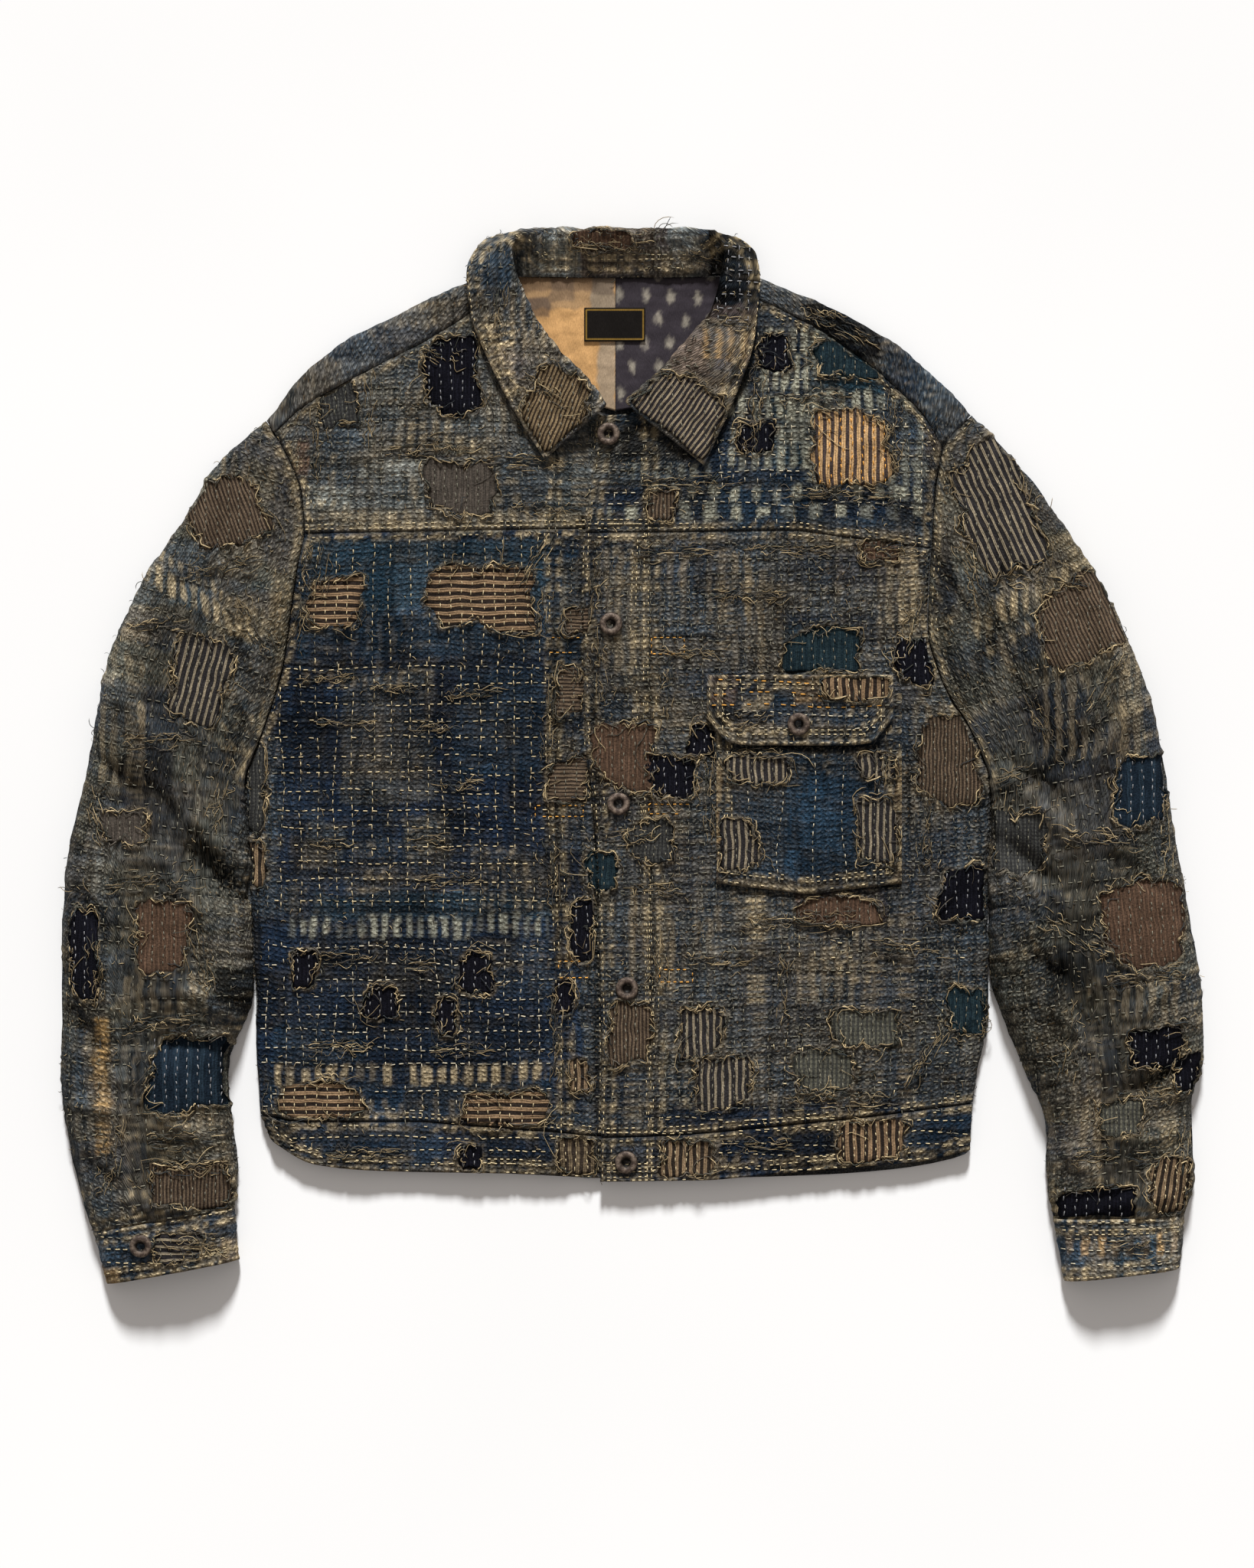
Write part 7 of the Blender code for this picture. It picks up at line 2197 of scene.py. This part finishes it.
class JACKET_OT_lining(bpy.types.Operator):
    """Neck lining in two halves, and the plain woven label."""

    bl_idname = "jacket.lining"
    bl_label = "Neck lining"

    def execute(self, context):
        step = context.scene.jacket.fine_step / MM * 0.6
        dress("lining_left", neck_lining("left"), "tan", step, LINING)
        dress("lining_right", neck_lining("right"), "slate", step, LINING)
        dress("neck_label", neck_label(), "label", step * 0.7, LINING)
        return {"FINISHED"}


class JACKET_OT_stage(bpy.types.Operator):
    """Floor, soft key light, fill light and camera."""

    bl_idname = "jacket.stage"
    bl_label = "Stage"

    def execute(self, context):
        scene, studio = context.scene, context.scene.studio
        mesh = bpy.data.meshes.new("floor")
        half = FLOOR_HALF
        mesh.from_pydata([(-half, -half, FLOOR_Z), (half, -half, FLOOR_Z),
                          (half, half, FLOOR_Z), (-half, half, FLOOR_Z)], [], [(0, 1, 2, 3)])
        mesh.materials.append(studio_floor())
        floor = bpy.data.objects.new("floor", mesh)
        key = bpy.data.lights.new("key", "SUN")
        key.energy = math.pi * studio.key_share / math.sin(studio.key_height)
        key.angle = studio.key_softness
        key.color = studio.key_colour
        lamp = bpy.data.objects.new("key", key)
        toward = Vector((math.sin(studio.key_turn) * math.cos(studio.key_height),
                         math.cos(studio.key_turn) * math.cos(studio.key_height),
                         math.sin(studio.key_height)))
        lamp.rotation_euler = toward.to_track_quat("Z", "Y").to_euler()
        sky = bpy.data.worlds.new("fill")
        sky.use_nodes = True
        glow = sky.node_tree.nodes["Background"].inputs
        glow["Strength"].default_value = studio.fill_share
        glow["Color"].default_value = (*studio.fill_colour, 1)
        scene.world = sky
        lens = bpy.data.cameras.new("camera")
        lens.sensor_width = SENSOR
        lens.lens = SENSOR * CAMERA_HEIGHT / VIEW_HEIGHT
        lens.clip_end = FLOOR_HALF * 5
        camera = bpy.data.objects.new("camera", lens)
        camera.location = (VIEW_CENTRE[0], VIEW_CENTRE[1], CAMERA_HEIGHT + TOP * MM)
        for item in (floor, lamp, camera):
            scene.collection.objects.link(item)
        scene.camera = camera
        scene.view_settings.view_transform = "Standard"
        return {"FINISHED"}


# ---------------------------------------------------------------- what lies on the cloth

SEATS = {}   # trees of faces to rest on: the cloth, then the patches


def plant(kind, grids):
    """Keep a tree of all faces of some grids, with the zone and height of each."""
    points, faces, zones = [], [], []
    for zone, grid in grids:
        rows, columns = grid.shape[:2]
        number = sum(map(len, points)) + np.arange(rows * columns).reshape(rows, columns)
        quads = np.stack([number[:-1, :-1], number[:-1, 1:], number[1:, 1:], number[1:, :-1]],
                         axis=2).reshape(-1, 4)
        points.append(grid.reshape(-1, 3))
        faces += quads.tolist()
        zones += [zone] * len(quads)
    SEATS[kind] = (BVHTree.FromPolygons(np.concatenate(points).tolist(), faces), zones)


def seated(zone, x, y, kinds=("cloth",)):
    """Height of the top face at each plan place, and whether it belongs to the zone."""
    height, right = np.zeros(len(x)), np.zeros(len(x), bool)
    for number, (across, along_it) in enumerate(zip(x, y)):
        for kind in kinds:
            tree, zones = SEATS[kind]
            place, _, face, _ = tree.ray_cast((across, along_it, 90), (0, 0, -1))
            if face is not None and place.z > height[number]:
                height[number], right[number] = place.z, zones[face] == zone
    return height, right


def patch_grid(patch):
    """A patch as rings round its middle: resting on the cloth, edge tucked under its rim."""
    angle = np.linspace(0, 2 * math.pi, PATCH_SIDES + 1)
    reach = outline(patch, angle) + 1.2
    test = np.linspace(0.1, 1.1, 15)[:, None] * reach
    _, right = seated(patch.zone, (patch.x + test * np.cos(angle)).ravel(),
                      (patch.y + test * np.sin(angle)).ravel())
    off = ~right.reshape(test.shape)
    first = np.where(off.any(axis=0), test[off.argmax(axis=0), np.arange(len(angle))], 999.0)
    reach = np.minimum(reach, np.maximum(first - 4.0, 1.0))
    inner = np.maximum(reach - 2.7, reach * 0.5)
    radius = np.concatenate([np.outer(PATCH_RINGS, inner), [(inner + reach) / 2], [reach]])
    x, y = patch.x + radius * np.cos(angle), patch.y + radius * np.sin(angle)
    height, _ = seated(patch.zone, x.ravel(), y.ravel())
    height = height.reshape(x.shape)
    slope = np.clip((height[-3] - height[-5]) / (radius[-3] - radius[-5]), -0.5, 0.5)
    height[-2:] = height[-3] + slope * (radius[-2:] - radius[-3])
    lift = PATCH_LIFT - 0.6 * (radius / reach) ** 24
    lift = lift + 0.16 * ripple(x, y, 5, 81) + 0.12 * ripple(x, y, 2.6, 82)
    return np.stack([x, y, np.maximum(height + lift, PATCH_FLOOR)], axis=2)


def patch_mesh(name, made):
    """Closed patches in one mesh, stripes in their UV.

    The top is ringed. The underside follows it a wall's thickness lower, with fewer points.
    """
    points, faces, colours, uv = [], [], {"light": [], "dark": [], "beat": []}, []
    start = 0
    for patch, grid in made:
        cloth = CLOTHS[patch.cloth]
        rings = len(grid)
        ring = grid[:, :-1]
        tip = ring[0].mean(axis=0)
        under = ring[-1] - (0, 0, PATCH_WALL)
        inside = ring[[-3, 5, 3, 1], ::2] - (0, 0, PATCH_WALL)
        block = np.concatenate([tip[None], ring.reshape(-1, 3), under, inside.reshape(-1, 3),
                                [tip - (0, 0, PATCH_WALL)]])
        number = start + 1 + np.arange(rings * PATCH_SIDES).reshape(rings, PATCH_SIDES)
        low = start + 1 + rings * PATCH_SIDES + np.arange(PATCH_SIDES)
        after = np.roll(number, -1, axis=1)
        faces += np.stack([np.full(PATCH_SIDES, start), number[0], after[0]], axis=1).tolist()
        faces += np.stack([number[:-1], number[1:], after[1:], after[:-1]],
                          axis=2).reshape(-1, 4).tolist()
        faces += np.stack([number[-1], low, np.roll(low, -1), after[-1]], axis=1).tolist()
        count = PATCH_SIDES // 2
        floor = low[-1] + 1 + np.arange(4 * count).reshape(4, count)
        beyond = np.roll(floor, -1, axis=1)
        faces += np.stack([low[::2], floor[0], beyond[0], np.roll(low[::2], -1), low[1::2]],
                          axis=1).tolist()
        faces += np.stack([floor[:-1], floor[1:], beyond[1:], beyond[:-1]],
                          axis=2).reshape(-1, 4).tolist()
        faces += np.stack([floor[-1], np.full(count, start + len(block) - 1), beyond[-1]],
                          axis=1).tolist()
        turn = math.radians(patch.turn)
        flat = block[:, :2] - (patch.x, patch.y)
        bend = 0.7 * ripple(block[:, 0], block[:, 1], 9, 83)
        uv.append(np.stack([flat[:, 0] * math.cos(turn) + flat[:, 1] * math.sin(turn) + bend,
                            flat[:, 1] * math.cos(turn) - flat[:, 0] * math.sin(turn)], axis=1))
        # painted shade: rings darker to the rim, where the cloth's torn edge shades the patch; the
        # underside and its inner rings darker still
        shade = np.concatenate([[1], np.repeat(PATCH_SHADE, PATCH_SIDES),
                                np.full(PATCH_SIDES * 3 + 1, 0.3)])
        for key, value in (("light", linear(cloth.light)), ("dark", linear(cloth.dark)),
                           ("beat", (cloth.period / 10, cloth.share, cloth.cross))):
            colours[key].append(np.tile(value, (len(block), 1)) * (
                1 if key == "beat" else shade[:, None]))
        points.append(block)
        start += len(block)
    mesh = new_mesh(name, np.concatenate(points), faces)
    for key, values in colours.items():
        set_colour(mesh, key, np.concatenate(values))
    set_uv(mesh, "weave", np.concatenate(uv))
    return mesh


def tubes(paths, radius, sides):
    """Closed tubes along many paths at once: rings across each path and two tips.

    paths is thread by step by xyz; a ring turns about the path's own direction.
    """
    count, steps = paths.shape[:2]
    forward = unit(np.gradient(paths, axis=1) + 1e-9)
    upright = np.broadcast_to((0.0, 0.0, 1.0), forward.shape)
    side = unit(np.cross(forward, upright) + (1e-6, 1e-6, 0))
    lift = np.cross(side, forward)
    angle = (np.arange(sides) / sides + 0.25) * 2 * math.pi
    rings = paths[:, 1:-1, None] + radius[:, 1:-1, None, None] * (
        np.cos(angle)[:, None] * side[:, 1:-1, None] + np.sin(angle)[:, None]
        * lift[:, 1:-1, None])
    inner = steps - 2
    each = inner * sides + 2
    points = np.concatenate([paths[:, :1], rings.reshape(count, -1, 3), paths[:, -1:]], axis=1)
    number = 1 + np.arange(inner * sides).reshape(inner, sides)
    after = np.roll(number, -1, axis=1)
    quads = np.stack([number[:-1], after[:-1], after[1:], number[1:]], axis=2).reshape(-1, 4)
    caps = np.concatenate([np.stack([np.zeros(sides, int), after[0], number[0]], axis=1),
                           np.stack([np.full(sides, each - 1), number[-1], after[-1]], axis=1)])
    start = np.arange(count)[:, None, None] * each
    faces = (start + quads).reshape(-1, 4).tolist() + (start + caps).reshape(-1, 3).tolist()
    return points.reshape(-1, 3), faces, each


def thread_mesh(name, paths, radius, colours, sides=3):
    """Threads in one mesh, each of one colour."""
    points, faces, each = tubes(paths, radius, sides)
    mesh = new_mesh(name, points, faces)
    set_colour(mesh, "tone", np.repeat(colours, each, axis=0))
    return mesh


def dash_paths(zone, sewn, kinds):
    """Stitches as low arches: tips sunk in the cloth, middle standing out."""
    along_it = np.array(DASH_ALONG) * sewn[:, 3:4]
    x = sewn[:, :1] + along_it * np.cos(sewn[:, 2:3])
    y = sewn[:, 1:2] + along_it * np.sin(sewn[:, 2:3])
    height = np.zeros_like(x)
    right = np.ones(len(x), bool)
    for column in range(4):
        height[:, column], found = seated(zone, x[:, column], y[:, column], kinds)
        right &= found
    right &= np.abs(np.diff(height, axis=1)).max(axis=1) <= STEEP_DASH
    return np.stack([x, y, height + DASH_LIFT], axis=2)[right], sewn[right]


def frayed_paths(patch, draw):
    """Torn threads round a patch: most roll along its rim, some stray far from it."""
    count = int(math.pi * (patch.wide + patch.high) / 2 / FRAY_APART)
    stray = draw.uniform(0, 1, count) < 0.22
    start = draw.uniform(0, 2 * math.pi, count)
    length = np.where(stray, draw.uniform(8, 26, count), draw.uniform(5, 14, count))
    share = np.linspace(0, 1, FRAY_STEPS)
    sweep = length / outline(patch, start) * draw.choice([-1, 1], count)
    angle = start[:, None] + share * (sweep * draw.uniform(0.3, 1, count))[:, None]
    away = np.where(stray, draw.normal(0, 8, count), draw.normal(0, 2.0, count))
    curl = np.where(stray, 2.2, 0.8)[:, None] * np.sin(
        share * draw.uniform(3, 9, count)[:, None] + draw.uniform(0, 6, count)[:, None])
    radius = outline(patch, angle) + draw.normal(0.9, 1.3, count)[:, None] + (
        share * away[:, None]) + curl
    x, y = patch.x + radius * np.cos(angle), patch.y + radius * np.sin(angle)
    rise = 0.45 + draw.gamma(1.4, 0.5, count)[:, None] * np.sin(share * math.pi) + 0.25 * np.sin(
        share * draw.uniform(4, 12, count)[:, None])
    thick = np.where(stray, draw.uniform(0.2, 0.32, count), draw.uniform(0.3, 0.6, count))
    return x, y, rise, thick


def fibre_paths(boxed, count, draw):
    """Short curls of yarn that stand out of the worn weave."""
    x0, x1, y0, y1 = boxed
    x, y = draw.uniform(x0, x1, count), draw.uniform(y0, y1, count)
    heading = draw.choice([0, math.pi / 2], count) + draw.normal(0, 0.5, count)
    share = np.linspace(0, 1, FIBRE_STEPS)
    length = draw.uniform(2.5, 8, count)[:, None]
    turned = heading[:, None] + share * draw.normal(0, 1.6, count)[:, None]
    x = x[:, None] + np.cumsum(np.cos(turned), axis=1) * length / FIBRE_STEPS
    y = y[:, None] + np.cumsum(np.sin(turned), axis=1) * length / FIBRE_STEPS
    rise = 0.15 + draw.uniform(0.2, 0.9, count)[:, None] * np.sin(share * math.pi)
    return x, y, rise


def laid_on(zone, x, y, rise, kinds):
    """Paths lifted onto the cloth of a zone; those that leave it are dropped."""
    height, right = seated(zone, x.ravel(), y.ravel(), kinds)
    height, right = height.reshape(x.shape), right.reshape(x.shape).all(axis=1)
    right &= np.abs(np.diff(height, axis=1)).max(axis=1) < STEEP_THREAD
    return np.stack([x, y, height + rise], axis=2)[right], right


def tear_paths(tear, draw):
    """Torn yarn hanging over a worn line: threads strung along it, sagging and looping."""
    count = int(tear.wide * 0.75)
    share = np.linspace(0, 1, FRAY_STEPS)
    start = draw.uniform(-0.5, 0.4, count) * tear.wide
    length = draw.uniform(4, 16, count)
    run = start[:, None] + share * length[:, None]
    sag = draw.normal(0, tear.high / 2.6, count)[:, None] + draw.normal(0, 1.6, count)[
        :, None] * np.sin(share * draw.uniform(2, 8, count)[:, None])
    turn = math.radians(tear.turn)
    x = tear.x + run * math.cos(turn) - sag * math.sin(turn)
    y = tear.y + run * math.sin(turn) + sag * math.cos(turn)
    rise = 0.4 + draw.gamma(1.2, 0.5, count)[:, None] * np.sin(share * math.pi)
    return x, y, rise, draw.uniform(0.16, 0.36, count)


def edge_hairs(zone, draw):
    """Short hairs that stand out past the edge of a zone, from points just inside it."""
    both = np.concatenate([held[1][:, side] for held in SURFACES.values() if held[0] == zone
                           for side in (0, -1)])
    x, y, z = both[draw.integers(0, len(both), len(both) // 5)].T
    share = np.linspace(0, 1, FIBRE_STEPS)
    length = draw.gamma(2.0, 1.1, len(x))[:, None]
    heading = draw.uniform(0, 2 * math.pi, len(x))[:, None] + share * draw.normal(
        0, 1.2, len(x))[:, None]
    return np.stack([x[:, None] + share * length * np.cos(heading),
                     y[:, None] + share * length * np.sin(heading),
                     z[:, None] + 0.2 + 0.4 * np.sin(share * math.pi) + 0 * heading], axis=2)


def tuft_paths(tuft, draw):
    """Loose ends from about one root, curling as they reach out past the edge."""
    share = np.linspace(0, 1, FRAY_STEPS)
    x, y = np.array([[tuft.x], [tuft.y]]) + draw.normal(0, 3.5, (2, tuft.count))
    height, right = seated(tuft.zone, x, y)
    reach = tuft.reach * draw.uniform(0.4, 1.1, tuft.count)[:, None]
    heading = math.radians(tuft.turn) + draw.normal(0, 0.6, tuft.count)[:, None] + (
        share * draw.normal(0, 1.8, tuft.count)[:, None])
    return np.stack([x[:, None] + share * reach * np.cos(heading),
                     y[:, None] + share * reach * np.sin(heading),
                     height[:, None] + 0.4 + 1.5 * np.sin(share * math.pi) + 0 * heading],
                    axis=2)[right]


def turned_button(place, normal):
    """A doughnut tack button: its half section spun round the normal, with fine ribs."""
    share, rise = np.array(BUTTON_LINE).T
    angle = np.linspace(0, 2 * math.pi, BUTTON_RIBS * 4, endpoint=False)
    ribbed = clamp(1 - np.abs(share[:, None] - 0.7) / 0.3)
    rib = 0.10 * np.cos(BUTTON_RIBS * angle) * ribbed
    z = rise[:, None] + rib
    r = BUTTON_RADIUS * share[:, None] * np.ones_like(angle)
    normal = unit(np.array(normal, float))
    side = unit(np.cross(normal, (0.0, 1.0, 0.0)))
    other = np.cross(normal, side)
    points = (np.array(place) + (r * np.cos(angle))[..., None] * side
              + (r * np.sin(angle))[..., None] * other + z[..., None] * normal)
    number = np.arange(points.shape[0] * len(angle)).reshape(points.shape[:2])
    after = np.roll(number, -1, axis=1)
    quads = np.stack([number[:-1], number[1:], after[1:], after[:-1]], axis=2).reshape(-1, 4)
    return points.reshape(-1, 3), quads.tolist() + [number[0].tolist(),
                                                    number[-1][::-1].tolist()]


PATCH_NODES = {
    "navy": ("patch_yoke_left_navy", "patch_front_right_navy", "patch_sleeve_right_navy"),
    "brown": ("patch_yoke_left_brown", "patch_front_right_cord", "patch_sleeve_left_cord",
              "patch_sleeve_left_brown", "patch_sleeve_right_cord", "patch_sleeve_right_brown"),
    "stripe": ("patch_yoke_right_stripe", "patch_front_left_stripe_a",
               "patch_front_left_stripe_b", "patch_front_left_hem_a", "patch_front_left_hem_b",
               "patch_front_right_stripe", "patch_sleeve_left_stripe",
               "patch_sleeve_right_stripe"),
    "blue": ("patch_sleeve_left_blue", "patch_sleeve_right_blue"),
}


class JACKET_OT_patches(bpy.types.Operator):
    """Patches of older cloth, set in the holes of the cloth above them."""

    bl_idname = "jacket.patches"
    bl_label = "Patches"

    def execute(self, context):
        plant("cloth", [held for held in SURFACES.values() if held[0] != "under"])
        grids = {patch: patch_grid(patch) for patch in PATCHES}
        plant("patches", [(patch.zone, grid) for patch, grid in grids.items()])
        for slot, nodes in PATCH_NODES.items():
            made = [(patch, grid) for patch, grid in grids.items()
                    if CLOTHS[patch.cloth].slot == slot]
            name = f"patches_{slot}"
            piece = add_piece(name, patch_mesh(name, made), patch_cloth, nodes)
        return {"FINISHED"}


class JACKET_OT_stitches(bpy.types.Operator):
    """Running stitches, one low arch of thread each."""

    bl_idname = "jacket.stitches"
    bl_label = "Stitches"

    def execute(self, context):
        tones = linear(list(THREADS.values()))
        groups = {"sashiko_body": ("front", "collar", "pocket", "flap"),
                  "sashiko_sleeves": ("arm_left", "arm_right", "cuff_left", "cuff_right")}
        for name, zones in groups.items():
            paths, colours = [], []
            for zone in zones:
                laid, sewn = dash_paths(zone, running_stitches(zone), ("cloth", "patches"))
                paths.append(laid)
                shade = 0.75 + 0.5 * hashed(sewn[:, 0], sewn[:, 1])
                colours.append(tones[sewn[:, 4].astype(int)] * shade[:, None])
            paths, colours = np.concatenate(paths), np.concatenate(colours)
            radius = np.tile(DASH_RADIUS, (len(paths), 1))
            add_piece(name, thread_mesh(name, paths, radius, colours), thread_yarn)
        return {"FINISHED"}


class JACKET_OT_threads(bpy.types.Operator):
    """Frayed threads round the patches, and short curls all over the worn weave."""

    bl_idname = "jacket.threads"
    bl_label = "Loose threads"

    def execute(self, context):
        draw = np.random.default_rng(5)
        tones = linear([TONES[name].colour for name in YARNS])
        for name, marks, drawn, shares in (
                ("frayed_edges", PATCHES, frayed_paths, (0.4, 0.2, 0.14, 0.18, 0.08)),
                ("torn_yarn", TEARS, tear_paths, (0.36, 0.24, 0.16, 0.1, 0.14))):
            paths, colours, thick = [], [], []
            for mark in marks:
                x, y, rise, thickness = drawn(mark, draw)
                laid, right = laid_on(mark.zone, x, y, rise, ("cloth", "patches"))
                paths.append(laid)
                thick.append(thickness[right])
                colours.append(tones[draw.choice(5, len(laid), p=shares)])
            for tuft in TUFTS if name == "torn_yarn" else ():
                paths.append(tuft_paths(tuft, draw))
                thick.append(np.full(len(paths[-1]), 0.3))
                colours.append(tones[draw.choice(5, len(paths[-1]), p=shares)])
            paths, colours = np.concatenate(paths), np.concatenate(colours)
            thick = np.concatenate(thick)[:, None] * np.ones(FRAY_STEPS)
            add_piece(name, thread_mesh(name, paths, thick, colours), thread_yarn)
        paths = []
        for zone, boxed, count in FIBRES:
            laid, _ = laid_on(zone, *fibre_paths(boxed, count, draw), ("cloth",))
            paths += [laid, edge_hairs(zone, draw)]
        paths = np.concatenate(paths)
        colours = tones[draw.choice(5, len(paths), p=(0.2, 0.2, 0.25, 0.1, 0.25))]
        thick = draw.uniform(0.14, 0.3, len(paths))[:, None] * np.ones(FIBRE_STEPS)
        add_piece("loose_fibres", thread_mesh("loose_fibres", paths, thick, colours),
                  thread_yarn)
        return {"FINISHED"}


class JACKET_OT_buttons(bpy.types.Operator):
    """Doughnut tack buttons of dark bronze."""

    bl_idname = "jacket.buttons"
    bl_label = "Buttons"

    def execute(self, context):
        for name, place in BUTTONS.items():
            zone = {"button_flap": "flap", "button_cuff": "cuff_left"}.get(name, "front")
            reach = BUTTON_RADIUS * 0.7
            x = np.array([place.x, place.x + reach, place.x - reach, place.x, place.x])
            y = np.array([place.y, place.y, place.y, place.y + reach, place.y - reach])
            height, _ = seated(zone, x, y)
            tilt = ((height[2] - height[1]) / reach / 2, (height[4] - height[3]) / reach / 2, 1)
            points, faces = turned_button((place.x, place.y, height[1:].mean() + 0.3), tilt)
            mesh = new_mesh(name, points, faces)
            # painted shade in the button's hole and a painted highlight on its crest
            shade = np.interp([share for share, _ in BUTTON_LINE], *BUTTON_SHADE)
            set_colour(mesh, "tone", np.repeat(shade, BUTTON_RIBS * 4)[:, None] * np.ones(3))
            add_piece(name, mesh, worn_bronze, (name,))
        return {"FINISHED"}


# ---------------------------------------------------------------- settings and panel

class JacketSettings(bpy.types.PropertyGroup):
    """Sizes of the cloth that a user may change."""

    fine_step: FloatProperty(
        name="Fine step", description="Distance between points on the cloth that shows",
        default=0.0019, unit="LENGTH", subtype="DISTANCE")
    hidden_step: FloatProperty(
        name="Hidden step", description="Distance between points on the cloth underneath",
        default=0.0052, unit="LENGTH", subtype="DISTANCE")


class StudioSettings(bpy.types.PropertyGroup):
    """Light around the jacket."""

    key_share: FloatProperty(
        name="Key share", description="Light on the floor from the key", default=0.72)
    fill_share: FloatProperty(
        name="Fill share", description="Light on the floor from all round", default=0.33)
    key_height: FloatProperty(
        name="Key height", description="Angle of the key above the floor",
        default=math.radians(26), subtype="ANGLE")
    key_turn: FloatProperty(
        name="Key turn", description="Turn of the key from the top of the jacket",
        default=math.radians(0), subtype="ANGLE")
    key_softness: FloatProperty(
        name="Key softness", description="Width of the key in the sky",
        default=math.radians(9), subtype="ANGLE")
    key_colour: FloatVectorProperty(
        name="Key colour", description="Colour of the key", default=(0.985, 0.995, 1.0),
        min=0, max=1, subtype="COLOR")
    fill_colour: FloatVectorProperty(
        name="Fill colour", description="Colour of the light from all round",
        default=(1.0, 0.93, 0.88), min=0, max=1, subtype="COLOR")


OPERATORS = (JACKET_OT_fronts, JACKET_OT_yokes, JACKET_OT_waistband, JACKET_OT_back,
             JACKET_OT_sleeves, JACKET_OT_collar, JACKET_OT_pocket, JACKET_OT_lining,
             JACKET_OT_patches, JACKET_OT_stitches, JACKET_OT_threads, JACKET_OT_buttons,
             JACKET_OT_stage)


class JACKET_PT_panel(bpy.types.Panel):
    """Lists the jacket's pieces in the order they are made."""

    bl_idname = "JACKET_PT_panel"
    bl_label = "Jacket"
    bl_space_type = "VIEW_3D"
    bl_region_type = "UI"
    bl_category = "Jacket"

    def draw(self, context):
        for group in (context.scene.jacket, context.scene.studio):
            for name in group.bl_rna.properties.keys():
                if name not in ("rna_type", "name"):
                    self.layout.prop(group, name)
        for operator in OPERATORS:
            self.layout.operator(operator.bl_idname)


CLASSES = (JacketSettings, StudioSettings, *OPERATORS, JACKET_PT_panel)


def register():
    """Make the settings, operators and panel known."""
    for item in CLASSES:
        bpy.utils.register_class(item)
    bpy.types.Scene.jacket = PointerProperty(type=JacketSettings)
    bpy.types.Scene.studio = PointerProperty(type=StudioSettings)


def unregister():
    """Take the settings, operators and panel away again."""
    del bpy.types.Scene.jacket, bpy.types.Scene.studio
    for item in reversed(CLASSES):
        bpy.utils.unregister_class(item)


def main():
    """Make every piece in order."""
    register()
    for operator in OPERATORS:
        group, name = operator.bl_idname.split(".")
        getattr(getattr(bpy.ops, group), name)()


if __name__ == "__main__":
    main()
